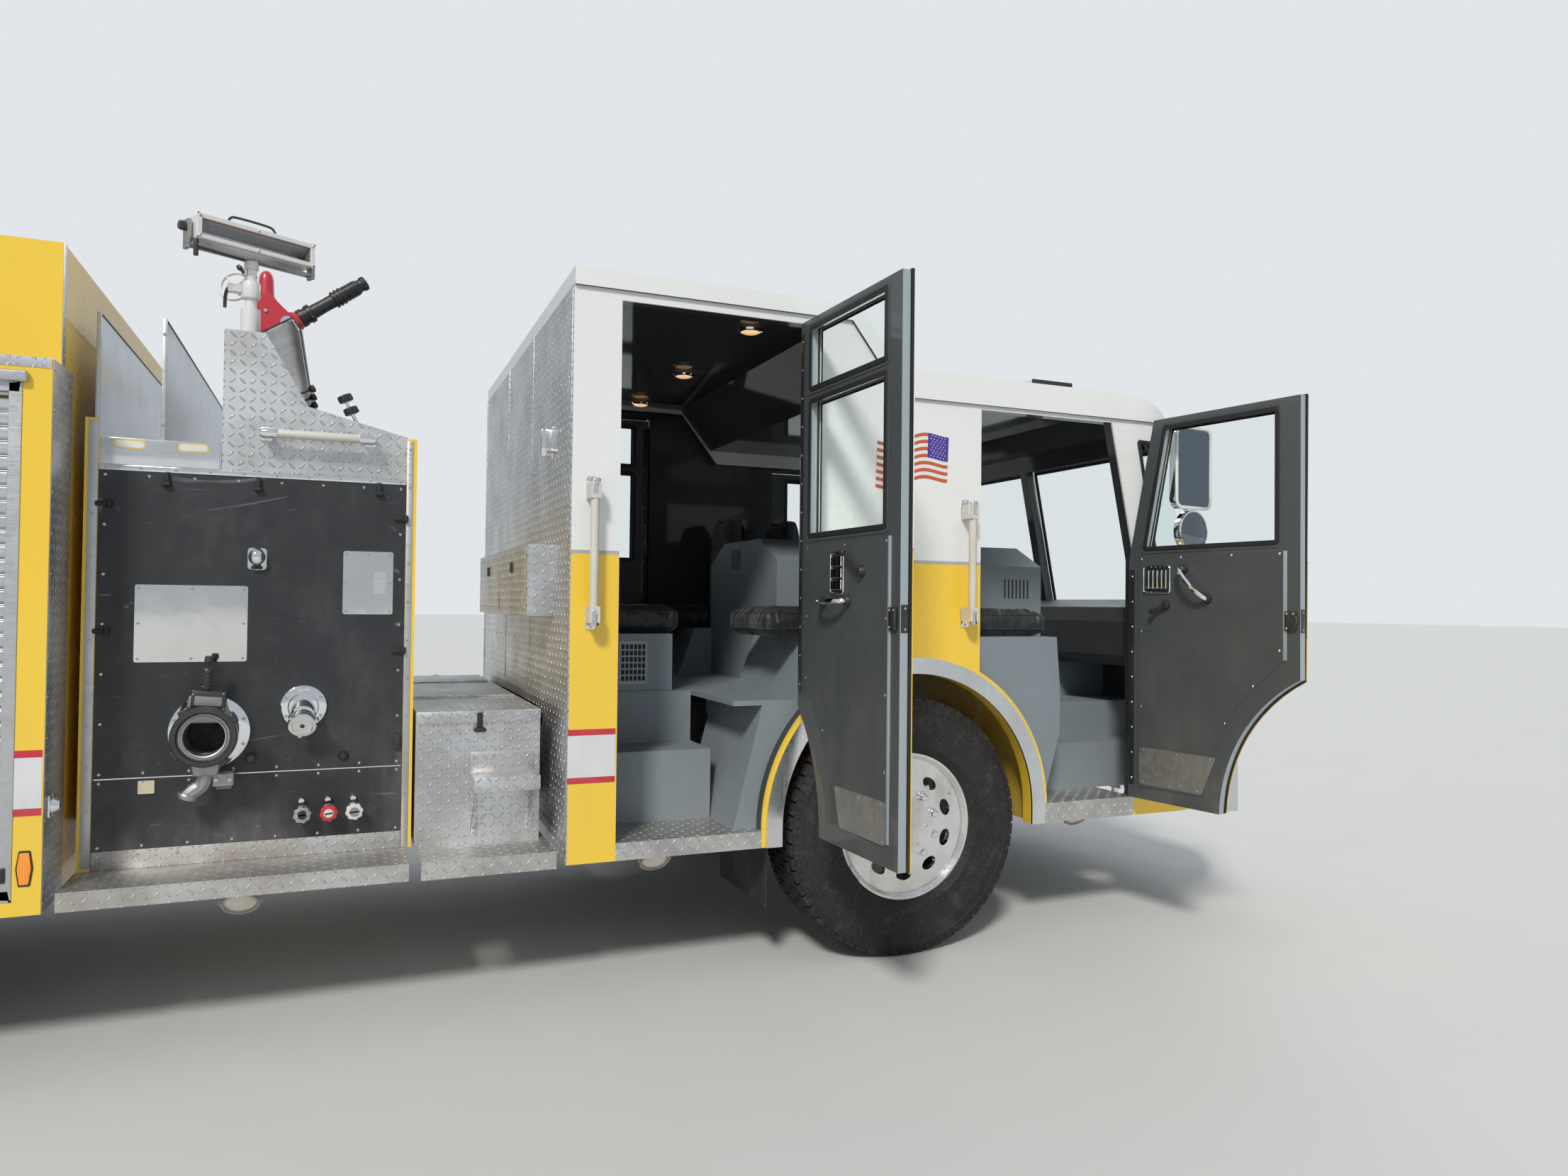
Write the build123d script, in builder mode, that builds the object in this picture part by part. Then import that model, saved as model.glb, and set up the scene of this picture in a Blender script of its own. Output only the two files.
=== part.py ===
from build123d import *
import os
from math import hypot

# Pumper fire truck with a tilting crew cab, a pump house worked from the top, and a hose body.
# Sizes in millimetres. X runs forward from the front axle, Y to the left of the centreline
# and Z up from the ground. Right-hand pieces lie at negative Y.

# Whole vehicle
half_width = 1220
bumper_front_x = 2150
tail_x = -7300
rear_axle_x = -5000

# Tyres and wheels, 315 mm section on a 22.5 inch rim
tyre_radius = 538
tyre_width = 312
tread_half = 122
bead_radius = 291
rim_flange_radius = 306
rim_half = 128
drop_radius = 266
rim_wall = 9
disc_thickness = 22
hub_radius = 118
drum_radius = 165
stub_radius = 45
hand_hole_count = 10
hand_hole_radius = 200
tyre_clear = 0.3
front_tyre_y = 1069
dual_spacing = 345
outer_dual_y = 1064

# Chassis
rail_outer_y = 430
rail_flange = 80
rail_thickness = 10
rail_top_z = 920
rail_bottom_z = 640
rail_front_x = 1500
nose_top_z = 760
nose_front_x = 1760
kingpin_y = 905
kingpin_radius = 24
pin_clear = 0.3
spring_y = 485
spring_width = 80

# Cab
cab_back_x = -1430
cab_bottom_z = 506
cab_front_x = 1710
cab_brow_x = 1490
cab_waist_z = 1300
cab_wall = 60
corner_radius = 250
front_roof_z = 2340
rear_roof_z = 2632
step_up_back_x = -290
step_up_front_x = -60
roof_overhang = 14
roof_rise = 68
front_roof_rise = 120

# Wheel arch of the cab
arch_x = 20
arch_z = 580
arch_radius = 600
arch_trim_radius = 668
arch_lip_radius = 685
liner_thickness = 8
liner_radius = 640
liner_inner_y = 560

# Doors
door_gap = 8
door_thickness = 46
hinge_radius = 7.7
hinge_clear = 0.3
glass_thickness = 6
glass_clear = 0.3
rear_door_hinge_x = -470
rear_door_latch_x = -1250
rear_door_bottom_z = 572
rear_door_top_z = 2596
rear_door_open = 92
front_door_hinge_x = 1196
front_door_latch_x = 345
front_door_bottom_z = 592
front_door_waist_z = 1690
front_door_top_z = 2322
front_door_top_x = 1060
front_door_open = 98

# Steps and floors
rear_step_z = 572
front_step_z = 592
step_riser_rear_y = 889
step_riser_front_y = 956
crew_floor_z = 1080
front_floor_z = 995
panel = 20
well_front_x = -767
pedestal_back_x = -490

# Engine and its tunnel
engine_back_x = 20
engine_front_x = 1150
engine_half_width = 340
engine_bottom_z = 700
engine_top_z = 1640
tunnel_back_x = -300
tunnel_front_x = 1230
dash_bottom_z = 1180
tunnel_half_width = 475
tunnel_top_z = 1790
tunnel_chamfer = 110

# Walkway and pump house
walkway_back_x = -1940
walkway_front_x = -1490
walkway_side_y = 980
walkway_bottom_z = 560
walkway_top_z = 1055
lid_thickness = 34
board_top_z = 560
pump_back_x = -2985
pump_front_x = -1950
pump_side_y = 950
pump_top_z = 1890
panel_sheet = 10

# Body
body_front_x = -3020
body_back_x = -6850
body_bottom_z = 500
body_top_z = 2190
locker_depth = 560
hose_side_top_z = 2580
hose_side_y = 1120
hose_floor_z = 1760
rear_arch_radius = 610

# Cab tilt
pivot_x = 1620
pivot_z = 800
pivot_radius = 24

# Deck gun's nozzle
nozzle_bore_radius = 20

# Box of the whole truck with its right doors open, whose middle is the model's origin
door_reach_y = 2078
mirror_reach_y = 1510
origin_x = (bumper_front_x + tail_x) / 2
origin_y = (mirror_reach_y - door_reach_y) / 2
PARKED = Location((-origin_x, -origin_y, 0))

os.makedirs("parts", exist_ok=True)


def write(solid, name):
    """Label one finished piece and write it at its place in the truck."""
    placed = solid.moved(PARKED)
    placed.label = name
    export_step(placed, f"parts/{name}.step")


def on_side(solid, side):
    """A right-hand piece, or its mirror image for the left."""
    return solid if side == "right" else mirror(solid, about=Plane.XZ)


def side_plane(y):
    """Sketch plane that faces right at distance y from the centreline, x forward and z up."""
    return Plane(origin=(0, -y, 0), x_dir=(1, 0, 0), z_dir=(0, -1, 0))


def plan(x0, x1, y0, y1):
    """Rectangle in plan between two x and two y values, in the sketch being drawn."""
    with Locations(((x0 + x1) / 2, (y0 + y1) / 2)):
        Rectangle(x1 - x0, y1 - y0)


# Chassis frame: two channel rails, cross members, the low nose that carries the cab pivots
nose_bottom_z = rail_bottom_z
with BuildPart() as chassis_frame:
    with BuildSketch(side_plane(rail_outer_y)):
        with BuildLine():
            Polyline(
                (body_back_x, rail_bottom_z),
                (nose_front_x, rail_bottom_z),
                (nose_front_x, nose_top_z),
                (rail_front_x + 60, nose_top_z),
                (rail_front_x, rail_top_z),
                (body_back_x, rail_top_z),
                close=True,
            )
        make_face()
    extrude(amount=-rail_flange)
    with BuildSketch(side_plane(rail_outer_y - rail_thickness)):
        with BuildLine():
            Polyline(
                (body_back_x, rail_bottom_z + rail_thickness),
                (nose_front_x, rail_bottom_z + rail_thickness),
                (nose_front_x, nose_top_z - rail_thickness),
                (rail_front_x + 60 - rail_thickness, nose_top_z - rail_thickness),
                (rail_front_x - rail_thickness, rail_top_z - rail_thickness),
                (body_back_x, rail_top_z - rail_thickness),
                close=True,
            )
        make_face()
    extrude(amount=-rail_flange, mode=Mode.SUBTRACT)
    mirror(about=Plane.XZ)
    # cross members, channel depth less than the rails
    for member_x in (-6800, -5700, -4300, -3100, -1700, 1640):
        member_top_z = nose_top_z - 30 if member_x > rail_front_x else rail_top_z - 60
        with BuildSketch(Plane.XY.offset(rail_bottom_z + 30)):
            plan(member_x - 40, member_x + 40, -rail_outer_y + rail_thickness, rail_outer_y - rail_thickness)
        extrude(amount=member_top_z - rail_bottom_z - 30)
    # pivot ears with their pins
    with BuildSketch(side_plane(rail_outer_y)):
        with BuildLine():
            Polyline((pivot_x - 70, nose_top_z - 60), (pivot_x + 70, nose_top_z - 60),
                     (pivot_x + 30, pivot_z + 34), (pivot_x - 30, pivot_z + 34), close=True)
        make_face()
    ears = extrude(amount=18)
    mirror(ears, about=Plane.XZ)
    with BuildSketch(side_plane(rail_outer_y)):
        with Locations((pivot_x, pivot_z)):
            Circle(pivot_radius)
    pins = extrude(amount=80)
    mirror(pins, about=Plane.XZ)
    # rests under the crew floor, where the cab latches down
    for rest_y in (-380, 380):
        with BuildSketch(Plane.XY.offset(rail_top_z)):
            plan(-1300, -1160, rest_y - 45, rest_y + 45)
        extrude(amount=crew_floor_z - panel - rail_top_z)

# Engine, one plain block between the rails
with BuildPart() as engine_block:
    with BuildSketch(Plane.XY.offset(engine_bottom_z)):
        plan(engine_back_x, engine_front_x, -engine_half_width, engine_half_width)
    extrude(amount=engine_top_z - engine_bottom_z)
    # mounts out to the rail webs
    with BuildSketch(Plane.XY.offset(engine_bottom_z)):
        for mount_x in (engine_back_x + 140, engine_front_x - 140):
            plan(mount_x - 50, mount_x + 50, -rail_outer_y + rail_thickness, rail_outer_y - rail_thickness)
    extrude(amount=60)

# Front axle: dropped beam with a forked end and an upright pin at each side
beam_z = 450
beam_height = 100
beam_width = 90
boss_radius = 46
boss_half = 55
with BuildPart() as front_axle:
    with BuildSketch(Plane.YZ.offset(-beam_width / 2)):
        with BuildLine():
            Polyline(
                (-kingpin_y, tyre_radius - boss_half), (-kingpin_y, tyre_radius + boss_half),
                (-kingpin_y + 120, tyre_radius + boss_half - 20),
                (-600, beam_z + beam_height / 2), (600, beam_z + beam_height / 2),
                (kingpin_y - 120, tyre_radius + boss_half - 20),
                (kingpin_y, tyre_radius + boss_half), (kingpin_y, tyre_radius - boss_half),
                (kingpin_y - 60, tyre_radius - boss_half),
                (600, beam_z - beam_height / 2), (-600, beam_z - beam_height / 2),
                (-kingpin_y + 60, tyre_radius - boss_half),
                close=True,
            )
        make_face()
    extrude(amount=beam_width)
    # web recesses of the I-section, front and back
    for face_x in (-beam_width / 2, beam_width / 2 - 28):
        with BuildSketch(Plane.YZ.offset(face_x)):
            with Locations((0, beam_z)):
                Rectangle(2 * 560, beam_height - 36)
        extrude(amount=28, mode=Mode.SUBTRACT)
    for side_y in (-kingpin_y, kingpin_y):
        with BuildSketch(Plane.XY.offset(tyre_radius - boss_half)):
            with Locations((0, side_y)):
                Circle(boss_radius)
        extrude(amount=2 * boss_half)
        with BuildSketch(Plane.XY.offset(tyre_radius - 118)):
            with Locations((0, side_y)):
                Circle(kingpin_radius)
        extrude(amount=236)

# Rear axle: tube housing, round centre and spindle ends
axle_tube_radius = 70
spindle_radius = 50
with BuildPart() as rear_axle:
    with BuildSketch(Plane.YZ.offset(rear_axle_x)):
        with BuildLine():
            Polyline((-1130, 0), (-1130, spindle_radius), (-880, spindle_radius), (-880, axle_tube_radius),
                     (-250, axle_tube_radius), (-150, 190), (150, 190), (250, axle_tube_radius),
                     (880, axle_tube_radius), (880, spindle_radius), (1130, spindle_radius), (1130, 0),
                     close=True)
        make_face()
    revolve(axis=Axis((rear_axle_x, 0, 0), (0, 1, 0)))
rear_axle.part = rear_axle.part.moved(Location((0, 0, tyre_radius)))

# Leaf springs: one curved pack a side at each axle, with hangers on the rail webs
# columns: axle x, seat height, half length, sag, pack thickness
spring_table = (
    (0, beam_z + beam_height / 2, 640, 110, 60),
    (rear_axle_x, tyre_radius + axle_tube_radius, 620, 60, 80),
)
with BuildPart() as leaf_springs:
    for axle_x, seat_z, half_length, sag, pack in spring_table:
        with BuildSketch(side_plane(spring_y + spring_width / 2)):
            with BuildLine():
                ThreePointArc((axle_x - half_length, seat_z + sag), (axle_x, seat_z), (axle_x + half_length, seat_z + sag))
                Line((axle_x + half_length, seat_z + sag), (axle_x + half_length, seat_z + sag + 30))
                ThreePointArc((axle_x + half_length, seat_z + sag + 30), (axle_x, seat_z + pack),
                              (axle_x - half_length, seat_z + sag + 30))
                Line((axle_x - half_length, seat_z + sag + 30), (axle_x - half_length, seat_z + sag))
            make_face()
        extrude(amount=-spring_width)
        # hangers
        for hanger_x in (axle_x - half_length, axle_x + half_length):
            with BuildSketch(Plane.XY.offset(seat_z + sag)):
                plan(hanger_x - 40, hanger_x + 40, -spring_y - spring_width / 2, -rail_outer_y)
            extrude(amount=rail_bottom_z + 150 - seat_z - sag)
    mirror(about=Plane.XZ)

# Front bumper: deep polished channel on the nose, with tow eyes under it
bumper_z0 = 470
bumper_z1 = 750
bumper_half = half_width - 40
eye_drop = 42
eye_radius = 62
eye_bore_radius = 32
with BuildPart() as front_bumper:
    with BuildSketch(Plane.XY.offset(bumper_z0)):
        with BuildLine():
            Polyline((nose_front_x, -rail_outer_y), (nose_front_x, -bumper_half), (bumper_front_x - 260, -bumper_half),
                     (bumper_front_x, -bumper_half + 260), (bumper_front_x, bumper_half - 260),
                     (bumper_front_x - 260, bumper_half), (nose_front_x, bumper_half),
                     (nose_front_x, -rail_outer_y))
        make_face()
    extrude(amount=bumper_z1 - bumper_z0)
    with BuildSketch(Plane.XY.offset(bumper_z0)):
        with BuildLine():
            Polyline((nose_front_x, -bumper_half + 20), (bumper_front_x - 268, -bumper_half + 20),
                     (bumper_front_x - 20, -bumper_half + 268), (bumper_front_x - 20, bumper_half - 268),
                     (bumper_front_x - 268, bumper_half - 20), (nose_front_x, bumper_half - 20), close=True)
        make_face()
    extrude(amount=bumper_z1 - bumper_z0 - 12, mode=Mode.SUBTRACT)
    # back plate bolted on the rail ends
    with BuildSketch(Plane.XY.offset(bumper_z0)):
        plan(nose_front_x, nose_front_x + 16, -rail_outer_y - 60, rail_outer_y + 60)
    extrude(amount=bumper_z1 - bumper_z0)
    # tow eyes
    for eye_y in (-330, 330):
        with BuildSketch(Plane.XZ.offset(-eye_y - 12)):
            with Locations((nose_front_x + 150, bumper_z0 - eye_drop)):
                Circle(eye_radius)
                Rectangle(2 * eye_radius, eye_radius + 10, align=(Align.CENTER, Align.MIN))
        extrude(amount=24)
        with BuildSketch(Plane.XZ.offset(-eye_y - 12)):
            with Locations((nose_front_x + 150, bumper_z0 - eye_drop)):
                Circle(eye_bore_radius)
        extrude(amount=24, mode=Mode.SUBTRACT)
        with BuildSketch(Plane.XY.offset(bumper_z0 + 20)):
            plan(nose_front_x + 88, nose_front_x + 212, eye_y - 12, eye_y + 12)
        extrude(amount=bumper_z1 - bumper_z0 - 32)
        with BuildSketch(Plane.XY.offset(bumper_z0 + 60)):
            plan(nose_front_x + 16, nose_front_x + 90, eye_y - 12, eye_y + 12)
        extrude(amount=120)


def cab_outline(front_x, inset, height):
    """Plan of the cab at one height: straight sides and back, rounded front corners."""
    radius = corner_radius - inset
    half = half_width - inset
    with BuildSketch(Plane.XY.offset(height)) as outline:
        with BuildLine():
            Line((cab_back_x + min(inset, cab_wall), -half), (front_x - radius, -half))
            RadiusArc((front_x - radius, -half), (front_x, -half + radius), -radius)
            Line((front_x, -half + radius), (front_x, half - radius))
            RadiusArc((front_x, half - radius), (front_x - radius, half), -radius)
            Line((front_x - radius, half), (cab_back_x + min(inset, cab_wall), half))
            Line((cab_back_x + min(inset, cab_wall), half), (cab_back_x + min(inset, cab_wall), -half))
        make_face()
    return outline.sketch


def cab_block(inset):
    """Whole cab as a solid, its faces moved inwards by the inset."""
    lean = (cab_front_x - cab_brow_x) / (2395 - cab_waist_z)
    top_z = 2800
    with BuildPart() as block:
        add(cab_outline(cab_front_x - inset, inset, cab_bottom_z - 40))
        add(cab_outline(cab_front_x - inset, inset, cab_waist_z))
        loft(ruled=True)
        add(cab_outline(cab_front_x - inset, inset, cab_waist_z))
        add(cab_outline(cab_front_x - inset - lean * (top_z - cab_waist_z), inset, top_z))
        loft(ruled=True)
    return block.part


def band(points):
    """Prism across the whole width with the given side-view corners."""
    with BuildPart() as prism:
        with BuildSketch(Plane.XZ.offset(-2 * half_width)):
            with BuildLine():
                Polyline(*points, close=True)
            make_face()
        extrude(amount=4 * half_width)
    return prism.part


# Side-view line on which the roof sits, from back to front
roof_seat = (
    (cab_back_x - 100, rear_roof_z),
    (step_up_back_x, rear_roof_z),
    (step_up_front_x, front_roof_z),
    (cab_front_x + 200, front_roof_z),
)


def rear_opening(gap):
    """Side-view face of the rear doorway, drawn smaller by the gap all round."""
    with BuildSketch() as face:
        with BuildLine():
            Polyline(
                (rear_door_latch_x, rear_door_bottom_z), (rear_door_hinge_x, rear_door_bottom_z),
                (rear_door_hinge_x, rear_door_top_z), (rear_door_latch_x, rear_door_top_z), close=True,
            )
        make_face()
        if gap:
            offset(amount=-gap, kind=Kind.INTERSECTION)
        with Locations((arch_x, arch_z)):
            Circle(arch_lip_radius + gap, mode=Mode.SUBTRACT)
    return face.sketch


def front_opening(gap):
    """Side-view face of the front doorway, drawn smaller by the gap all round."""
    with BuildSketch() as face:
        with BuildLine():
            Polyline(
                (front_door_latch_x, front_door_bottom_z), (front_door_hinge_x, front_door_bottom_z),
                (front_door_hinge_x, front_door_waist_z), (front_door_top_x, front_door_top_z),
                (front_door_latch_x, front_door_top_z), close=True,
            )
        make_face()
        if gap:
            offset(amount=-gap, kind=Kind.INTERSECTION)
        with Locations((arch_x, arch_z)):
            Circle(arch_lip_radius + gap, mode=Mode.SUBTRACT)
    return face.sketch


# Windscreen band, and the side window line of the wrapped corners
screen_bottom_z = 1360
screen_top_z = 2250
screen_side_x = 1275
screen_lean = 120


def screen_band(grow):
    """Side-view prism that cuts the windscreen out of the cab's front and corners."""
    return band((
        (screen_side_x - grow + screen_lean, screen_bottom_z - grow),
        (cab_front_x + 200, screen_bottom_z - grow),
        (cab_front_x + 200, screen_top_z + grow),
        (screen_side_x - grow - screen_lean / 2, screen_top_z + grow),
    ))


# Cab shell: back wall, sides with their doorways and arches, and the front below the windscreen
front_skirt_z = 960
frame_gap_half = 560
frame_gap_top_z = 1030
skirt_half = 1000
above_roof_seat = band(roof_seat + ((cab_front_x + 200, 3000), (cab_back_x - 100, 3000)))
post_half = 30
post_region = Box(800, 2 * post_half, screen_top_z - screen_bottom_z).moved(
    Location((cab_front_x, 0, (screen_top_z + screen_bottom_z) / 2)))
centre_post = (cab_block(10) - cab_block(cab_wall)) & post_region
with BuildPart() as cab_shell:
    add(cab_block(0))
    add(cab_block(cab_wall), mode=Mode.SUBTRACT)
    add(above_roof_seat, mode=Mode.SUBTRACT)
    # level underside
    with BuildSketch(Plane.XY.offset(cab_bottom_z - 200)):
        plan(cab_back_x - 100, cab_front_x + 100, -2 * half_width, 2 * half_width)
    extrude(amount=200, mode=Mode.SUBTRACT)
    # doorways right through both sides
    with BuildSketch(Plane.XZ.offset(-2 * half_width)):
        add(rear_opening(0))
        add(front_opening(0))
    extrude(amount=4 * half_width, mode=Mode.SUBTRACT)
    # wheel arches
    with BuildSketch(Plane.XZ.offset(-2 * half_width)):
        with Locations((arch_x, arch_z)):
            Circle(arch_radius)
        with Locations((arch_x, arch_z)):
            Rectangle(2 * arch_radius, 400, align=(Align.CENTER, Align.MAX))
    extrude(amount=4 * half_width, mode=Mode.SUBTRACT)
    # arch liners, from the skin in to the springs, wider than the opening so that the wheels can steer
    for side in (-1, 1):
        with BuildSketch(Plane.XZ.offset(side * liner_inner_y)):
            with Locations((arch_x, arch_z)):
                Circle(liner_radius + liner_thickness)
                Rectangle(2 * (liner_radius + liner_thickness), arch_z, align=(Align.CENTER, Align.MAX))
                Circle(liner_radius, mode=Mode.SUBTRACT)
                Rectangle(2 * liner_radius, arch_z, align=(Align.CENTER, Align.MAX), mode=Mode.SUBTRACT)
            with Locations((arch_x, 0)):
                Rectangle(4 * liner_radius, 2 * cab_bottom_z, mode=Mode.SUBTRACT)
        extrude(amount=side * (half_width - liner_inner_y - cab_wall + 4))
    # gap in the back wall over the frame
    with BuildSketch(Plane.XY.offset(cab_bottom_z - 100)):
        plan(cab_back_x - 100, cab_back_x + cab_wall, -frame_gap_half, frame_gap_half)
    extrude(amount=frame_gap_top_z - cab_bottom_z + 100, mode=Mode.SUBTRACT)
    # windscreen opening, round both front corners
    add(screen_band(0), mode=Mode.SUBTRACT)
    # the front skin stops above the nose of the frame
    with BuildSketch(Plane.XY.offset(cab_bottom_z - 100)):
        plan(cab_front_x - cab_wall - 20, cab_front_x + 100, -skirt_half, skirt_half)
    extrude(amount=front_skirt_z - cab_bottom_z + 100, mode=Mode.SUBTRACT)
    # room for the steps under the doorways
    for step_x0, step_x1, step_z in (
        (rear_door_latch_x, arch_x - arch_lip_radius, rear_step_z),
        (arch_x + arch_lip_radius - 20, front_door_hinge_x, front_step_z),
    ):
        with BuildSketch(Plane.XY.offset(cab_bottom_z - 100)):
            plan(step_x0, step_x1, -2 * half_width, 2 * half_width)
        extrude(amount=step_z - cab_bottom_z + 100, mode=Mode.SUBTRACT)
    add(centre_post)

# Windscreen: two sheets that follow the front and its corners
with BuildPart() as windscreen:
    add(cab_block(0))
    add(cab_block(glass_thickness), mode=Mode.SUBTRACT)
    add(screen_band(-glass_clear), mode=Mode.INTERSECT)
    with BuildSketch(Plane.XY.offset(screen_bottom_z - 100)):
        plan(cab_brow_x - 400, cab_front_x + 200, -post_half - glass_clear, post_half + glass_clear)
    extrude(amount=screen_top_z - screen_bottom_z + 200, mode=Mode.SUBTRACT)

# Roof: low front part and the raised part over the crew, one hollow moulding
roof_skin = 40
roof_box_half = 700
front_roof_top_z = front_roof_z + front_roof_rise
with BuildPart() as cab_roof:
    add(cab_block(-roof_overhang))
    add(band((
        (cab_back_x, rear_roof_z),
        (step_up_back_x, rear_roof_z),
        (step_up_front_x, front_roof_z),
        (cab_brow_x + 60, front_roof_z),
        (1200, front_roof_z + front_roof_rise),
        (step_up_front_x - 10, front_roof_z + front_roof_rise),
        (step_up_back_x + 20, rear_roof_z + roof_rise),
        (cab_back_x, rear_roof_z + roof_rise),
    )), mode=Mode.INTERSECT)
    with BuildSketch(side_plane(half_width - 130)):
        with BuildLine():
            Polyline(
                (cab_back_x + cab_wall, rear_roof_z - 10),
                (step_up_back_x, rear_roof_z - 10),
                (step_up_front_x, front_roof_z - 10),
                (1330, front_roof_z - 10),
                (1200, front_roof_z + front_roof_rise - roof_skin),
                (step_up_front_x - 40, front_roof_z + front_roof_rise - roof_skin),
                (step_up_back_x - 10, rear_roof_z + roof_rise - roof_skin),
                (cab_back_x + cab_wall, rear_roof_z + roof_rise - roof_skin),
                close=True,
            )
        make_face()
    extrude(amount=-2 * (half_width - 130), mode=Mode.SUBTRACT)
    # low box on the front roof
    with BuildSketch(side_plane(roof_box_half)):
        with BuildLine():
            Polyline((80, front_roof_top_z), (80, 2600), (560, 2600), (630, 2560), (630, front_roof_top_z), close=True)
        make_face()
    extrude(amount=-2 * roof_box_half)


def stairs(points, thickness):
    """Corners of a stepped floor across the cab, from its right-hand corners given inside out."""
    under = [(y + thickness, z - thickness) for y, z in points]
    under[-1] = (points[-1][0] + thickness, points[-1][1])
    top = list(points[::-1]) + [(-y, z) for y, z in points]
    bottom = [(-y, z) for y, z in under[::-1]] + under
    return top + bottom


def tunnel_corners(thick):
    """Cross-section of the engine tunnel, moved inwards by a thickness and open below."""
    half = tunnel_half_width - thick
    shoulder_z = tunnel_top_z - tunnel_chamfer - 0.6 * thick
    crown_half = tunnel_half_width - 2 * tunnel_chamfer - 0.25 * thick
    low_z = 0 if thick else front_floor_z - panel
    return (
        (-half, low_z), (-half, shoulder_z), (-crown_half, tunnel_top_z - thick),
        (crown_half, tunnel_top_z - thick), (half, shoulder_z), (half, low_z),
    )


# Cab floor: crew floor with its step wells, wheel housings, front floor and the engine tunnel
inner_half = half_width - cab_wall
crew_base_front_x = -850
crew_base_half = 600
arm_gap = 24
arm_width = 40
front_inner_x = cab_front_x - cab_wall
seat_base_z = 1330
with BuildPart() as cab_floor:
    # crew floor and rear step wells
    with BuildSketch(Plane.YZ.offset(cab_back_x + cab_wall)):
        with BuildLine():
            Polyline(*stairs(((-614, crew_floor_z), (-614, 858), (-step_riser_rear_y, 858), (-step_riser_rear_y, rear_step_z)), panel), close=True)
        make_face()
    extrude(amount=well_front_x - cab_back_x - cab_wall)
    # floor beside the tunnel's back end
    with BuildSketch(Plane.XY.offset(crew_floor_z - panel)):
        plan(well_front_x, pedestal_back_x, -inner_half, inner_half)
        plan(pedestal_back_x, tunnel_back_x + panel, -tunnel_half_width, tunnel_half_width)
    extrude(amount=panel)
    # front floor and its step wells
    with BuildSketch(Plane.YZ.offset(820)):
        with BuildLine():
            Polyline(*stairs(((-809, front_floor_z), (-809, 815), (-step_riser_front_y, 815), (-step_riser_front_y, front_step_z)), panel), close=True)
        make_face()
    extrude(amount=front_inner_x - 820)
    add(cab_block(cab_wall), mode=Mode.INTERSECT)
    # wheel housings that carry the seats
    for side in (-1, 1):
        with BuildSketch(Plane.XZ.offset(side * liner_inner_y)):
            with BuildLine():
                Polyline((-764, rear_step_z), (-667, 960), (-640, crew_floor_z), (pedestal_back_x, crew_floor_z),
                         (-400, seat_base_z), (800, seat_base_z), (820, 1100), (820, 900), (732, front_step_z),
                         (600, front_step_z), (-600, rear_step_z), close=True)
            make_face()
            with Locations((arch_x, arch_z)):
                Circle(liner_radius + liner_thickness, mode=Mode.SUBTRACT)
                Rectangle(2 * (liner_radius + liner_thickness), arch_z, align=(Align.CENTER, Align.MAX), mode=Mode.SUBTRACT)
        extrude(amount=side * (inner_half - liner_inner_y))
        # part between the housing and the tunnel, over the springs
        with BuildSketch(Plane.XZ.offset(side * (tunnel_half_width - panel))):
            with BuildLine():
                Polyline((-640, 960), (-640, crew_floor_z), (pedestal_back_x, crew_floor_z), (-400, seat_base_z),
                         (800, seat_base_z), (820, 1100), (820, 960), close=True)
            make_face()
        extrude(amount=side * (liner_inner_y - tunnel_half_width + panel))
    # engine tunnel, open below: tall behind the dashboard and low under it
    for x0, x1, thick in ((tunnel_back_x, tunnel_front_x, 0), (tunnel_back_x + panel, tunnel_front_x - panel, panel)):
        with BuildSketch(Plane.YZ.offset(x0)):
            with BuildLine():
                Polyline(*tunnel_corners(thick), close=True)
            make_face()
        extrude(amount=x1 - x0, mode=Mode.SUBTRACT if thick else Mode.ADD)
    with BuildSketch(Plane.XY.offset(front_floor_z - panel)):
        plan(tunnel_front_x - panel, front_inner_x, -tunnel_half_width, tunnel_half_width)
    extrude(amount=dash_bottom_z - front_floor_z + panel)
    with BuildSketch(Plane.XY.offset(0)):
        plan(tunnel_front_x - 2 * panel, front_inner_x + 100, -tunnel_half_width + panel, tunnel_half_width - panel)
    extrude(amount=dash_bottom_z - panel, mode=Mode.SUBTRACT)
    # boxed base of the forward-facing seats at the back wall
    with BuildSketch(Plane.XY.offset(crew_floor_z)):
        plan(cab_back_x + cab_wall, crew_base_front_x, -crew_base_half, crew_base_half)
    extrude(amount=seat_base_z - crew_floor_z)
    # hinge arms down to the pivots of the frame
    for side in (-1, 1):
        with BuildSketch(side_plane(side * (rail_outer_y + arm_gap))):
            with BuildLine():
                Polyline((pivot_x - 60, front_floor_z - panel), (pivot_x - 45, pivot_z), (pivot_x + 30, pivot_z),
                         (front_inner_x, front_floor_z - panel), close=True)
            make_face()
            with Locations((pivot_x, pivot_z)):
                Circle(45)
                Circle(pivot_radius + pin_clear, mode=Mode.SUBTRACT)
        extrude(amount=side * arm_width)


# Steps under the doorways: folded trays of tread plate
tray_sheet = 6
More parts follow.
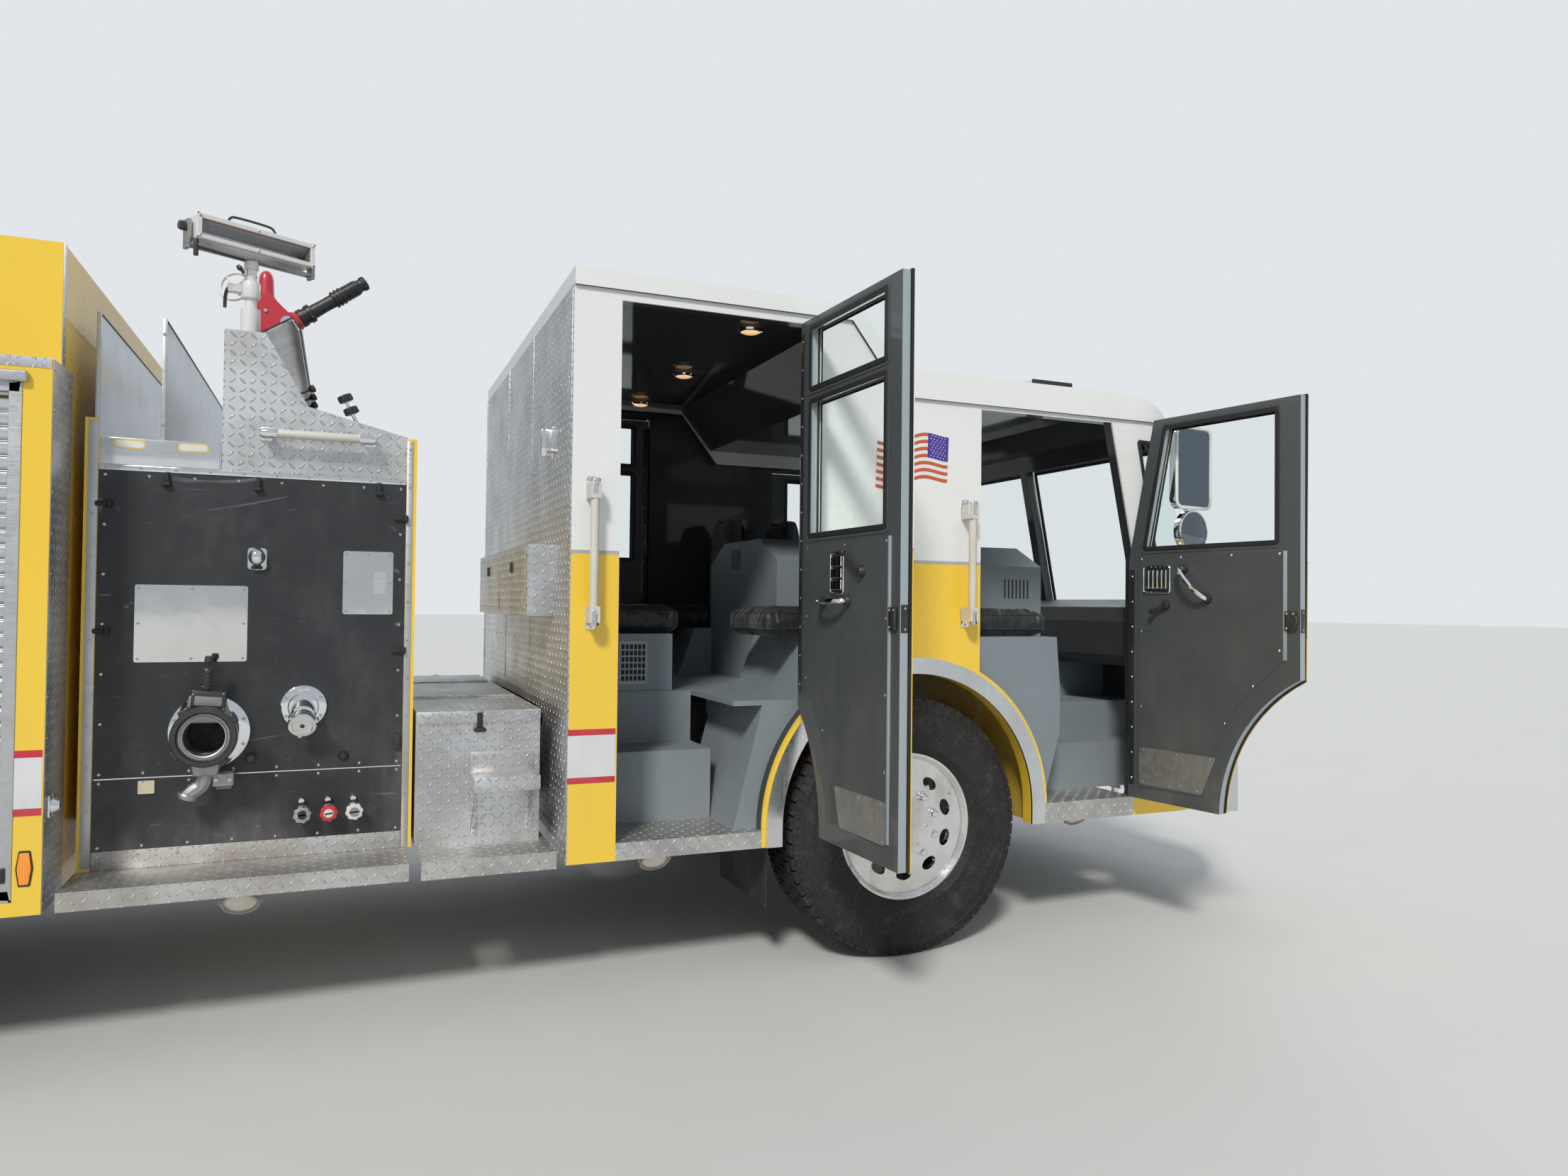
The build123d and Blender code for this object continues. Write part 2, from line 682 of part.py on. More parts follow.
# columns: back x, front x, riser y, top z
step_table = (
    (rear_door_latch_x, arch_x - arch_lip_radius, step_riser_rear_y, rear_step_z),
    (arch_x + arch_lip_radius - 20, front_door_hinge_x, step_riser_front_y, front_step_z),
)
with BuildPart() as cab_steps:
    for step_x0, step_x1, riser_y, top_z in step_table:
        with BuildSketch(Plane.YZ.offset(step_x0)):
            with BuildLine():
                Polyline((-half_width, cab_bottom_z), (-half_width, top_z), (-riser_y, top_z), (-riser_y, top_z - tray_sheet),
                         (-half_width + tray_sheet, top_z - tray_sheet), (-half_width + tray_sheet, cab_bottom_z + tray_sheet),
                         (-half_width + 60, cab_bottom_z + tray_sheet), (-half_width + 60, cab_bottom_z), close=True)
            make_face()
        extrude(amount=step_x1 - step_x0)
    mirror(about=Plane.XZ)

# Polished trims round the arches
trim_thickness = 10
with BuildPart() as arch_trims:
    with BuildSketch(Plane.XZ.offset(half_width)):
        with Locations((arch_x, arch_z)):
            Circle(arch_trim_radius)
            Rectangle(2 * arch_trim_radius, arch_z - cab_bottom_z, align=(Align.CENTER, Align.MAX))
            Circle(arch_radius, mode=Mode.SUBTRACT)
            Rectangle(2 * arch_radius, arch_z, align=(Align.CENTER, Align.MAX), mode=Mode.SUBTRACT)
        with Locations((arch_x, 0)):
            Rectangle(4 * arch_radius, 2 * cab_bottom_z, mode=Mode.SUBTRACT)
    extrude(amount=trim_thickness)
    mirror(about=Plane.XZ)

# Dashboard across the cab, behind the windscreen, with the steering column
dash_back_x = 1236
column_foot = (1262, 800, 1330)
wheel_centre = (1040, 800, 1650)
column_radius = 30
dash_points = (
    (dash_back_x, 1240), (dash_back_x, 1400), (dash_back_x + 60, 1470), (front_inner_x + 20, 1520),
    (front_inner_x + 20, dash_bottom_z), (dash_back_x + 120, dash_bottom_z),
)
dash_inner = cab_block(cab_wall)
with BuildPart() as dashboard:
    with BuildSketch(Plane.XZ.offset(-inner_half)):
        with BuildLine():
            Polyline(*dash_points, close=True)
        make_face()
    extrude(amount=2 * inner_half)
    add(dash_inner, mode=Mode.INTERSECT)
    column_plane = Plane(origin=column_foot, z_dir=(
        wheel_centre[0] - column_foot[0], wheel_centre[1] - column_foot[1], wheel_centre[2] - column_foot[2]))
    column_length = hypot(wheel_centre[0] - column_foot[0], wheel_centre[2] - column_foot[2])
    with BuildSketch(column_plane.offset(-20)):
        Circle(column_radius)
    extrude(amount=column_length - 60 + 20)

# Steering wheel: rim, hub and two spokes, on the column's end
rim_radius = 225
rim_tube = 15
with BuildPart() as steering_wheel:
    wheel_plane = Plane(origin=wheel_centre, z_dir=column_plane.z_dir)
    with BuildSketch(Plane(origin=wheel_centre, x_dir=column_plane.z_dir, z_dir=(0, 1, 0))):
        with Locations((0, rim_radius)):
            Circle(rim_tube)
    revolve(axis=Axis(wheel_centre, tuple(column_plane.z_dir)))
    with BuildSketch(wheel_plane.offset(-60 + 0.3)):
        Circle(45)
    extrude(amount=60)
    with BuildSketch(wheel_plane.offset(-10)):
        with PolarLocations(0, 3):
            with Locations((rim_radius / 2, 0)):
                Rectangle(rim_radius, 26)
    extrude(amount=12)

# Seats: a cushion and a back each, in front, facing back behind them, and at the back wall
cushion_height = 128
back_height = 560
seat_width = 500
# columns: cushion back x, cushion front x, middle y, back x low, back x high
seat_table = (
    (360, 850, 840, 235, 355),
    (-620, -140, 840, -135, -15),
    (cab_back_x + cab_wall + 130, -800, 340, cab_back_x + cab_wall, cab_back_x + cab_wall + 125),
)
with BuildPart() as seats:
    for x0, x1, seat_y, back_x0, back_x1 in seat_table:
        with BuildSketch(Plane.XY.offset(seat_base_z)):
            plan(x0, x1, -seat_y - seat_width / 2, -seat_y + seat_width / 2)
        extrude(amount=cushion_height)
        with BuildSketch(Plane.XY.offset(seat_base_z)):
            plan(back_x0, back_x1, -seat_y - seat_width / 2 + 20, -seat_y + seat_width / 2 - 20)
        extrude(amount=cushion_height + back_height)
    mirror(about=Plane.XZ)

# Handrails on the pillars
rail_bar_radius = 16
rail_stand = 60
# columns: x, low z, high z
handrail_table = ((-1357, 1385, 1908), (265, 1396, 1903))
with BuildPart() as cab_handrails:
    for rail_x, rail_z0, rail_z1 in handrail_table:
        with BuildSketch(Plane.XY.offset(rail_z0)):
            with Locations((rail_x, -half_width - rail_stand)):
                Circle(rail_bar_radius)
        extrude(amount=rail_z1 - rail_z0)
        for foot_z in (rail_z0 + 5, rail_z1 - 65):
            with BuildSketch(Plane.XY.offset(foot_z)):
                plan(rail_x - 20, rail_x + 20, -half_width - rail_stand - 18, -half_width)
            extrude(amount=60)
    mirror(about=Plane.XZ)

# Tread plate on the cab's back wall, with the shallow cabinet fixed to it
back_sheet = 4
with BuildPart() as cab_back_plate:
    with BuildSketch(Plane.YZ.offset(cab_back_x - back_sheet)):
        with BuildLine():
            Polyline((-half_width, cab_bottom_z), (-frame_gap_half, cab_bottom_z), (-frame_gap_half, frame_gap_top_z),
                     (frame_gap_half, frame_gap_top_z), (frame_gap_half, cab_bottom_z), (half_width, cab_bottom_z),
                     (half_width, rear_roof_z), (-half_width, rear_roof_z), close=True)
        make_face()
    extrude(amount=back_sheet)
    with BuildSketch(Plane.XY.offset(1410)):
        plan(cab_back_x - back_sheet - 100, cab_back_x - back_sheet, -900, 600)
    extrude(amount=280)

# Front grille and lamp panels between the windscreen and the bumper
grille_half = 520
slat_count = 6
with BuildPart() as front_grille:
    with BuildSketch(Plane.YZ.offset(cab_front_x)):
        with Locations((0, 1140)):
            Rectangle(2 * grille_half, 300)
            Rectangle(2 * grille_half - 60, 240, mode=Mode.SUBTRACT)
    extrude(amount=30)
    for slat in range(slat_count):
        with BuildSketch(Plane.YZ.offset(cab_front_x)):
            with Locations((0, 1020 + 20 + slat * 40)):
                Rectangle(2 * grille_half - 60, 16)
        extrude(amount=24)
    for side in (-1, 1):
        with BuildSketch(Plane.YZ.offset(cab_front_x)):
            with Locations((side * 740, 1140)):
                RectangleRounded(380, 260, 30)
        extrude(amount=30)
        with BuildSketch(Plane.YZ.offset(cab_front_x + 30)):
            with Locations((side * 740 - 88, 1140), (side * 740 + 88, 1140)):
                Circle(72)
        extrude(amount=14)

# Light bar on two feet on the front roof
with BuildPart() as light_bar:
    with BuildSketch(Plane.XY.offset(front_roof_top_z)):
        plan(1050, 1190, -450, -330)
        plan(1050, 1190, 330, 450)
    extrude(amount=30)
    with BuildSketch(Plane.XY.offset(front_roof_top_z + 30)):
        with Locations((1120, 0)):
            RectangleRounded(240, 1400, 60)
    extrude(amount=130)


# Doors: each a slab with its windows cut, its piano hinge and one outline for both sides

def rear_windows(shrink):
    """Both windows of a rear door, distances measured back from its hinge."""
    with BuildSketch() as face:
        for z0, z1 in ((1733, 2260), (2308, 2550)):
            with Locations((rear_door_hinge_x - (95 + 672) / 2, (z0 + z1) / 2)):
                Rectangle(672 - 95 - 2 * shrink, z1 - z0 - 2 * shrink)
    return face.sketch


def front_windows(shrink):
    """Window of a front door, its front edge leaning back."""
    with BuildSketch() as face:
        with BuildLine():
            Polyline((front_door_hinge_x - 92, 1735), (front_door_hinge_x - 745, 1735),
                     (front_door_hinge_x - 745, 2272), (front_door_hinge_x - 205, 2272), close=True)
        make_face()
        if shrink:
            offset(amount=-shrink, kind=Kind.INTERSECTION)
    return face.sketch


hinge_line_y = -half_width - hinge_radius - hinge_clear


def build_door(opening, windows, hinge_x, hinge_z0, hinge_z1):
    """A right-hand door, shut."""
    with BuildPart() as door:
        with BuildSketch(Plane.XZ.offset(half_width)):
            add(opening(door_gap))
            add(windows(0), mode=Mode.SUBTRACT)
        extrude(amount=-door_thickness)
        # hinge leaf and barrel
        with BuildSketch(Plane.XY.offset(hinge_z0)):
            plan(hinge_x - 40, hinge_x - hinge_clear, -half_width - 3, -half_width)
            with Locations((hinge_x, hinge_line_y)):
                Circle(hinge_radius)
        extrude(amount=hinge_z1 - hinge_z0)
    return door.part


def build_glass(windows):
    """Glass of a right-hand door, in the middle of its thickness."""
    with BuildPart() as glass:
        with BuildSketch(Plane.XZ.offset(half_width - door_thickness / 2 + glass_thickness / 2)):
            add(windows(glass_clear))
        extrude(amount=-glass_thickness)
    return glass.part


def build_mirror():
    """Mirror of a right-hand front door: two arms, a tall glass and a round one, door shut."""
    plate_x = front_door_hinge_x - 190
    arm_x = front_door_hinge_x - 152
    with BuildPart() as piece:
        with BuildSketch(Plane.YZ.offset(plate_x)):
            with Locations((-half_width - 165, 2110)):
                RectangleRounded(250, 380, 50)
            with Locations((-half_width - 165, 1820)):
                Circle(95)
        extrude(amount=30)
        for arm_z in (1700, 2290):
            with BuildSketch(Plane.XY.offset(arm_z)):
                plan(arm_x - 10, arm_x + 10, -half_width - 165, -half_width)
            extrude(amount=24)
        with BuildSketch(Plane.XY.offset(1700)):
            with Locations((arm_x, -half_width - 165)):
                Circle(10)
        extrude(amount=614)
    return piece.part


rear_door_shut = build_door(rear_opening, rear_windows, rear_door_hinge_x, 1090, 2560)
rear_glass_shut = build_glass(rear_windows)
front_door_shut = build_door(front_opening, front_windows, front_door_hinge_x, 640, 1660)
front_glass_shut = build_glass(front_windows)
mirror_shut = build_mirror()
rear_hinge = Axis((rear_door_hinge_x, hinge_line_y, 0), (0, 0, 1))
front_hinge = Axis((front_door_hinge_x, hinge_line_y, 0), (0, 0, 1))

# Wheels: rim, disc with hand holes and hub, and the tyre on it
rim_profile = (
    (-rim_half, rim_flange_radius), (-118, rim_flange_radius), (-114, bead_radius), (-62, bead_radius), (-46, drop_radius),
    (46, drop_radius), (62, bead_radius), (114, bead_radius), (118, rim_flange_radius), (rim_half, rim_flange_radius),
    (rim_half, rim_flange_radius - rim_wall), (118, bead_radius - rim_wall), (58, bead_radius - rim_wall),
    (42, drop_radius - rim_wall), (-42, drop_radius - rim_wall), (-58, bead_radius - rim_wall),
    (-118, bead_radius - rim_wall), (-rim_half, rim_flange_radius - rim_wall),
)


def build_rim(disc_y):
    """Rim about the Y axis at the origin, with its disc starting at disc_y and going towards positive Y."""
    with BuildPart() as rim:
        with BuildSketch(Plane.YZ):
            with BuildLine():
                Polyline(*rim_profile, close=True)
            make_face()
        revolve(axis=Axis.Y)
        with BuildSketch(Plane.XZ.offset(-disc_y)):
            Circle(bead_radius - rim_wall + 2)
            with PolarLocations(hand_hole_radius + 8, hand_hole_count, start_angle=18):
                Ellipse(36, 23, rotation=90, mode=Mode.SUBTRACT)
        extrude(amount=-disc_thickness)
    return rim.part


def build_front_wheel():
    """Front wheel with its hub, bored for the knuckle's spindle, outer side at negative Y."""
    with BuildPart() as wheel:
        add(build_rim(-110))
        with BuildSketch(Plane.XZ.offset(150)):
            Circle(hub_radius)
        extrude(amount=-220)
        with BuildSketch(Plane.XZ.offset(-70)):
            Circle(stub_radius + pin_clear)
        extrude(amount=180, mode=Mode.SUBTRACT)
    return wheel.part


def build_dual_wheel():
    """Pair of rear wheels with their hub, bored for the axle, outer wheel centred at the origin."""
    tube_end = outer_dual_y - 880
    with BuildPart() as wheel:
        add(build_rim(88))
        add(build_rim(-110).moved(Location((0, dual_spacing, 0))))
        with BuildSketch(Plane.XZ.offset(-88)):
            Circle(drum_radius)
        extrude(amount=-(dual_spacing - 110 + disc_thickness - 88))
        with BuildSketch(Plane.XZ.offset(150)):
            Circle(hub_radius)
        extrude(amount=-250)
        with BuildSketch(Plane.XZ.offset(-dual_spacing)):
            Circle(spindle_radius + pin_clear)
        extrude(amount=dual_spacing + 90, mode=Mode.SUBTRACT)
        with BuildSketch(Plane.XZ.offset(-dual_spacing)):
            Circle(axle_tube_radius + 6)
        extrude(amount=dual_spacing - tube_end + 6, mode=Mode.SUBTRACT)
    return wheel.part


def build_tyre():
    """Tyre about the Y axis at the origin."""
    half = tyre_width / 2 - 1.5
    with BuildPart() as tyre:
        with BuildSketch(Plane.YZ):
            with BuildLine():
                Polyline((-tread_half, tyre_radius), (tread_half, tyre_radius), (tread_half + 20, tyre_radius - 16))
                ThreePointArc((tread_half + 20, tyre_radius - 16), (half, 412), (117, rim_flange_radius + 1))
                Polyline((117, rim_flange_radius + 1), (113, bead_radius + tyre_clear), (-113, bead_radius + tyre_clear),
                         (-117, rim_flange_radius + 1))
                ThreePointArc((-117, rim_flange_radius + 1), (-half, 412), (-tread_half - 20, tyre_radius - 16))
                Line((-tread_half - 20, tyre_radius - 16), (-tread_half, tyre_radius))
            make_face()
        revolve(axis=Axis.Y)
    return tyre.part


tyre_shape = build_tyre()
front_wheel_shape = build_front_wheel()
dual_wheel_shape = build_dual_wheel()
dual_tyre_shape = tyre_shape + tyre_shape.moved(Location((0, dual_spacing, 0)))
front_hub = Location((0, -front_tyre_y, tyre_radius))
rear_hub = Location((rear_axle_x, -outer_dual_y, tyre_radius))

# Knuckle: yoke round the axle's pin and a spindle into the hub
with BuildPart() as knuckle_shape:
    with BuildSketch(Plane.XY.offset(tyre_radius + boss_half + pin_clear)):
        with Locations((0, -kingpin_y)):
            Circle(44)
            Rectangle(88, 90, align=(Align.CENTER, Align.MAX))
            Circle(kingpin_radius + pin_clear, mode=Mode.SUBTRACT)
    extrude(amount=50)
    with BuildSketch(Plane.XY.offset(tyre_radius - boss_half - pin_clear - 50)):
        with Locations((0, -kingpin_y)):
            Circle(44)
            Rectangle(88, 90, align=(Align.CENTER, Align.MAX))
            Circle(kingpin_radius + pin_clear, mode=Mode.SUBTRACT)
    extrude(amount=50)
    with BuildSketch(Plane.XY.offset(tyre_radius - boss_half - 50 - pin_clear)):
        plan(-44, 44, -kingpin_y - 90, -kingpin_y - 52)
    extrude(amount=2 * (boss_half + 50 + pin_clear))
    with BuildSketch(Plane.XZ.offset(kingpin_y + 60)):
        with Locations((0, tyre_radius)):
            Circle(stub_radius)
    extrude(amount=front_tyre_y + 108 - kingpin_y - 60)

# Walkway between the cab and the pump: bins outside the rails and a deck over them
deck_z0 = rail_top_z
bin_wall = 5
with BuildPart() as walkway_box:
    for side in (-1, 1):
        with BuildSketch(Plane.XY.offset(walkway_bottom_z)):
            plan(walkway_back_x, walkway_front_x, side * rail_outer_y, side * walkway_side_y)
        extrude(amount=walkway_top_z - lid_thickness - walkway_bottom_z)
        with BuildSketch(Plane.XY.offset(walkway_bottom_z + bin_wall)):
            plan(walkway_back_x + bin_wall, walkway_front_x - bin_wall, side * (rail_outer_y + bin_wall),
                 side * (walkway_side_y - bin_wall))
        extrude(amount=walkway_top_z - walkway_bottom_z, mode=Mode.SUBTRACT)
        # fixed step on the outer face
        with BuildSketch(Plane.XY.offset(770)):
            plan(-1745, walkway_front_x - 20, side * walkway_side_y, side * (walkway_side_y + 130))
        extrude(amount=50)
    with BuildSketch(Plane.XY.offset(deck_z0)):
        plan(walkway_back_x, walkway_front_x, -rail_outer_y, rail_outer_y)
    extrude(amount=walkway_top_z - deck_z0)

# Lids of the bins
lid_hinge_y = -rail_outer_y - 4
lid_hinge_z = walkway_top_z + 6
with BuildPart() as lid_shape:
    with BuildSketch(Plane.XY.offset(walkway_top_z - lid_thickness + 0.3)):
        plan(walkway_back_x, walkway_front_x, -walkway_side_y - 8, -rail_outer_y - 6)
    extrude(amount=lid_thickness - 0.3)
    with BuildSketch(Plane.XY.offset(walkway_top_z)):
        plan(walkway_back_x + 20, walkway_front_x - 20, -rail_outer_y - 46, -rail_outer_y - 1)
    extrude(amount=3)
    with BuildSketch(Plane.YZ.offset(walkway_back_x + 20)):
        with Locations((lid_hinge_y, lid_hinge_z)):
            Circle(5.7)
    extrude(amount=walkway_front_x - walkway_back_x - 40)

# Running boards beside the pump and under the walkway, one folded plate each
with BuildPart() as running_boards:
    for board_x0, board_x1, board_z in ((pump_back_x, pump_front_x - 20, 500), (-1930, -1467, 497)):
        with BuildSketch(Plane.YZ.offset(board_x0)):
            with BuildLine():
                Polyline((-half_width, board_z), (-half_width, board_top_z), (-rail_outer_y, board_top_z),
                         (-rail_outer_y, board_top_z - 8), (-half_width + 8, board_top_z - 8),
                         (-half_width + 8, board_z + 8), (-half_width + 60, board_z + 8), (-half_width + 60, board_z),
                         close=True)
            make_face()
        extrude(amount=board_x1 - board_x0)
    # drop brackets from the rail webs
    for bracket_x in (pump_back_x + 120, pump_front_x - 200):
        with BuildSketch(Plane.XY.offset(board_top_z)):
            plan(bracket_x - 30, bracket_x + 30, -rail_outer_y - 9, -rail_outer_y)
        extrude(amount=200)
    mirror(about=Plane.XZ)

# Pump house: closed box over the rails, with its side panels
with BuildPart() as pump_house:
    with BuildSketch(Plane.YZ.offset(pump_back_x)):
        with BuildLine():
            Polyline((-pump_side_y, board_top_z), (-pump_side_y, pump_top_z), (pump_side_y, pump_top_z),
                     (pump_side_y, board_top_z), (rail_outer_y + 10, board_top_z), (rail_outer_y + 10, rail_top_z),
                     (-rail_outer_y - 10, rail_top_z), (-rail_outer_y - 10, board_top_z), close=True)
        make_face()
    extrude(amount=pump_front_x - pump_back_x)
    # corner frames at the sides
    for side in (-1, 1):
        for post_x0, post_x1 in ((pump_back_x, -2945), (-1985, pump_front_x)):
            with BuildSketch(Plane.XY.offset(board_top_z)):
                plan(post_x0, post_x1, side * pump_side_y, side * (pump_side_y + panel_sheet))
            extrude(amount=2059 - board_top_z)
with BuildPart() as pump_panels:
    for panel_z0, panel_z1 in ((620, 858), (862, pump_top_z)):
        with BuildSketch(Plane.XZ.offset(pump_side_y)):
            with Locations(((-2943 - 1987) / 2, (panel_z0 + panel_z1) / 2)):
                Rectangle(2943 - 1987, panel_z1 - panel_z0)
        extrude(amount=panel_sheet)
    mirror(about=Plane.XZ)

# Suction inlet with its valve, discharge outlet, drain knobs and a grab rail at each side
panel_face_y = pump_side_y + panel_sheet
suction_x = -2606
suction_z = 1007
discharge_x = -2315
discharge_z = 1085
with BuildPart() as pump_fittings:
    with BuildSketch(Plane.XZ.offset(panel_face_y)):
        with Locations((suction_x, suction_z)):
            Circle(126)
    extrude(amount=12)
    with BuildSketch(Plane.XZ.offset(panel_face_y + 12)):
        with Locations((suction_x, suction_z)):
            Circle(88)
    extrude(amount=120)
    with BuildSketch(Plane.XZ.offset(panel_face_y + 132)):
        with Locations((suction_x, suction_z)):
            Circle(98)
    extrude(amount=40)
    with BuildSketch(Plane.XZ.offset(panel_face_y + 40)):
        with Locations((suction_x, suction_z)):
            Circle(62)
    extrude(amount=160, mode=Mode.SUBTRACT)
    with BuildSketch(Plane.XZ.offset(panel_face_y)):
        with Locations((discharge_x, discharge_z)):
            Circle(75)
    extrude(amount=12)
    with BuildSketch(Plane.XZ.offset(panel_face_y + 12)):
        with Locations((discharge_x, discharge_z)):
            Circle(36)
    extrude(amount=60)
    with BuildSketch(Plane.XZ.offset(panel_face_y + 72)):
        with Locations((discharge_x, discharge_z)):
            Circle(46)
    extrude(amount=50)
    for knob_x in (-2312, -2227, -2144):
        with BuildSketch(Plane.XZ.offset(panel_face_y)):
            with Locations((knob_x, 712)):
                Circle(14)
        extrude(amount=40)
        with BuildSketch(Plane.XZ.offset(panel_face_y + 40)):
            with Locations((knob_x, 712)):
                Circle(28)
        extrude(amount=22)
    # grab rails on the cheeks of the control housing
    with BuildSketch(Plane.YZ.offset(-2467)):
        with Locations((-pump_side_y - 60, 2039)):
            Circle(17)
    extrude(amount=374)
    for foot_x in (-2467, -2129):
        with BuildSketch(Plane.XY.offset(2019)):
            plan(foot_x, foot_x + 36, -pump_side_y - 78, -pump_side_y)
        extrude(amount=40)
    mirror(about=Plane.XZ)

# Control housing on the pump house: sloped deck, gauge face between its cheeks and a visor over it
cheek = 6
housing_back_x = -2587
housing_top_z = 2388
mast_x = -2515
mast_y = -850
mast_radius = 19
mast_foot_z = 1960
with BuildPart() as control_housing:
    with BuildSketch(Plane.XZ.offset(-pump_side_y + cheek)):
        with BuildLine():
            Polyline((housing_back_x, pump_top_z), (housing_back_x, housing_top_z), (-2475, housing_top_z),
                     (-2352, 2156), (-2310, 2128), (-1962, 2036), (-1962, pump_top_z), close=True)
        make_face()
    extrude(amount=2 * (pump_side_y - cheek))
    for side in (-1, 1):
        with BuildSketch(Plane.XZ.offset(side * (pump_side_y - cheek))):
            with BuildLine():
                Polyline((housing_back_x, pump_top_z), (housing_back_x, 2400), (-2458, 2400), (-2318, 2151),
                         (-1985, 2065), (-1985, pump_top_z), close=True)
            make_face()
        extrude(amount=side * cheek)
    # visor across the gauges
    with BuildSketch(Plane.XZ.offset(-pump_side_y + 30)):
        with BuildLine():
            Polyline((-2470, 2378), (-2470, 2406), (-2375, 2470), (-2351, 2430), (-2356, 2426), (-2378, 2462),
                     (-2464, 2402), (-2464, 2366), close=True)
        make_face()
    extrude(amount=2 * (pump_side_y - 30))
    # well in which the lamp's mast slides
    with BuildSketch(Plane.XY.offset(mast_foot_z - 5)):
        with Locations((mast_x, mast_y)):
            Circle(mast_radius + pin_clear)
    extrude(amount=housing_top_z + 100 - mast_foot_z, mode=Mode.SUBTRACT)

# Crosslay bed behind the controls: tray, two dividers and bright side rollers
with BuildPart() as crosslay_bed:
    with BuildSketch(Plane.XY.offset(pump_top_z)):
        plan(pump_back_x, -2588, -pump_side_y, pump_side_y)
    extrude(amount=110)
    for divider_x in (-2955, -2765):
        with BuildSketch(Plane.XY.offset(pump_top_z + 110)):
            plan(divider_x - 3, divider_x + 3, -pump_side_y + 10, pump_side_y - 10)
        extrude(amount=2410 - pump_top_z - 110)

# Deck gun: riser, turning body and nozzle; the riser shares a node with the lamp's socket
gun_x = -2522
riser_top_z = 2560
riser_radius = 48
socket_top_z = 2500
with BuildPart() as deck_mounts:
    with BuildSketch(Plane.XY.offset(housing_top_z)):
        with Locations((gun_x, 0)):
            Circle(riser_radius)
    extrude(amount=riser_top_z - housing_top_z)
    with BuildSketch(Plane.XY.offset(housing_top_z)):
        with Locations((mast_x, mast_y)):
            Circle(32)
            Circle(mast_radius + pin_clear, mode=Mode.SUBTRACT)
    extrude(amount=socket_top_z - housing_top_z)
gun_pivot_x = -2435
gun_pivot_z = 2660
gun_top_z = 2890
fork_inner_y = 44
fork_outer_y = 72
with BuildPart() as gun_elbow:
    with BuildSketch(Plane.XY.offset(riser_top_z + pin_clear)):
        with Locations((gun_x, 0)):
            Circle(riser_radius + 8)
    extrude(amount=60)
    with BuildSketch(Plane.XZ.offset(-fork_inner_y)):
        with BuildLine():
            Polyline((gun_x - 40, riser_top_z + 40), (gun_x - 40, gun_top_z - 60), (gun_x - 5, gun_top_z),
                     (gun_x + 20, gun_top_z), (gun_x + 30, gun_top_z - 80), (gun_x + 30, riser_top_z + 40), close=True)
        make_face()
    extrude(amount=2 * fork_inner_y)
    for side in (-1, 1):
        with BuildSketch(Plane.XZ.offset(side * fork_inner_y)):
            with BuildLine():
                Polyline((gun_x - 40, riser_top_z + 20), (gun_x - 40, gun_pivot_z + 120), (gun_x + 20, gun_pivot_z + 120),
                         (gun_pivot_x, gun_pivot_z + 46), (gun_pivot_x, gun_pivot_z - 46),
                         (gun_x + 50, riser_top_z + 20), close=True)
            make_face()
            with Locations((gun_pivot_x, gun_pivot_z)):
                Circle(46)
        extrude(amount=side * (fork_outer_y - fork_inner_y))
gun_rise = 36.8
gun_axis = Axis((gun_pivot_x, 0, gun_pivot_z), (0, 1, 0))
# columns: start along the barrel, length, radius
barrel_steps = ((0, 110, 37), (60, 60, 44), (110, 130, 29), (240, 110, 34), (350, 43, 28))
with BuildPart() as barrel_level:
    with BuildSketch(Plane.XZ.offset(-fork_inner_y + 0.6)):
        with Locations((gun_pivot_x, gun_pivot_z)):
            Circle(44)
    extrude(amount=2 * fork_inner_y - 1.2)
    for start, length, radius in barrel_steps:
        with BuildSketch(Plane.YZ.offset(gun_pivot_x + start)):
            with Locations((0, gun_pivot_z)):
                Circle(radius)
        extrude(amount=length)
    with BuildSketch(Plane.YZ.offset(gun_pivot_x + 393)):
        with Locations((0, gun_pivot_z)):
            Circle(nozzle_bore_radius)
    extrude(amount=-200, mode=Mode.SUBTRACT)
gun_barrel = barrel_level.part.rotate(gun_axis, -gun_rise)

# Telescoping lamp: mast with its collars and the lamp head that turns on it
lamp_base_z = 2640
lamp_turn = 28
with BuildPart() as lamp_mast:
    with BuildSketch(Plane.XY.offset(mast_foot_z)):
        with Locations((mast_x, mast_y)):
            Circle(mast_radius)
    extrude(amount=lamp_base_z - mast_foot_z)
    with BuildSketch(Plane.XY.offset(2540)):
        with Locations((mast_x, mast_y)):
            Circle(30)
    extrude(amount=55)
with BuildPart() as lamp_square:
    with BuildSketch(Plane.XY.offset(lamp_base_z + pin_clear)):
        with Locations((mast_x, mast_y)):
            Circle(24)
    extrude(amount=60)
    with BuildSketch(Plane.XY.offset(2694)):
        plan(mast_x - 235, mast_x + 235, mast_y - 55, mast_y + 55)
    extrude(amount=86)
flood_lamp = lamp_square.part.rotate(Axis((mast_x, mast_y, 0), (0, 0, 1)), lamp_turn)

# Body: lockers at the sides with their arches and door recesses
recess = 40
door_top_z = 2100
low_door_z = 560
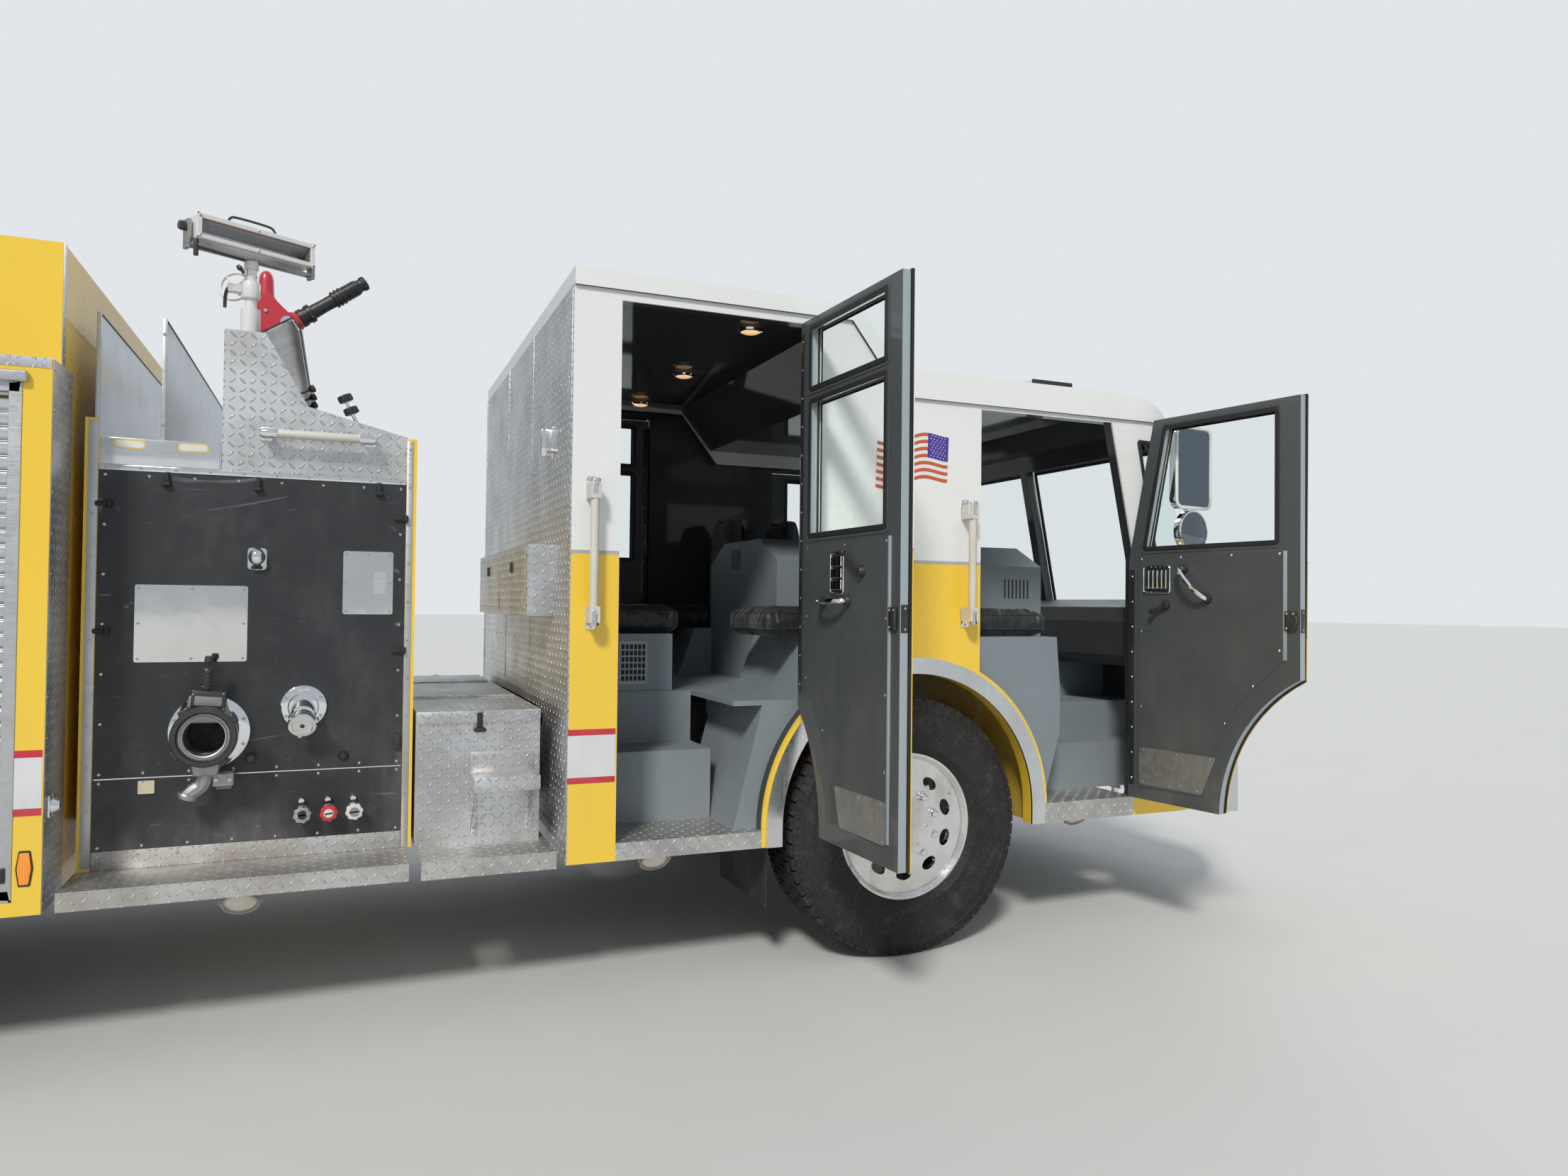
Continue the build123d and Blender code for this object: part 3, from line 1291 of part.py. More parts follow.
# columns: back x, front x, low z of each locker door
locker_table = ((-4270, -3110, low_door_z), (-5690, -4330, 1230), (-6770, -5750, low_door_z))
with BuildPart() as lockers:
    with BuildSketch(Plane.XZ.offset(half_width - locker_depth)):
        with BuildLine():
            Polyline((body_back_x, body_bottom_z), (body_front_x, body_bottom_z), (body_front_x, body_top_z),
                     (body_back_x, body_top_z), close=True)
        make_face()
        with Locations((rear_axle_x, tyre_radius + 20)):
            Circle(rear_arch_radius, mode=Mode.SUBTRACT)
            Rectangle(2 * rear_arch_radius, 300, align=(Align.CENTER, Align.MAX), mode=Mode.SUBTRACT)
    extrude(amount=locker_depth)
    for x0, x1, z0 in locker_table:
        with BuildSketch(Plane.XZ.offset(half_width - recess)):
            with Locations(((x0 + x1) / 2, (z0 + door_top_z) / 2)):
                Rectangle(x1 - x0, door_top_z - z0)
        extrude(amount=recess, mode=Mode.SUBTRACT)
    mirror(about=Plane.XZ)
with BuildPart() as roll_doors:
    for x0, x1, z0 in locker_table:
        with BuildSketch(Plane.XZ.offset(half_width - recess)):
            with Locations(((x0 + x1) / 2, (z0 + door_top_z) / 2)):
                Rectangle(x1 - x0, door_top_z - z0)
        extrude(amount=20)
    mirror(about=Plane.XZ)
    with BuildSketch(Plane.YZ.offset(body_back_x)):
        with Locations((0, 1130)):
            Rectangle(1100, 1140)
    extrude(amount=-20)

# Tank and hose bed between the lockers
inner_body_y = half_width - locker_depth
with BuildPart() as water_tank:
    with BuildSketch(Plane.XY.offset(rail_top_z)):
        plan(body_back_x, body_front_x, -540, 540)
    extrude(amount=1210 - rail_top_z)
    with BuildSketch(Plane.XY.offset(1210)):
        plan(body_back_x, body_front_x, -inner_body_y, inner_body_y)
    extrude(amount=hose_floor_z - 20 - 1210)
with BuildPart() as hose_bed:
    with BuildSketch(Plane.XY.offset(hose_floor_z - 20)):
        plan(body_back_x, body_front_x - 40, -inner_body_y, inner_body_y)
    extrude(amount=20)
    # upper sides on the locker tops
    for side in (-1, 1):
        with BuildSketch(Plane.XY.offset(body_top_z)):
            plan(body_back_x, body_front_x, side * (hose_side_y - 40), side * hose_side_y)
        extrude(amount=hose_side_top_z - body_top_z)
        # inner lining down to the bed's floor
        with BuildSketch(Plane.XY.offset(hose_floor_z)):
            plan(body_back_x, body_front_x, side * (inner_body_y - 10), side * inner_body_y)
        extrude(amount=body_top_z - hose_floor_z)
        with BuildSketch(Plane.XY.offset(body_top_z)):
            plan(body_back_x, body_front_x, side * (inner_body_y - 10), side * (hose_side_y - 40))
        extrude(amount=10)
    # front wall
    with BuildSketch(Plane.XY.offset(body_top_z)):
        plan(body_front_x - 40, body_front_x, -hose_side_y, hose_side_y)
    extrude(amount=hose_side_top_z - body_top_z)
    with BuildSketch(Plane.XY.offset(hose_floor_z - 20)):
        plan(body_front_x - 40, body_front_x, -inner_body_y, inner_body_y)
    extrude(amount=body_top_z - hose_floor_z + 20)

# Tailboard and rear lamps
with BuildPart() as tailboard:
    with BuildSketch(Plane.XY.offset(480)):
        plan(tail_x, body_back_x, -1180, 1180)
    extrude(amount=60)
    with BuildSketch(Plane.XY.offset(540)):
        plan(body_back_x - 12, body_back_x, -1180, 1180)
    extrude(amount=20)
    # brackets under the body
    for side in (-1, 1):
        with BuildSketch(Plane.XY.offset(480)):
            plan(body_back_x, body_back_x + 300, side * (rail_outer_y + 60), side * rail_outer_y)
        extrude(amount=300)
    # lamp housings beside the rear roll door
    for side in (-1, 1):
        with BuildSketch(Plane.YZ.offset(body_back_x)):
            with Locations((side * 900, 860)):
                RectangleRounded(190, 430, 20)
        extrude(amount=-35)

# Mud flaps behind the front wheels
with BuildPart() as mud_flaps:
    flap_x = arch_x - liner_radius
    with BuildSketch(Plane.XY.offset(250)):
        plan(flap_x, flap_x + 6, -half_width + cab_wall + 10, -liner_inner_y - 60)
    extrude(amount=cab_bottom_z + 60 - 250)
    mirror(about=Plane.XZ)

single_pieces = (
    ("chassis_frame", chassis_frame), ("engine_block", engine_block), ("front_axle", front_axle),
    ("rear_axle", rear_axle), ("leaf_springs", leaf_springs), ("front_bumper", front_bumper),
    ("cab_shell", cab_shell), ("windscreen", windscreen), ("cab_roof", cab_roof), ("cab_floor", cab_floor),
    ("cab_steps", cab_steps), ("arch_trims", arch_trims), ("dashboard", dashboard), ("steering_wheel", steering_wheel),
    ("seats", seats), ("cab_handrails", cab_handrails), ("cab_back_plate", cab_back_plate),
    ("front_grille", front_grille), ("light_bar", light_bar), ("walkway_box", walkway_box),
    ("running_boards", running_boards), ("pump_house", pump_house), ("pump_panels", pump_panels),
    ("pump_fittings", pump_fittings), ("control_housing", control_housing), ("crosslay_bed", crosslay_bed),
    ("deck_mounts", deck_mounts), ("gun_elbow", gun_elbow), ("lamp_mast", lamp_mast), ("lockers", lockers), ("roll_doors", roll_doors), ("water_tank", water_tank),
    ("hose_bed", hose_bed), ("tailboard", tailboard), ("mud_flaps", mud_flaps),
)
for name, piece in single_pieces:
    write(piece.part, name)
write(gun_barrel, "gun_barrel")
write(flood_lamp, "flood_lamp")

# Pieces of each side; the right doors stand open and the left ones are shut
for side in ("right", "left"):
    rear_turn = rear_door_open if side == "right" else 0
    front_turn = front_door_open if side == "right" else 0
    write(on_side(rear_door_shut.rotate(rear_hinge, rear_turn), side), f"rear_door_{side}")
    write(on_side(rear_glass_shut.rotate(rear_hinge, rear_turn), side), f"rear_door_glass_{side}")
    write(on_side(front_door_shut.rotate(front_hinge, front_turn), side), f"front_door_{side}")
    write(on_side(front_glass_shut.rotate(front_hinge, front_turn), side), f"front_door_glass_{side}")
    write(on_side(mirror_shut.rotate(front_hinge, front_turn), side), f"mirror_{side}")
    write(on_side(knuckle_shape.part, side), f"knuckle_{side}")
    write(on_side(front_wheel_shape.moved(front_hub), side), f"front_wheel_{side}")
    write(on_side(tyre_shape.moved(front_hub), side), f"front_tyre_{side}")
    write(on_side(dual_wheel_shape.moved(rear_hub), side), f"rear_wheel_{side}")
    write(on_side(dual_tyre_shape.moved(rear_hub), side), f"rear_tyre_{side}")
    write(on_side(lid_shape.part, side), f"bin_lid_{side}")
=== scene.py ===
from math import cos, pi, radians, sin

import bmesh
import bpy
from mathutils import Matrix, Vector


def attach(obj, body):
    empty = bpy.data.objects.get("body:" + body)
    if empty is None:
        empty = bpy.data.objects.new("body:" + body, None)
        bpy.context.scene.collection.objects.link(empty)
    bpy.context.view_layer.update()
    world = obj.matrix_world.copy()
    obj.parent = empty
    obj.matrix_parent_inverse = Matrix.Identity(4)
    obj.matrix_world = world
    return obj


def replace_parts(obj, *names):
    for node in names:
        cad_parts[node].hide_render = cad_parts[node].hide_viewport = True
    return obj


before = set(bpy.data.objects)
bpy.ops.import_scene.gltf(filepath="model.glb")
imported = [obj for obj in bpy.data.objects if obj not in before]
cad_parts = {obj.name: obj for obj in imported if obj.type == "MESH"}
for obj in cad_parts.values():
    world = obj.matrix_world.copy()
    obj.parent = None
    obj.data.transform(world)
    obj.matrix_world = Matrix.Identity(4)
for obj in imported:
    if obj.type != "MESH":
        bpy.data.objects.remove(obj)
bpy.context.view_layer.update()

# The truck's own frame, in metres: X forward from the front axle, Y left of the centreline, Z up.
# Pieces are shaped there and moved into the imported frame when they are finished.
TRUCK = Matrix.Translation((2.575, 0.284, 0))
MIRRORED = Matrix.Diagonal((1, -1, 1, 1))

# Sizes that the pieces share with the solids
HALF_WIDTH = 1.22
DOOR_INNER_Y = -1.174
HINGE_Y = -1.228
REAR_HINGE_X, REAR_OPEN = -0.470, 92
FRONT_HINGE_X, FRONT_OPEN = 1.196, 98
PAINT_LINE_Z = 1.65
TYRE_RADIUS = 0.538
WHEEL_Y = 1.069
REAR_AXLE_X, OUTER_DUAL_Y, DUAL_SPACING = -5.0, 1.064, 0.345
PANEL_Y = -0.96
LAMP_X, LAMP_Y, LAMP_TURN = -2.515, -0.85, 28
GUN_X, GUN_PIVOT_X, GUN_PIVOT_Z, GUN_RISE = -2.522, -2.435, 2.660, 36.8


# Shaping: every part starts as its own bmesh and is set in place in a piece

def face_frame(origin, right, normal):
    """Frame on a face: x along it to the right, y up it, z out of it."""
    right, normal = Vector(right), Vector(normal)
    rows = Matrix((right, normal.cross(right), normal)).transposed()
    return Matrix.Translation(origin) @ rows.to_4x4()


def at(x, y, z=0.0, turn=0.0):
    """Place on a face, turned about its normal."""
    return Matrix.Translation((x, y, z)) @ Matrix.Rotation(radians(turn), 4, "Z")


def upright(axis):
    """Turn that lays a part's own z along one of the truck's axes."""
    return Vector((0, 0, 1)).rotation_difference(Vector(axis)).to_matrix().to_4x4()


def swing(hinge_x, degrees):
    hinge = Matrix.Translation((hinge_x, HINGE_Y, 0))
    return hinge @ Matrix.Rotation(radians(degrees), 4, "Z") @ hinge.inverted()


RIGHT_SIDE = face_frame((0, -HALF_WIDTH, 0), (1, 0, 0), (0, -1, 0))
PUMP_FACE = face_frame((0, PANEL_Y, 0), (1, 0, 0), (0, -1, 0))
FRONT_FACE = face_frame((1.71, 0, 0), (0, 1, 0), (1, 0, 0))
REAR_FACE = face_frame((-6.85, 0, 0), (0, -1, 0), (-1, 0, 0))
CAB_BACK = face_frame((-1.434, 0, 0), (0, -1, 0), (-1, 0, 0))


def round_edges(bm, offset, segments=2, angle=30):
    """Bevel the edges that are sharper than an angle."""
    sharp = [e for e in bm.edges if len(e.link_faces) == 2 and e.calc_face_angle() > radians(angle)]
    bmesh.ops.bevel(bm, geom=sharp, offset=offset, offset_type="OFFSET", affect="EDGES",
                    segments=segments, profile=0.5, material=-1, clamp_overlap=True)
    return bm


def slab(width, height, depth, edge=0.002, segments=2):
    """Plate or block on a face, centred on its place, standing out by its depth."""
    bm = bmesh.new()
    bmesh.ops.create_cube(bm, size=1)
    bmesh.ops.scale(bm, vec=(width, height, depth), verts=bm.verts)
    bmesh.ops.translate(bm, vec=(0, 0, depth / 2), verts=bm.verts)
    return round_edges(bm, edge, segments) if edge else bm


def block(low, high, edge=0.004, segments=2):
    """Block between two corners in the truck's frame."""
    low, high = Vector(low), Vector(high)
    bm = slab(*(high - low), edge=edge, segments=segments)
    middle = (low + high) / 2
    bmesh.ops.translate(bm, vec=(middle.x, middle.y, low.z), verts=bm.verts)
    return bm


def bar(length, radius, tip=None, edge=0.0, steps=20):
    """Round bar along z, from its foot."""
    bm = bmesh.new()
    bmesh.ops.create_cone(bm, cap_ends=True, segments=steps, radius1=radius,
                          radius2=radius if tip is None else tip, depth=length)
    bmesh.ops.translate(bm, vec=(0, 0, length / 2), verts=bm.verts)
    return round_edges(bm, edge, 2, 60) if edge else bm


def turned(profile, steps=32):
    """Solid of revolution about z from (radius, height) points, closed on the axis where it starts or ends there."""
    bm = bmesh.new()
    verts = [bm.verts.new((r, 0, z)) for r, z in profile]
    edges = [bm.edges.new(pair) for pair in zip(verts, verts[1:])]
    bmesh.ops.spin(bm, geom=verts + edges, cent=(0, 0, 0), axis=(0, 0, 1), angle=2 * pi, steps=steps,
                   use_merge=True)
    bmesh.ops.remove_doubles(bm, verts=bm.verts, dist=1e-6)
    bmesh.ops.holes_fill(bm, edges=bm.edges, sides=0)
    return bm


def sheet_metal(corners, depth, rounding=0.0, rim=0.0, edge=0.001, round_steps=4):
    """Sheet with the given outline, its corners rounded; with a rim it is a frame that wide."""
    bm = bmesh.new()
    face = bm.faces.new([bm.verts.new((x, y, 0)) for x, y in corners])
    if rounding:
        bmesh.ops.bevel(bm, geom=bm.verts[:], offset=rounding, offset_type="OFFSET", affect="VERTICES",
                        segments=round_steps, profile=0.5, material=-1)
    bm.normal_update()
    if rim:
        bm.faces.ensure_lookup_table()
        middle = bm.faces[0]
        bmesh.ops.inset_region(bm, faces=[middle], thickness=rim, use_even_offset=True, use_boundary=True)
        bmesh.ops.delete(bm, geom=[middle], context="FACES_ONLY")
    raised = bmesh.ops.extrude_face_region(bm, geom=bm.faces[:])["geom"]
    bmesh.ops.translate(bm, vec=(0, 0, depth), verts=[v for v in raised if isinstance(v, bmesh.types.BMVert)])
    bmesh.ops.recalc_face_normals(bm, faces=bm.faces)
    return round_edges(bm, edge, 1, 60) if edge else bm


def oblong(width, height):
    return ((-width / 2, -height / 2), (width / 2, -height / 2), (width / 2, height / 2), (-width / 2, height / 2))


def pipe(points, radius, rounded=True, resolution=6):
    """Bent bar through a few points: a smooth curve with a round section, as a mesh."""
    curve = bpy.data.curves.new("bend", "CURVE")
    curve.dimensions = "3D"
    curve.bevel_depth = radius
    curve.bevel_resolution = 3
    curve.use_fill_caps = True
    spline = curve.splines.new("NURBS" if rounded else "POLY")
    spline.points.add(len(points) - 1)
    for point, place in zip(spline.points, points):
        point.co = (*place, 1)
    if rounded:
        spline.order_u = 3
        spline.use_endpoint_u = True
        spline.resolution_u = resolution
    holder = bpy.data.objects.new("bend", curve)
    mesh = bpy.data.meshes.new_from_object(holder)
    bm = bmesh.new()
    bm.from_mesh(mesh)
    bpy.data.objects.remove(holder)
    bpy.data.meshes.remove(mesh)
    return bm


def screw(radius=0.006, height=0.003):
    return turned(((0, height), (radius * 0.6, height), (radius, height * 0.3), (radius, -0.001)), 10)


def hexagon_bolt(across=0.02, height=0.010):
    bm = bar(height, across / 2 / cos(pi / 6), steps=6)
    return round_edges(bm, across * 0.06, 1, 50)


class Piece:
    """One finished piece in the making, from parts that may have different finishes."""

    def __init__(self, *finishes):
        self.bm = bmesh.new()
        self.finishes = finishes

    def add(self, part, *places, finish=0):
        mesh = bpy.data.meshes.new("part")
        part.to_mesh(mesh)
        part.free()
        for polygon in mesh.polygons:
            polygon.material_index = finish
        for place in places or (Matrix(),):
            copy = mesh.copy()
            copy.transform(place)
            if place.determinant() < 0:
                copy.flip_normals()
            self.bm.from_mesh(copy)
            bpy.data.meshes.remove(copy)
        bpy.data.meshes.remove(mesh)
        return self

    def done(self, name, body, slot, place=None, angle=35, recalc=True):
        """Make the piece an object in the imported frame, riding on its body."""
        if recalc:
            bmesh.ops.recalc_face_normals(self.bm, faces=self.bm.faces)
        mesh = bpy.data.meshes.new(name)
        self.bm.to_mesh(mesh)
        if place is not None:
            mesh.transform(place)
            if place.determinant() < 0:
                mesh.flip_normals()
        mesh.transform(TRUCK)
        for finish in self.finishes:
            mesh.materials.append(finish)
        mesh.shade_smooth()
        mesh.set_sharp_from_angle(angle=radians(angle))
        made = bpy.data.objects.new(name, mesh)
        bpy.context.scene.collection.objects.link(made)
        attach(made, body)
        return made


# Mixing finishes: short ways to wire nodes

def wire(tree, kind, inputs=None, **settings):
    """Add a node, set it up and feed its inputs with values or other nodes' outputs."""
    node = tree.nodes.new(kind)
    for key, value in settings.items():
        setattr(node, key, value)
    for key, value in (inputs or {}).items():
        socket = node.inputs[key]
        if isinstance(value, bpy.types.NodeSocket):
            tree.links.new(value, socket)
        else:
            socket.default_value = value
    return node


def calc(tree, operation, *values, clamp=False):
    return wire(tree, "ShaderNodeMath", dict(enumerate(values)), operation=operation, use_clamp=clamp).outputs[0]


def fade(tree, value, low, high, to_low=0.0, to_high=1.0):
    """Smooth step of a value between two limits."""
    return wire(tree, "ShaderNodeMapRange", {"Value": value, "From Min": low, "From Max": high, "To Min": to_low,
                                             "To Max": to_high}, interpolation_type="SMOOTHSTEP").outputs[0]


def blend_colours(tree, share, first, second, kind="MIX"):
    node = wire(tree, "ShaderNodeMix", {0: share, 6: first, 7: second}, data_type="RGBA", blend_type=kind)
    return node.outputs[2]


def noise(tree, where, scale, detail=3.0, rough=0.55, stretch=None):
    if stretch:
        where = wire(tree, "ShaderNodeVectorMath", {0: where, 1: stretch}, operation="MULTIPLY").outputs[0]
    return wire(tree, "ShaderNodeTexNoise", {"Vector": where, "Scale": scale, "Detail": detail,
                                             "Roughness": rough}).outputs["Fac"]


def axes_of(tree, vector):
    return wire(tree, "ShaderNodeSeparateXYZ", {0: vector}).outputs


def new_effect(name, takes, gives):
    """Shared effect: a node group with named inputs and outputs."""
    tree = bpy.data.node_groups.new(name, "ShaderNodeTree")
    for label, kind, value in takes:
        socket = tree.interface.new_socket(label, in_out="INPUT", socket_type=kind)
        if value is not None:
            socket.default_value = value
    for label, kind in gives:
        tree.interface.new_socket(label, in_out="OUTPUT", socket_type=kind)
    inside = tree.nodes.new("NodeGroupInput").outputs
    outside = tree.nodes.new("NodeGroupOutput").inputs
    return tree, inside, outside


FLOAT, COLOUR, VECTOR = "NodeSocketFloat", "NodeSocketColor", "NodeSocketVector"


def make_dust():
    """Road dust and wash streaks that gather low down."""
    tree, takes, gives = new_effect("road_dust", (
        ("Colour", COLOUR, (0.5, 0.5, 0.5, 1)), ("Dust", COLOUR, (0.30, 0.25, 0.19, 1)), ("Amount", FLOAT, 0.3),
        ("Low", FLOAT, 0.5), ("High", FLOAT, 1.6)), (("Colour", COLOUR), ("Mask", FLOAT)))
    where = wire(tree, "ShaderNodeTexCoord").outputs["Object"]
    up = axes_of(tree, where)[2]
    gather = wire(tree, "ShaderNodeMapRange", {"Value": up, "From Min": takes["Low"], "From Max": takes["High"],
                                               "To Min": 1.0, "To Max": 0.12}).outputs[0]
    cloud = noise(tree, where, 2.6, 5, 0.62)
    run = noise(tree, where, 9.0, 4, 0.6, (1, 1, 0.14))
    speck = noise(tree, where, 160.0, 2, 0.5)
    patch = calc(tree, "MULTIPLY", fade(tree, cloud, 0.38, 0.72), fade(tree, run, 0.3, 0.75))
    patch = calc(tree, "ADD", patch, calc(tree, "MULTIPLY", fade(tree, speck, 0.62, 0.72), 0.25))
    mask = calc(tree, "MULTIPLY", calc(tree, "MULTIPLY", patch, gather), takes["Amount"], clamp=True)
    tree.links.new(mask, gives["Mask"])
    tree.links.new(blend_colours(tree, mask, takes["Colour"], takes["Dust"]), gives["Colour"])
    return tree


def make_scratches():
    """Fine scratches in three directions."""
    tree, takes, gives = new_effect("scratches", (("Scale", FLOAT, 1.0), ("Amount", FLOAT, 0.5)), (("Mask", FLOAT),))
    where = wire(tree, "ShaderNodeTexCoord").outputs["Object"]
    where = wire(tree, "ShaderNodeVectorMath", {0: where, 3: takes["Scale"]}, operation="SCALE").outputs[0]
    bend = wire(tree, "ShaderNodeTexNoise", {"Vector": where, "Scale": 1.7, "Detail": 1.0}).outputs["Color"]
    where = wire(tree, "ShaderNodeVectorMath", {0: bend, 1: (0.5, 0.5, 0.5), 2: where}, operation="MULTIPLY_ADD").outputs[0]
    total = None
    for turn, stretch in (((0.3, 0.2, 0.9), (3, 60, 60)), ((0.9, 1.4, 0.2), (3, 80, 80)), ((1.5, 0.6, 1.2), (2, 55, 55))):
        turned_where = wire(tree, "ShaderNodeMapping", {"Vector": where, "Rotation": turn, "Scale": stretch}).outputs[0]
        line = fade(tree, noise(tree, turned_where, 1.0, 2, 0.4), 0.72, 0.76)
        total = line if total is None else calc(tree, "MAXIMUM", total, line)
    broken = fade(tree, noise(tree, where, 4.0, 3), 0.42, 0.62)
    tree.links.new(calc(tree, "MULTIPLY", calc(tree, "MULTIPLY", total, broken), takes["Amount"]), gives["Mask"])
    return tree


def make_tread_bars():
    """Raised bars of tread plate, at 45 degrees, crosswise in turn, on whichever way the face looks."""
    tree, takes, gives = new_effect("tread_bars", (("Pitch", FLOAT, 0.032),), (("Height", FLOAT),))
    where = axes_of(tree, wire(tree, "ShaderNodeTexCoord").outputs["Object"])
    facing = axes_of(tree, wire(tree, "ShaderNodeNewGeometry").outputs["True Normal"])
    faces_x = calc(tree, "GREATER_THAN", calc(tree, "ABSOLUTE", facing[0]), 0.6)
    faces_z = calc(tree, "GREATER_THAN", calc(tree, "ABSOLUTE", facing[2]), 0.75)

    def pick(flag, yes, no):
        return wire(tree, "ShaderNodeMix", {0: flag, 2: no, 3: yes}, data_type="FLOAT").outputs[0]

    across = pick(faces_x, where[1], where[0])
    along = pick(faces_z, where[1], where[2])
    along = pick(calc(tree, "MULTIPLY", faces_x, faces_z), where[1], along)
    cells = [calc(tree, "DIVIDE", value, takes["Pitch"]) for value in (across, along)]
    parity = calc(tree, "FLOORED_MODULO", calc(tree, "ADD", *[calc(tree, "FLOOR", c) for c in cells]), 2.0)
    inside = [calc(tree, "SUBTRACT", calc(tree, "FRACT", c), 0.5) for c in cells]
    sum_way = calc(tree, "MULTIPLY", calc(tree, "ADD", *inside), 0.7071)
    cross_way = calc(tree, "MULTIPLY", calc(tree, "SUBTRACT", *inside), 0.7071)
    long_way, short_way = pick(parity, sum_way, cross_way), pick(parity, cross_way, sum_way)
    far = calc(tree, "ADD", calc(tree, "POWER", calc(tree, "MULTIPLY", calc(tree, "ABSOLUTE", long_way), 1 / 0.47), 2.0),
               calc(tree, "MULTIPLY", calc(tree, "ABSOLUTE", short_way), 1 / 0.13))
    tree.links.new(fade(tree, far, 1.0, 0.45), gives["Height"])
    return tree


def make_edge_wear():
    """Rubbed edges: where a rounded normal leaves the true one, broken by noise."""
    tree, takes, gives = new_effect("edge_wear", (("Width", FLOAT, 0.004), ("Amount", FLOAT, 0.8)), (("Mask", FLOAT),))
    soft = wire(tree, "ShaderNodeBevel", {"Radius": takes["Width"]}, samples=4).outputs[0]
    true = wire(tree, "ShaderNodeNewGeometry").outputs["Normal"]
    same = wire(tree, "ShaderNodeVectorMath", {0: soft, 1: true}, operation="DOT_PRODUCT").outputs["Value"]
    rubbed = fade(tree, same, 0.97, 0.80)
    where = wire(tree, "ShaderNodeTexCoord").outputs["Object"]
    broken = fade(tree, noise(tree, where, 35.0, 4, 0.6), 0.42, 0.6)
    tree.links.new(calc(tree, "MULTIPLY", calc(tree, "MULTIPLY", rubbed, broken), takes["Amount"]), gives["Mask"])
    return tree


def make_pebble_grain():
    """Grain of moulded vinyl and textured paint."""
    tree, takes, gives = new_effect("pebble_grain", (("Scale", FLOAT, 300.0),), (("Height", FLOAT),))
    where = wire(tree, "ShaderNodeTexCoord").outputs["Object"]
    cells = wire(tree, "ShaderNodeTexVoronoi", {"Vector": where, "Scale": takes["Scale"]}, feature="SMOOTH_F1").outputs[0]
    tree.links.new(calc(tree, "SUBTRACT", 1.0, cells), gives["Height"])
    return tree


def make_weave():
    """Woven cloth: two sets of threads that pass over each other."""
    tree, takes, gives = new_effect("weave", (("Threads", FLOAT, 900.0),), (("Height", FLOAT),))
    where = axes_of(tree, wire(tree, "ShaderNodeTexCoord").outputs["Object"])
    waves = []
    for first, second in ((0, 2), (1, 2)):
        a = calc(tree, "SINE", calc(tree, "MULTIPLY", where[first], takes["Threads"]))
        b = calc(tree, "SINE", calc(tree, "MULTIPLY", where[second], takes["Threads"]))
        waves.append(calc(tree, "MULTIPLY", a, b))
    tree.links.new(calc(tree, "MAXIMUM", *waves), gives["Height"])
    return tree


dust, scratches, tread_bars = make_dust(), make_scratches(), make_tread_bars()
edge_wear, pebble_grain, weave = make_edge_wear(), make_pebble_grain(), make_weave()


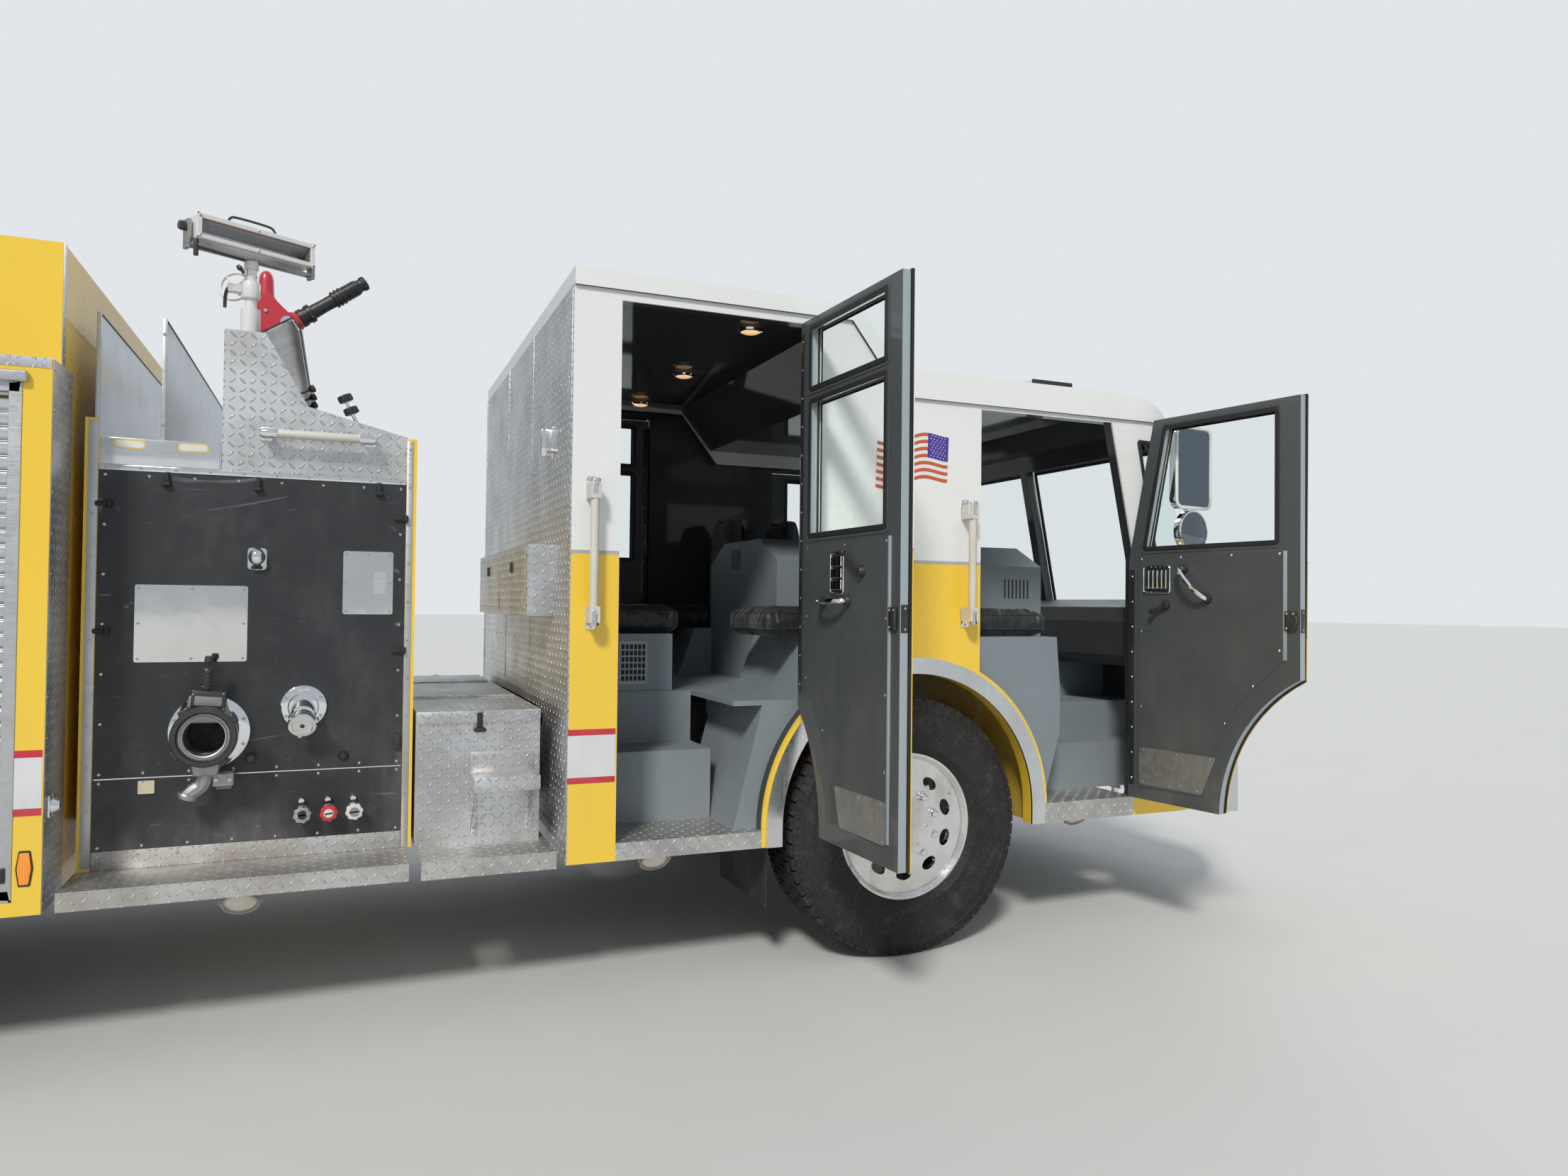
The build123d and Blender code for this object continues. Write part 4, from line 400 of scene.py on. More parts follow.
class Finish:
    """A material in the making, round one Principled shader."""

    def __init__(self, name, colour, roughness, metallic=0.0, **sockets):
        self.material = bpy.data.materials.new(name)
        self.material.use_nodes = True
        self.tree = self.material.node_tree
        self.shader = self.tree.nodes["Principled BSDF"]
        self.shader.inputs["Metallic"].default_value = metallic
        for key, value in sockets.items():
            self.shader.inputs[key.replace("_", " ")].default_value = value
        self.where = wire(self.tree, "ShaderNodeTexCoord").outputs["Object"]
        self.colour = (*colour, 1)
        self.roughness = roughness
        self.height = None
        self.heights = []

    def effect(self, group, **inputs):
        node = wire(self.tree, "ShaderNodeGroup", node_tree=group)
        for key, value in inputs.items():
            if isinstance(value, bpy.types.NodeSocket):
                self.tree.links.new(value, node.inputs[key])
            else:
                node.inputs[key].default_value = value
        return node.outputs

    def over(self, mask, colour):
        """Lay a colour over what is there, where the mask is."""
        colour = colour if isinstance(colour, bpy.types.NodeSocket) else (*colour, 1)
        self.colour = blend_colours(self.tree, mask, self.colour, colour)
        return self

    def rough(self, mask, value):
        """Bring the roughness towards a value where the mask is."""
        self.roughness = wire(self.tree, "ShaderNodeMix", {0: mask, 2: self.roughness, 3: value},
                              data_type="FLOAT").outputs[0]
        return self

    def mottle(self, share=0.06, scale=3.0, rough_share=0.15):
        """Slow change of tone and gloss over the surface."""
        tone = noise(self.tree, self.where, scale, 4, 0.6)
        dark = wire(self.tree, "ShaderNodeMapRange", {"Value": tone, "From Min": 0.3, "From Max": 0.7,
                                                      "To Min": 1 - share, "To Max": 1 + share}).outputs[0]
        shade = wire(self.tree, "ShaderNodeCombineColor", {0: dark, 1: dark, 2: dark}).outputs[0]
        self.colour = blend_colours(self.tree, 1.0, self.colour, shade, "MULTIPLY")
        gloss = noise(self.tree, self.where, scale * 7, 3, 0.6)
        spread = wire(self.tree, "ShaderNodeMapRange", {"Value": gloss, "From Min": 0.3, "From Max": 0.7,
                                                        "To Min": 1 - rough_share, "To Max": 1 + rough_share}).outputs[0]
        self.roughness = calc(self.tree, "MULTIPLY", self.roughness, spread)
        return self

    def dusty(self, amount, low=0.5, high=1.6, dust_colour=(0.30, 0.25, 0.19)):
        out = self.effect(dust, Colour=self.colour, Amount=amount, Low=low, High=high, Dust=(*dust_colour, 1))
        self.colour = out["Colour"]
        return self.rough(out["Mask"], 0.85)

    def relief(self, height, depth, strength=1.0):
        self.heights.append((height, depth, strength))
        return self

    def ready(self):
        tree, shader = self.tree, self.shader
        for key, value in (("Base Color", self.colour), ("Roughness", self.roughness)):
            if isinstance(value, bpy.types.NodeSocket):
                tree.links.new(value, shader.inputs[key])
            else:
                shader.inputs[key].default_value = value
        normal = None
        for height, depth, strength in self.heights:
            bump = wire(tree, "ShaderNodeBump", {"Height": height, "Distance": depth, "Strength": strength})
            if normal:
                tree.links.new(normal, bump.inputs["Normal"])
            normal = bump.outputs[0]
        if normal:
            tree.links.new(normal, shader.inputs["Normal"])
        return self.material


def paint(name, colour, roughness=0.28, dust_amount=0.25, low=0.5, high=1.3):
    """Gloss coach paint with orange peel, road dust and a clear coat."""
    f = Finish(name, colour, roughness, Coat_Weight=0.6, Coat_Roughness=0.06)
    f.mottle(0.015, 1.4)
    f.rough(f.effect(scratches, Scale=0.7, Amount=0.5)["Mask"], 0.5)
    f.dusty(dust_amount, low, high)
    return f.relief(noise(f.tree, f.where, 260.0, 1), 0.0004, 0.25)


def metal(name, colour, roughness, dust_amount=0.2, mottling=0.08, **sockets):
    f = Finish(name, colour, roughness, 1.0, **sockets)
    f.mottle(mottling, 6.0, 0.3)
    f.rough(f.effect(scratches, Scale=1.6, Amount=0.6)["Mask"], min(1.0, roughness + 0.25))
    return f.dusty(dust_amount, 0.4, 1.8)


def plastic(name, colour, roughness=0.5, grain=420.0, grain_depth=0.0003, dust_amount=0.2):
    f = Finish(name, colour, roughness)
    f.mottle(0.08, 5.0)
    f.over(f.effect(scratches, Scale=1.4, Amount=0.22)["Mask"], tuple(min(1, c + 0.12) for c in colour))
    f.dusty(dust_amount, 0.4, 1.8)
    return f.relief(f.effect(pebble_grain, Scale=grain)["Height"], grain_depth, 0.6)


def brushed_metal(name, colour, roughness, grain_way, dust_amount=0.12):
    """Sheet metal with the lines of its rolling or brushing along one axis."""
    f = metal(name, colour, roughness, dust_amount)
    lines = noise(f.tree, f.where, 1.0, 3, 0.7, grain_way)
    f.rough(fade(f.tree, lines, 0.35, 0.7), roughness + 0.18)
    return f.relief(lines, 0.0003, 0.35)


def tread_plate(name, colour=(0.74, 0.75, 0.77), roughness=0.26, dirt=0.45, low=0.4, high=1.4, pitch=0.032):
    """Aluminium tread plate: bars lightened as a painted highlight, and dirt that stays between them."""
    f = Finish(name, colour, roughness, 1.0)
    f.mottle(0.07, 4.0, 0.3)
    bars = f.effect(tread_bars, Pitch=pitch)["Height"]
    valley = calc(f.tree, "SUBTRACT", 1.0, bars)
    grime = calc(f.tree, "MULTIPLY", valley, fade(f.tree, noise(f.tree, f.where, 5.0, 5, 0.65), 0.35, 0.7, 0.05, 0.55))
    f.over(calc(f.tree, "MULTIPLY", grime, 0.8), (0.30, 0.285, 0.26))
    # painted highlight: the raised bars are coloured lighter
    f.over(calc(f.tree, "MULTIPLY", bars, 0.6), (0.92, 0.93, 0.95))
    f.rough(valley, roughness + 0.16)
    f.dusty(dirt, low, high, (0.36, 0.30, 0.23))
    return f.relief(bars, 0.004, 1.0)


def glass(name, tint=(0.92, 0.96, 0.95)):
    """Clear sheet that lets lamps through."""
    f = Finish(name, tint, 0.02, Transmission_Weight=1.0, IOR=1.05, Specular_IOR_Level=0.9)
    made = f.ready()
    clear = wire(f.tree, "ShaderNodeBsdfTransparent", {"Color": (*tint, 1)})
    lamp_ray = wire(f.tree, "ShaderNodeLightPath").outputs["Is Shadow Ray"]
    mix = wire(f.tree, "ShaderNodeMixShader", {0: lamp_ray, 1: f.shader.outputs[0], 2: clear.outputs[0]})
    f.tree.links.new(mix.outputs[0], f.tree.nodes["Material Output"].inputs["Surface"])
    return made


def lens(name, colour, glow=0.0, ribs=0.0):
    """Moulded lamp lens with fine ribs."""
    f = Finish(name, colour, 0.12, Coat_Weight=0.8, Coat_Roughness=0.04, Emission_Strength=glow)
    f.shader.inputs["Emission Color"].default_value = (*colour, 1)
    f.mottle(0.12, 12.0)
    if ribs:
        x = axes_of(f.tree, f.where)
        f.relief(calc(f.tree, "SINE", calc(f.tree, "MULTIPLY", calc(f.tree, "ADD", x[0], x[1]), ribs)), 0.001, 0.6)
    return f.ready()


YELLOW = (0.90, 0.60, 0.045)
WHITE = (0.80, 0.81, 0.80)
BLUE_GREY = (0.225, 0.265, 0.295)
DARK_GREY = (0.070, 0.078, 0.082)
EDGE_TONE = (0.33, 0.39, 0.42)


def cab_paint():
    """White over yellow outside with a grey tape line between, dark trim inside, and yellow in the arches, darkened
    there as painted shade.
    """
    f = paint("cab_paint", WHITE, 0.26, 0.4, 0.5, 1.3)
    f.heights.clear()
    tree = f.tree
    x, y, z = axes_of(tree, f.where)
    x = calc(tree, "SUBTRACT", x, 2.575)
    y = calc(tree, "ABSOLUTE", calc(tree, "SUBTRACT", y, 0.284))
    f.colour = (*WHITE, 1)
    low = calc(tree, "LESS_THAN", z, PAINT_LINE_Z)
    f.over(low, YELLOW)
    tape = calc(tree, "LESS_THAN", calc(tree, "ABSOLUTE", calc(tree, "SUBTRACT", z, PAINT_LINE_Z)), 0.007)
    f.over(tape, (0.42, 0.43, 0.44))
    f.mottle(0.015, 1.4)
    f.dusty(0.22, 0.4, 1.2)
    lean = calc(tree, "MULTIPLY", fade(tree, z, 1.3, 2.34, 0.0, 1.0), 0.20)
    corner_x = calc(tree, "MAXIMUM", calc(tree, "SUBTRACT", calc(tree, "ADD", x, lean), 1.46), 0.0)
    corner_y = calc(tree, "MAXIMUM", calc(tree, "SUBTRACT", y, 0.97), 0.0)
    depth = calc(tree, "SQRT", calc(tree, "ADD", calc(tree, "POWER", corner_x, 2.0), calc(tree, "POWER", corner_y, 2.0)))
    inside = calc(tree, "LESS_THAN", depth, 0.240)
    inside = calc(tree, "MULTIPLY", inside, calc(tree, "GREATER_THAN", x, -1.42))
    # the arch liners keep the yellow
    across = calc(tree, "SUBTRACT", x, 0.02)
    far = calc(tree, "SQRT", calc(tree, "ADD", calc(tree, "POWER", across, 2.0),
                                  calc(tree, "POWER", calc(tree, "MAXIMUM", calc(tree, "SUBTRACT", z, 0.58), 0.0), 2.0)))
    liner = calc(tree, "LESS_THAN", far, 0.66)
    inside = calc(tree, "MULTIPLY", inside, calc(tree, "SUBTRACT", 1.0, liner))
    f.over(inside, (0.026, 0.028, 0.032))
    f.rough(inside, 0.6)
    # painted shade: the arch liners take a darker yellow than the paint
    f.over(calc(tree, "MULTIPLY", liner, calc(tree, "LESS_THAN", depth, 0.18)), (0.62, 0.40, 0.035))
    return f.relief(noise(tree, f.where, 260.0, 1), 0.0004, 0.2).ready()


def body_paint():
    """Yellow lockers, dark inside their wheel arches."""
    f = paint("body_paint", YELLOW, 0.26, 0.25, 0.4, 1.2)
    f.heights.clear()
    tree = f.tree
    x, y, z = axes_of(tree, f.where)
    y = calc(tree, "ABSOLUTE", calc(tree, "SUBTRACT", y, 0.284))
    hidden = calc(tree, "MULTIPLY", calc(tree, "LESS_THAN", y, 1.215), calc(tree, "LESS_THAN", z, 1.16))
    end_wall = calc(tree, "ABSOLUTE", axes_of(tree, wire(tree, "ShaderNodeNewGeometry").outputs["True Normal"])[0])
    hidden = calc(tree, "MULTIPLY", hidden, calc(tree, "LESS_THAN", end_wall, 0.9))
    f.over(hidden, (0.03, 0.03, 0.032))
    f.rough(hidden, 0.7)
    return f.relief(noise(tree, f.where, 260.0, 1), 0.0004, 0.2).ready()


def door_finish(name, hinge_x, degrees, side):
    """Door slab: dark textured trim inside, pale enamel and the rubber seal on its edges, coach paint outside."""
    f = paint(name, WHITE, 0.3, 0.4, 0.5, 1.3)
    f.heights.clear()
    tree = f.tree
    hinge = TRUCK @ Vector((hinge_x, side * abs(HINGE_Y), 0))
    shut = wire(tree, "ShaderNodeVectorRotate", {"Vector": f.where, "Center": hinge, "Angle": radians(-degrees)},
                rotation_type="Z_AXIS").outputs[0]
    depth = calc(tree, "ABSOLUTE", calc(tree, "SUBTRACT", axes_of(tree, shut)[1], 0.284))
    height = axes_of(tree, f.where)[2]
    f.colour = (*WHITE, 1)
    f.over(calc(tree, "LESS_THAN", height, PAINT_LINE_Z), YELLOW)
    f.over(calc(tree, "LESS_THAN", calc(tree, "ABSOLUTE", calc(tree, "SUBTRACT", height, PAINT_LINE_Z)), 0.007),
           (0.42, 0.43, 0.44))
    f.mottle(0.03, 1.4)
    f.over(calc(tree, "LESS_THAN", depth, 1.2160), (0.018, 0.018, 0.019))
    f.over(calc(tree, "LESS_THAN", depth, 1.2050), EDGE_TONE)
    trim = calc(tree, "LESS_THAN", depth, 1.1748)
    f.over(trim, DARK_GREY)
    f.rough(trim, 0.5)
    f.dusty(0.35, 0.5, 1.3)
    return f.relief(f.effect(pebble_grain, Scale=520.0)["Height"], 0.0003, 0.35).ready()


def slatted_shutter():
    """Roll-up curtain: rounded slats with a dark groove between them."""
    f = brushed_metal("shutter_alloy", (0.62, 0.64, 0.67), 0.30, (5, 5, 700))
    slat = calc(f.tree, "ABSOLUTE", calc(f.tree, "SUBTRACT", calc(f.tree, "FRACT", calc(
        f.tree, "DIVIDE", axes_of(f.tree, f.where)[2], 0.045)), 0.5))
    f.over(fade(f.tree, slat, 0.455, 0.485), (0.05, 0.052, 0.055))
    return f.relief(fade(f.tree, slat, 0.5, 0.28), 0.006, 1.0).ready()


def roof_paint():
    """White roof outside; near-black on every face that looks down: felt inside the cab, painted shade under the outer
    overhangs.
    """
    f = paint("roof_paint", WHITE, 0.26, 0.05, 0.5, 2.4)
    down = calc(f.tree, "LESS_THAN", axes_of(f.tree, wire(f.tree, "ShaderNodeNewGeometry").outputs["True Normal"])[2], -0.35)
    # down-facing faces: felt inside the cab, painted shade on the outer overhangs
    f.over(down, (0.022, 0.023, 0.026))
    return f.rough(down, 0.9).ready()


def tyre_finish():
    f = Finish("tyre_rubber", (0.020, 0.020, 0.021), 0.72, Specular_IOR_Level=0.35)
    f.mottle(0.2, 9.0, 0.1)
    f.over(fade(f.tree, noise(f.tree, f.where, 14.0, 5, 0.6), 0.5, 0.75, 0, 0.5), (0.075, 0.068, 0.060))
    f.over(fade(f.tree, noise(f.tree, f.where, 90.0, 3, 0.6), 0.55, 0.7, 0, 0.3), (0.12, 0.105, 0.09))
    return f.relief(noise(f.tree, f.where, 240.0, 3), 0.0008, 0.5).ready()


def black_panel_finish():
    """Black laminate, scuffed and dusty low down."""
    f = Finish("panel_laminate", (0.022, 0.024, 0.028), 0.42)
    f.mottle(0.2, 2.4, 0.25)
    f.over(f.effect(scratches, Scale=0.55, Amount=0.55)["Mask"], (0.20, 0.21, 0.23))
    f.over(f.effect(scratches, Scale=1.9, Amount=0.30)["Mask"], (0.12, 0.125, 0.135))
    smear = fade(f.tree, noise(f.tree, f.where, 3.2, 6, 0.68, (1, 1, 0.6)), 0.46, 0.74, 0, 0.45)
    f.over(smear, (0.075, 0.078, 0.084))
    f.dusty(0.55, 0.55, 1.25, (0.26, 0.25, 0.24))
    return f.relief(noise(f.tree, f.where, 420.0, 2), 0.0003, 0.35).ready()


def speckled_grey():
    """Blue-grey hammered paint of the steps and housings inside the cab."""
    f = Finish("interior_speckle", BLUE_GREY, 0.55)
    f.mottle(0.06, 3.0)
    f.over(fade(f.tree, noise(f.tree, f.where, 420.0, 2, 0.7), 0.56, 0.66, 0, 0.35), (0.34, 0.39, 0.42))
    f.over(f.effect(scratches, Scale=0.9, Amount=0.3)["Mask"], (0.10, 0.11, 0.12))
    f.dusty(0.45, 0.55, 1.1)
    return f.relief(noise(f.tree, f.where, 380.0, 2), 0.0005, 0.4).ready()


def seat_vinyl():
    f = Finish("seat_vinyl", (0.020, 0.021, 0.023), 0.48, Sheen_Weight=0.15)
    f.mottle(0.2, 8.0, 0.2)
    f.over(fade(f.tree, noise(f.tree, f.where, 25.0, 4), 0.55, 0.75, 0, 0.4), (0.06, 0.062, 0.066))
    return f.relief(f.effect(pebble_grain, Scale=520.0)["Height"], 0.0005, 0.7).ready()


def seat_cloth():
    f = Finish("seat_cloth", (0.075, 0.082, 0.092), 0.85, Sheen_Weight=0.4)
    f.mottle(0.15, 9.0)
    threads = f.effect(weave, Threads=1500.0)["Height"]
    f.over(calc(f.tree, "MULTIPLY", threads, 0.35), (0.14, 0.15, 0.17))
    return f.relief(threads, 0.0005, 0.6).ready()


def aged_chrome(name="chrome", roughness=0.06):
    f = Finish(name, (0.86, 0.87, 0.88), roughness, 1.0)
    f.mottle(0.04, 14.0, 0.4)
    f.rough(fade(f.tree, noise(f.tree, f.where, 60.0, 4), 0.56, 0.75, 0, 0.6), 0.35)
    return f.relief(noise(f.tree, f.where, 8.0, 2), 0.0006, 0.15).ready()


def reflective(name, colour):
    """Reflective sheeting with its fine cells."""
    f = Finish(name, colour, 0.35, Coat_Weight=0.5)
    f.mottle(0.05, 6.0)
    cells = wire(f.tree, "ShaderNodeTexVoronoi", {"Vector": f.where, "Scale": 330.0}, feature="DISTANCE_TO_EDGE").outputs[0]
    f.over(fade(f.tree, cells, 0.10, 0.02, 0, 0.3), tuple(c * 0.6 for c in colour))
    return f.dusty(0.3, 0.6, 1.4).ready()


CAB_PAINT, BODY_PAINT, TYRE, LAMINATE = cab_paint(), body_paint(), tyre_finish(), black_panel_finish()
SPECKLE, VINYL, CLOTH, CHROME = speckled_grey(), seat_vinyl(), seat_cloth(), aged_chrome()
YELLOW_PAINT = paint("yellow_paint", YELLOW).ready()
ROOF_PAINT = roof_paint()
WHITE_PAINT = paint("white_paint", WHITE, 0.26, 0.15, 0.5, 2.8).ready()
TREAD = tread_plate("tread_plate").ready()
TREAD_WORN = tread_plate("tread_plate_worn", (0.70, 0.69, 0.67), 0.34, 0.9, 0.3, 0.9).ready()
STAINLESS = brushed_metal("stainless", (0.72, 0.73, 0.74), 0.16, (500, 500, 6)).ready()
BRIGHT_SHEET = brushed_metal("bright_sheet", (0.80, 0.81, 0.82), 0.10, (6, 400, 400)).ready()
DULL_ALLOY = brushed_metal("dull_alloy", (0.58, 0.59, 0.60), 0.36, (6, 420, 420), 0.35).ready()
SHUTTER = slatted_shutter()
WHEEL_ALLOY = metal("wheel_alloy", (0.80, 0.80, 0.79), 0.17, 0.5, 0.10).ready()
GALVANISED = metal("galvanised", (0.48, 0.49, 0.50), 0.42, 0.4, 0.18).ready()
BLACK_STEEL = paint("black_steel", (0.018, 0.018, 0.019), 0.45, 0.8, 0.2, 1.2).ready()
IRON = paint("axle_iron", (0.045, 0.043, 0.042), 0.6, 1.0, 0.2, 1.1).ready()
ENGINE_GREY = paint("engine_grey", (0.16, 0.17, 0.18), 0.5, 0.6, 0.5, 1.5).ready()
RUBBER = plastic("black_rubber", (0.016, 0.016, 0.017), 0.62, 700.0).ready()
BLACK_PLASTIC = plastic("black_plastic", (0.022, 0.022, 0.024), 0.42).ready()
DOOR_TRIM = plastic("door_trim", DARK_GREY, 0.46, 520.0, 0.0004, 0.28).ready()
HEADLINER = plastic("headliner", (0.045, 0.048, 0.054), 0.9, 260.0, 0.0008).ready()
DASH_PLASTIC = plastic("dash_plastic", (0.030, 0.032, 0.036), 0.6).ready()
IVORY = plastic("ivory_grip", (0.62, 0.60, 0.54), 0.5, 380.0, 0.0004).ready()
TANK_PLASTIC = plastic("tank_plastic", (0.42, 0.43, 0.42), 0.6).ready()
RED_POWDER = paint("red_powder", (0.56, 0.022, 0.040), 0.34, 0.15, 2.0, 3.0).ready()
WHITE_ENAMEL = paint("white_enamel", (0.74, 0.75, 0.75), 0.30, 0.15, 2.0, 3.0).ready()
TAPE_WHITE = reflective("reflective_white", (0.72, 0.73, 0.75))
TAPE_RED = reflective("reflective_red", (0.58, 0.012, 0.045))
AMBER = lens("amber_lens", (0.90, 0.28, 0.02), 0.15, 900.0)
RED_LENS = lens("red_lens", (0.62, 0.012, 0.010), 0.05, 900.0)
CLEAR_LENS = lens("clear_lens", (0.66, 0.68, 0.70), 0.0, 700.0)
WARM_LENS = lens("warm_lens", (1.0, 0.62, 0.30), 0.9, 900.0)
PALE_LENS = lens("pale_lens", (0.78, 0.72, 0.60), 0.0, 1100.0)
GLASS = glass("window_glass")
DOOR_EDGE = plastic("door_edge_paint", EDGE_TONE, 0.38, 500.0, 0.0002, 0.2).ready()
SCREW_STEEL = metal("screw_steel", (0.62, 0.63, 0.64), 0.28, 0.3).ready()
KICK_SHEET = brushed_metal("kick_sheet", (0.55, 0.55, 0.54), 0.40, (300, 300, 6), 0.75).ready()
BELT_RED = Finish("belt_web", (0.20, 0.012, 0.022), 0.7).mottle(0.1, 20.0)
BELT_RED = BELT_RED.relief(BELT_RED.effect(weave, Threads=1400.0)["Height"], 0.0004, 0.6).ready()
CAST_GREY = metal("cast_alloy", (0.42, 0.42, 0.41), 0.46, 0.3, 0.12)
CAST_GREY = CAST_GREY.relief(noise(CAST_GREY.tree, CAST_GREY.where, 420.0, 2), 0.0006, 0.5).ready()
# near-black of the painted shade in bores, vent holes and slits; the gauge face uses it too
OPENING_SHADE_BLACK = plastic("opening_shade_black", (0.006, 0.006, 0.006), 0.7).ready()
RED_PLASTIC = plastic("red_knob", (0.55, 0.03, 0.03), 0.4).ready()
WHITE_PLASTIC = plastic("white_knob", (0.66, 0.66, 0.64), 0.4).ready()
LABEL_WHITE = plastic("label_white", (0.72, 0.72, 0.70), 0.4, dust_amount=0.3).ready()
LABEL_CREAM = plastic("label_cream", (0.66, 0.58, 0.42), 0.4, dust_amount=0.4).ready()
LABEL_GREY = plastic("label_grey", (0.24, 0.25, 0.26), 0.35, dust_amount=0.3).ready()
TAPE_YELLOW = plastic("label_yellow", (0.80, 0.56, 0.04), 0.4).ready()
MIRROR_PLATE = metal("mirror_plate", (0.80, 0.79, 0.77), 0.05, 0.25, 0.05)
MIRROR_PLATE = MIRROR_PLATE.relief(noise(MIRROR_PLATE.tree, MIRROR_PLATE.where, 5.0, 2), 0.002, 0.25).ready()
REFLECTOR = brushed_metal("lamp_reflector", (0.55, 0.56, 0.57), 0.30, (120, 120, 2)).ready()
LAMP_GASKET = plastic("lamp_gasket", (0.30, 0.13, 0.09), 0.6).ready()
DECAL_RED = paint("decal_red", (0.55, 0.10, 0.03), 0.35, 0.1).ready()
DECAL_WHITE = paint("decal_white", (0.76, 0.76, 0.76), 0.35, 0.1).ready()
DECAL_BLUE = paint("decal_blue", (0.055, 0.030, 0.30), 0.35, 0.1).ready()
# painted reflection: the mirror glass is darkened to stand for the dark surroundings it shows
MIRROR = Finish("mirror_glass_painted_reflection", (0.20, 0.23, 0.26), 0.02, 1.0).mottle(0.02, 3.0, 0.4).ready()
MIRROR_SHELL = plastic("mirror_shell", (0.70, 0.71, 0.70), 0.35, 500.0, 0.0001, 0.1).ready()

# Finishes of the CAD nodes whose shapes stay
NODE_FINISHES = {
    "chassis_frame": BLACK_STEEL, "engine_block": ENGINE_GREY, "front_axle": IRON, "rear_axle": IRON,
    "leaf_springs": IRON, "front_bumper": STAINLESS, "cab_shell": CAB_PAINT, "windscreen": GLASS,
    "cab_roof": ROOF_PAINT, "cab_floor": SPECKLE, "cab_steps": TREAD_WORN, "arch_trims": STAINLESS,
    "dashboard": DASH_PLASTIC, "steering_wheel": BLACK_PLASTIC, "seats": VINYL, "cab_handrails": IVORY,
    "cab_back_plate": TREAD, "front_grille": CHROME, "light_bar": CLEAR_LENS, "walkway_box": TREAD,
    "running_boards": TREAD_WORN, "pump_house": YELLOW_PAINT, "pump_panels": LAMINATE, "pump_fittings": CHROME,
    "control_housing": TREAD, "crosslay_bed": BRIGHT_SHEET, "deck_mounts": WHITE_ENAMEL, "gun_elbow": RED_POWDER,
    "gun_barrel": BLACK_PLASTIC, "lamp_mast": WHITE_ENAMEL, "flood_lamp": WHITE_ENAMEL, "lockers": BODY_PAINT,
    "roll_doors": SHUTTER, "water_tank": TANK_PLASTIC, "hose_bed": YELLOW_PAINT, "tailboard": TREAD_WORN,
    "mud_flaps": RUBBER,
}
DOOR_PAINTS = {
    ("rear", "right"): door_finish("rear_door_paint_right", REAR_HINGE_X, REAR_OPEN, -1),
    ("front", "right"): door_finish("front_door_paint_right", FRONT_HINGE_X, FRONT_OPEN, -1),
    ("rear", "left"): door_finish("door_paint_left", REAR_HINGE_X, 0, 1),
}
DOOR_PAINTS["front", "left"] = DOOR_PAINTS["rear", "left"]
for side in ("right", "left"):
    NODE_FINISHES.update({
        f"rear_door_{side}": DOOR_PAINTS["rear", side], f"rear_door_glass_{side}": GLASS,
        f"front_door_{side}": DOOR_PAINTS["front", side],
        f"front_door_glass_{side}": GLASS, f"mirror_{side}": CHROME, f"knuckle_{side}": IRON,
        f"front_wheel_{side}": WHEEL_ALLOY, f"front_tyre_{side}": TYRE, f"rear_wheel_{side}": WHEEL_ALLOY,
        f"rear_tyre_{side}": TYRE, f"bin_lid_{side}": TREAD,
    })
for name, finish in NODE_FINISHES.items():
    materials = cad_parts[name].data.materials
    if not materials:
        materials.append(finish)
    for index in range(len(materials)):
        materials[index] = finish


# Doors: seals, skins, window rubbers, trim, handles, latches and kick plates
DOORS = {"rear": (REAR_HINGE_X, REAR_OPEN), "front": (FRONT_HINGE_X, FRONT_OPEN)}
REAR_WINDOWS = (((0.095, 1.733), (0.672, 1.733), (0.672, 2.260), (0.095, 2.260)),
                ((0.095, 2.308), (0.672, 2.308), (0.672, 2.550), (0.095, 2.550)))
FRONT_WINDOWS = (((0.092, 1.735), (0.745, 1.735), (0.745, 2.272), (0.205, 2.272)),)
TRIM_OUT = 0.0


def arc(x, y, radius, first, last, steps=14):
    """Points of an arc, the way a compass draws it."""
    turns = (radians(first + (last - first) * i / steps) for i in range(steps + 1))
    return [(x + radius * cos(a), y + radius * sin(a)) for a in turns]


def spaced(first, last, count):
    """Places in a row on a face."""
    first, last = Vector(first).to_3d(), Vector(last).to_3d()
    return [Matrix.Translation(first.lerp(last, i / (count - 1))) for i in range(count)]


def grown(corners, amount):
    """Convex outline moved outwards."""
    middle = Vector((sum(c[0] for c in corners), sum(c[1] for c in corners))) / len(corners)
    return [(x + amount * (1 if x > middle.x else -1), y + amount * (1 if y > middle.y else -1)) for x, y in corners]


def door_inside(kind):
    """Frame on a door's inner face: x is the distance from the hinge, y is the height."""
    return face_frame((DOORS[kind][0], DOOR_INNER_Y, 0), (-1, 0, 0), (0, 1, 0))


def door_outside(kind):
    return face_frame((DOORS[kind][0], -HALF_WIDTH, 0), (1, 0, 0), (0, -1, 0)) @ Matrix.Diagonal((-1, 1, 1, 1))


def door_outline(kind, out):
    """Outline of a door with its wheel-arch cut, moved outwards at the free edges."""
    if kind == "rear":
        return [(0.008, 2.588 + out), (0.008, 1.062), *arc(-0.490, 0.580, 0.693 - out, 44, 0, 12)[1:],
                (0.772 + out, 0.580 - out * 0.4), (0.772 + out, 2.588 + out)]
    return [(0.008, 1.690), (0.008, 0.600 - out * 0.4), *arc(1.176, 0.580, 0.693 - out, 178, 119, 12),
            (0.843 + out, 2.314 + out), (0.150, 2.314 + out)]


def on_pair(kind, name, slot, build, angle=35):
    """The same fitting on the right and the left door of a pair."""
    hinge_x, degrees = DOORS[kind]
    for side, place in (("right", swing(hinge_x, degrees)), ("left", MIRRORED)):
        build(side).done(f"{kind}_door_{name}_{side}", f"{kind}_door_body_{side}", slot, place=place, angle=angle)


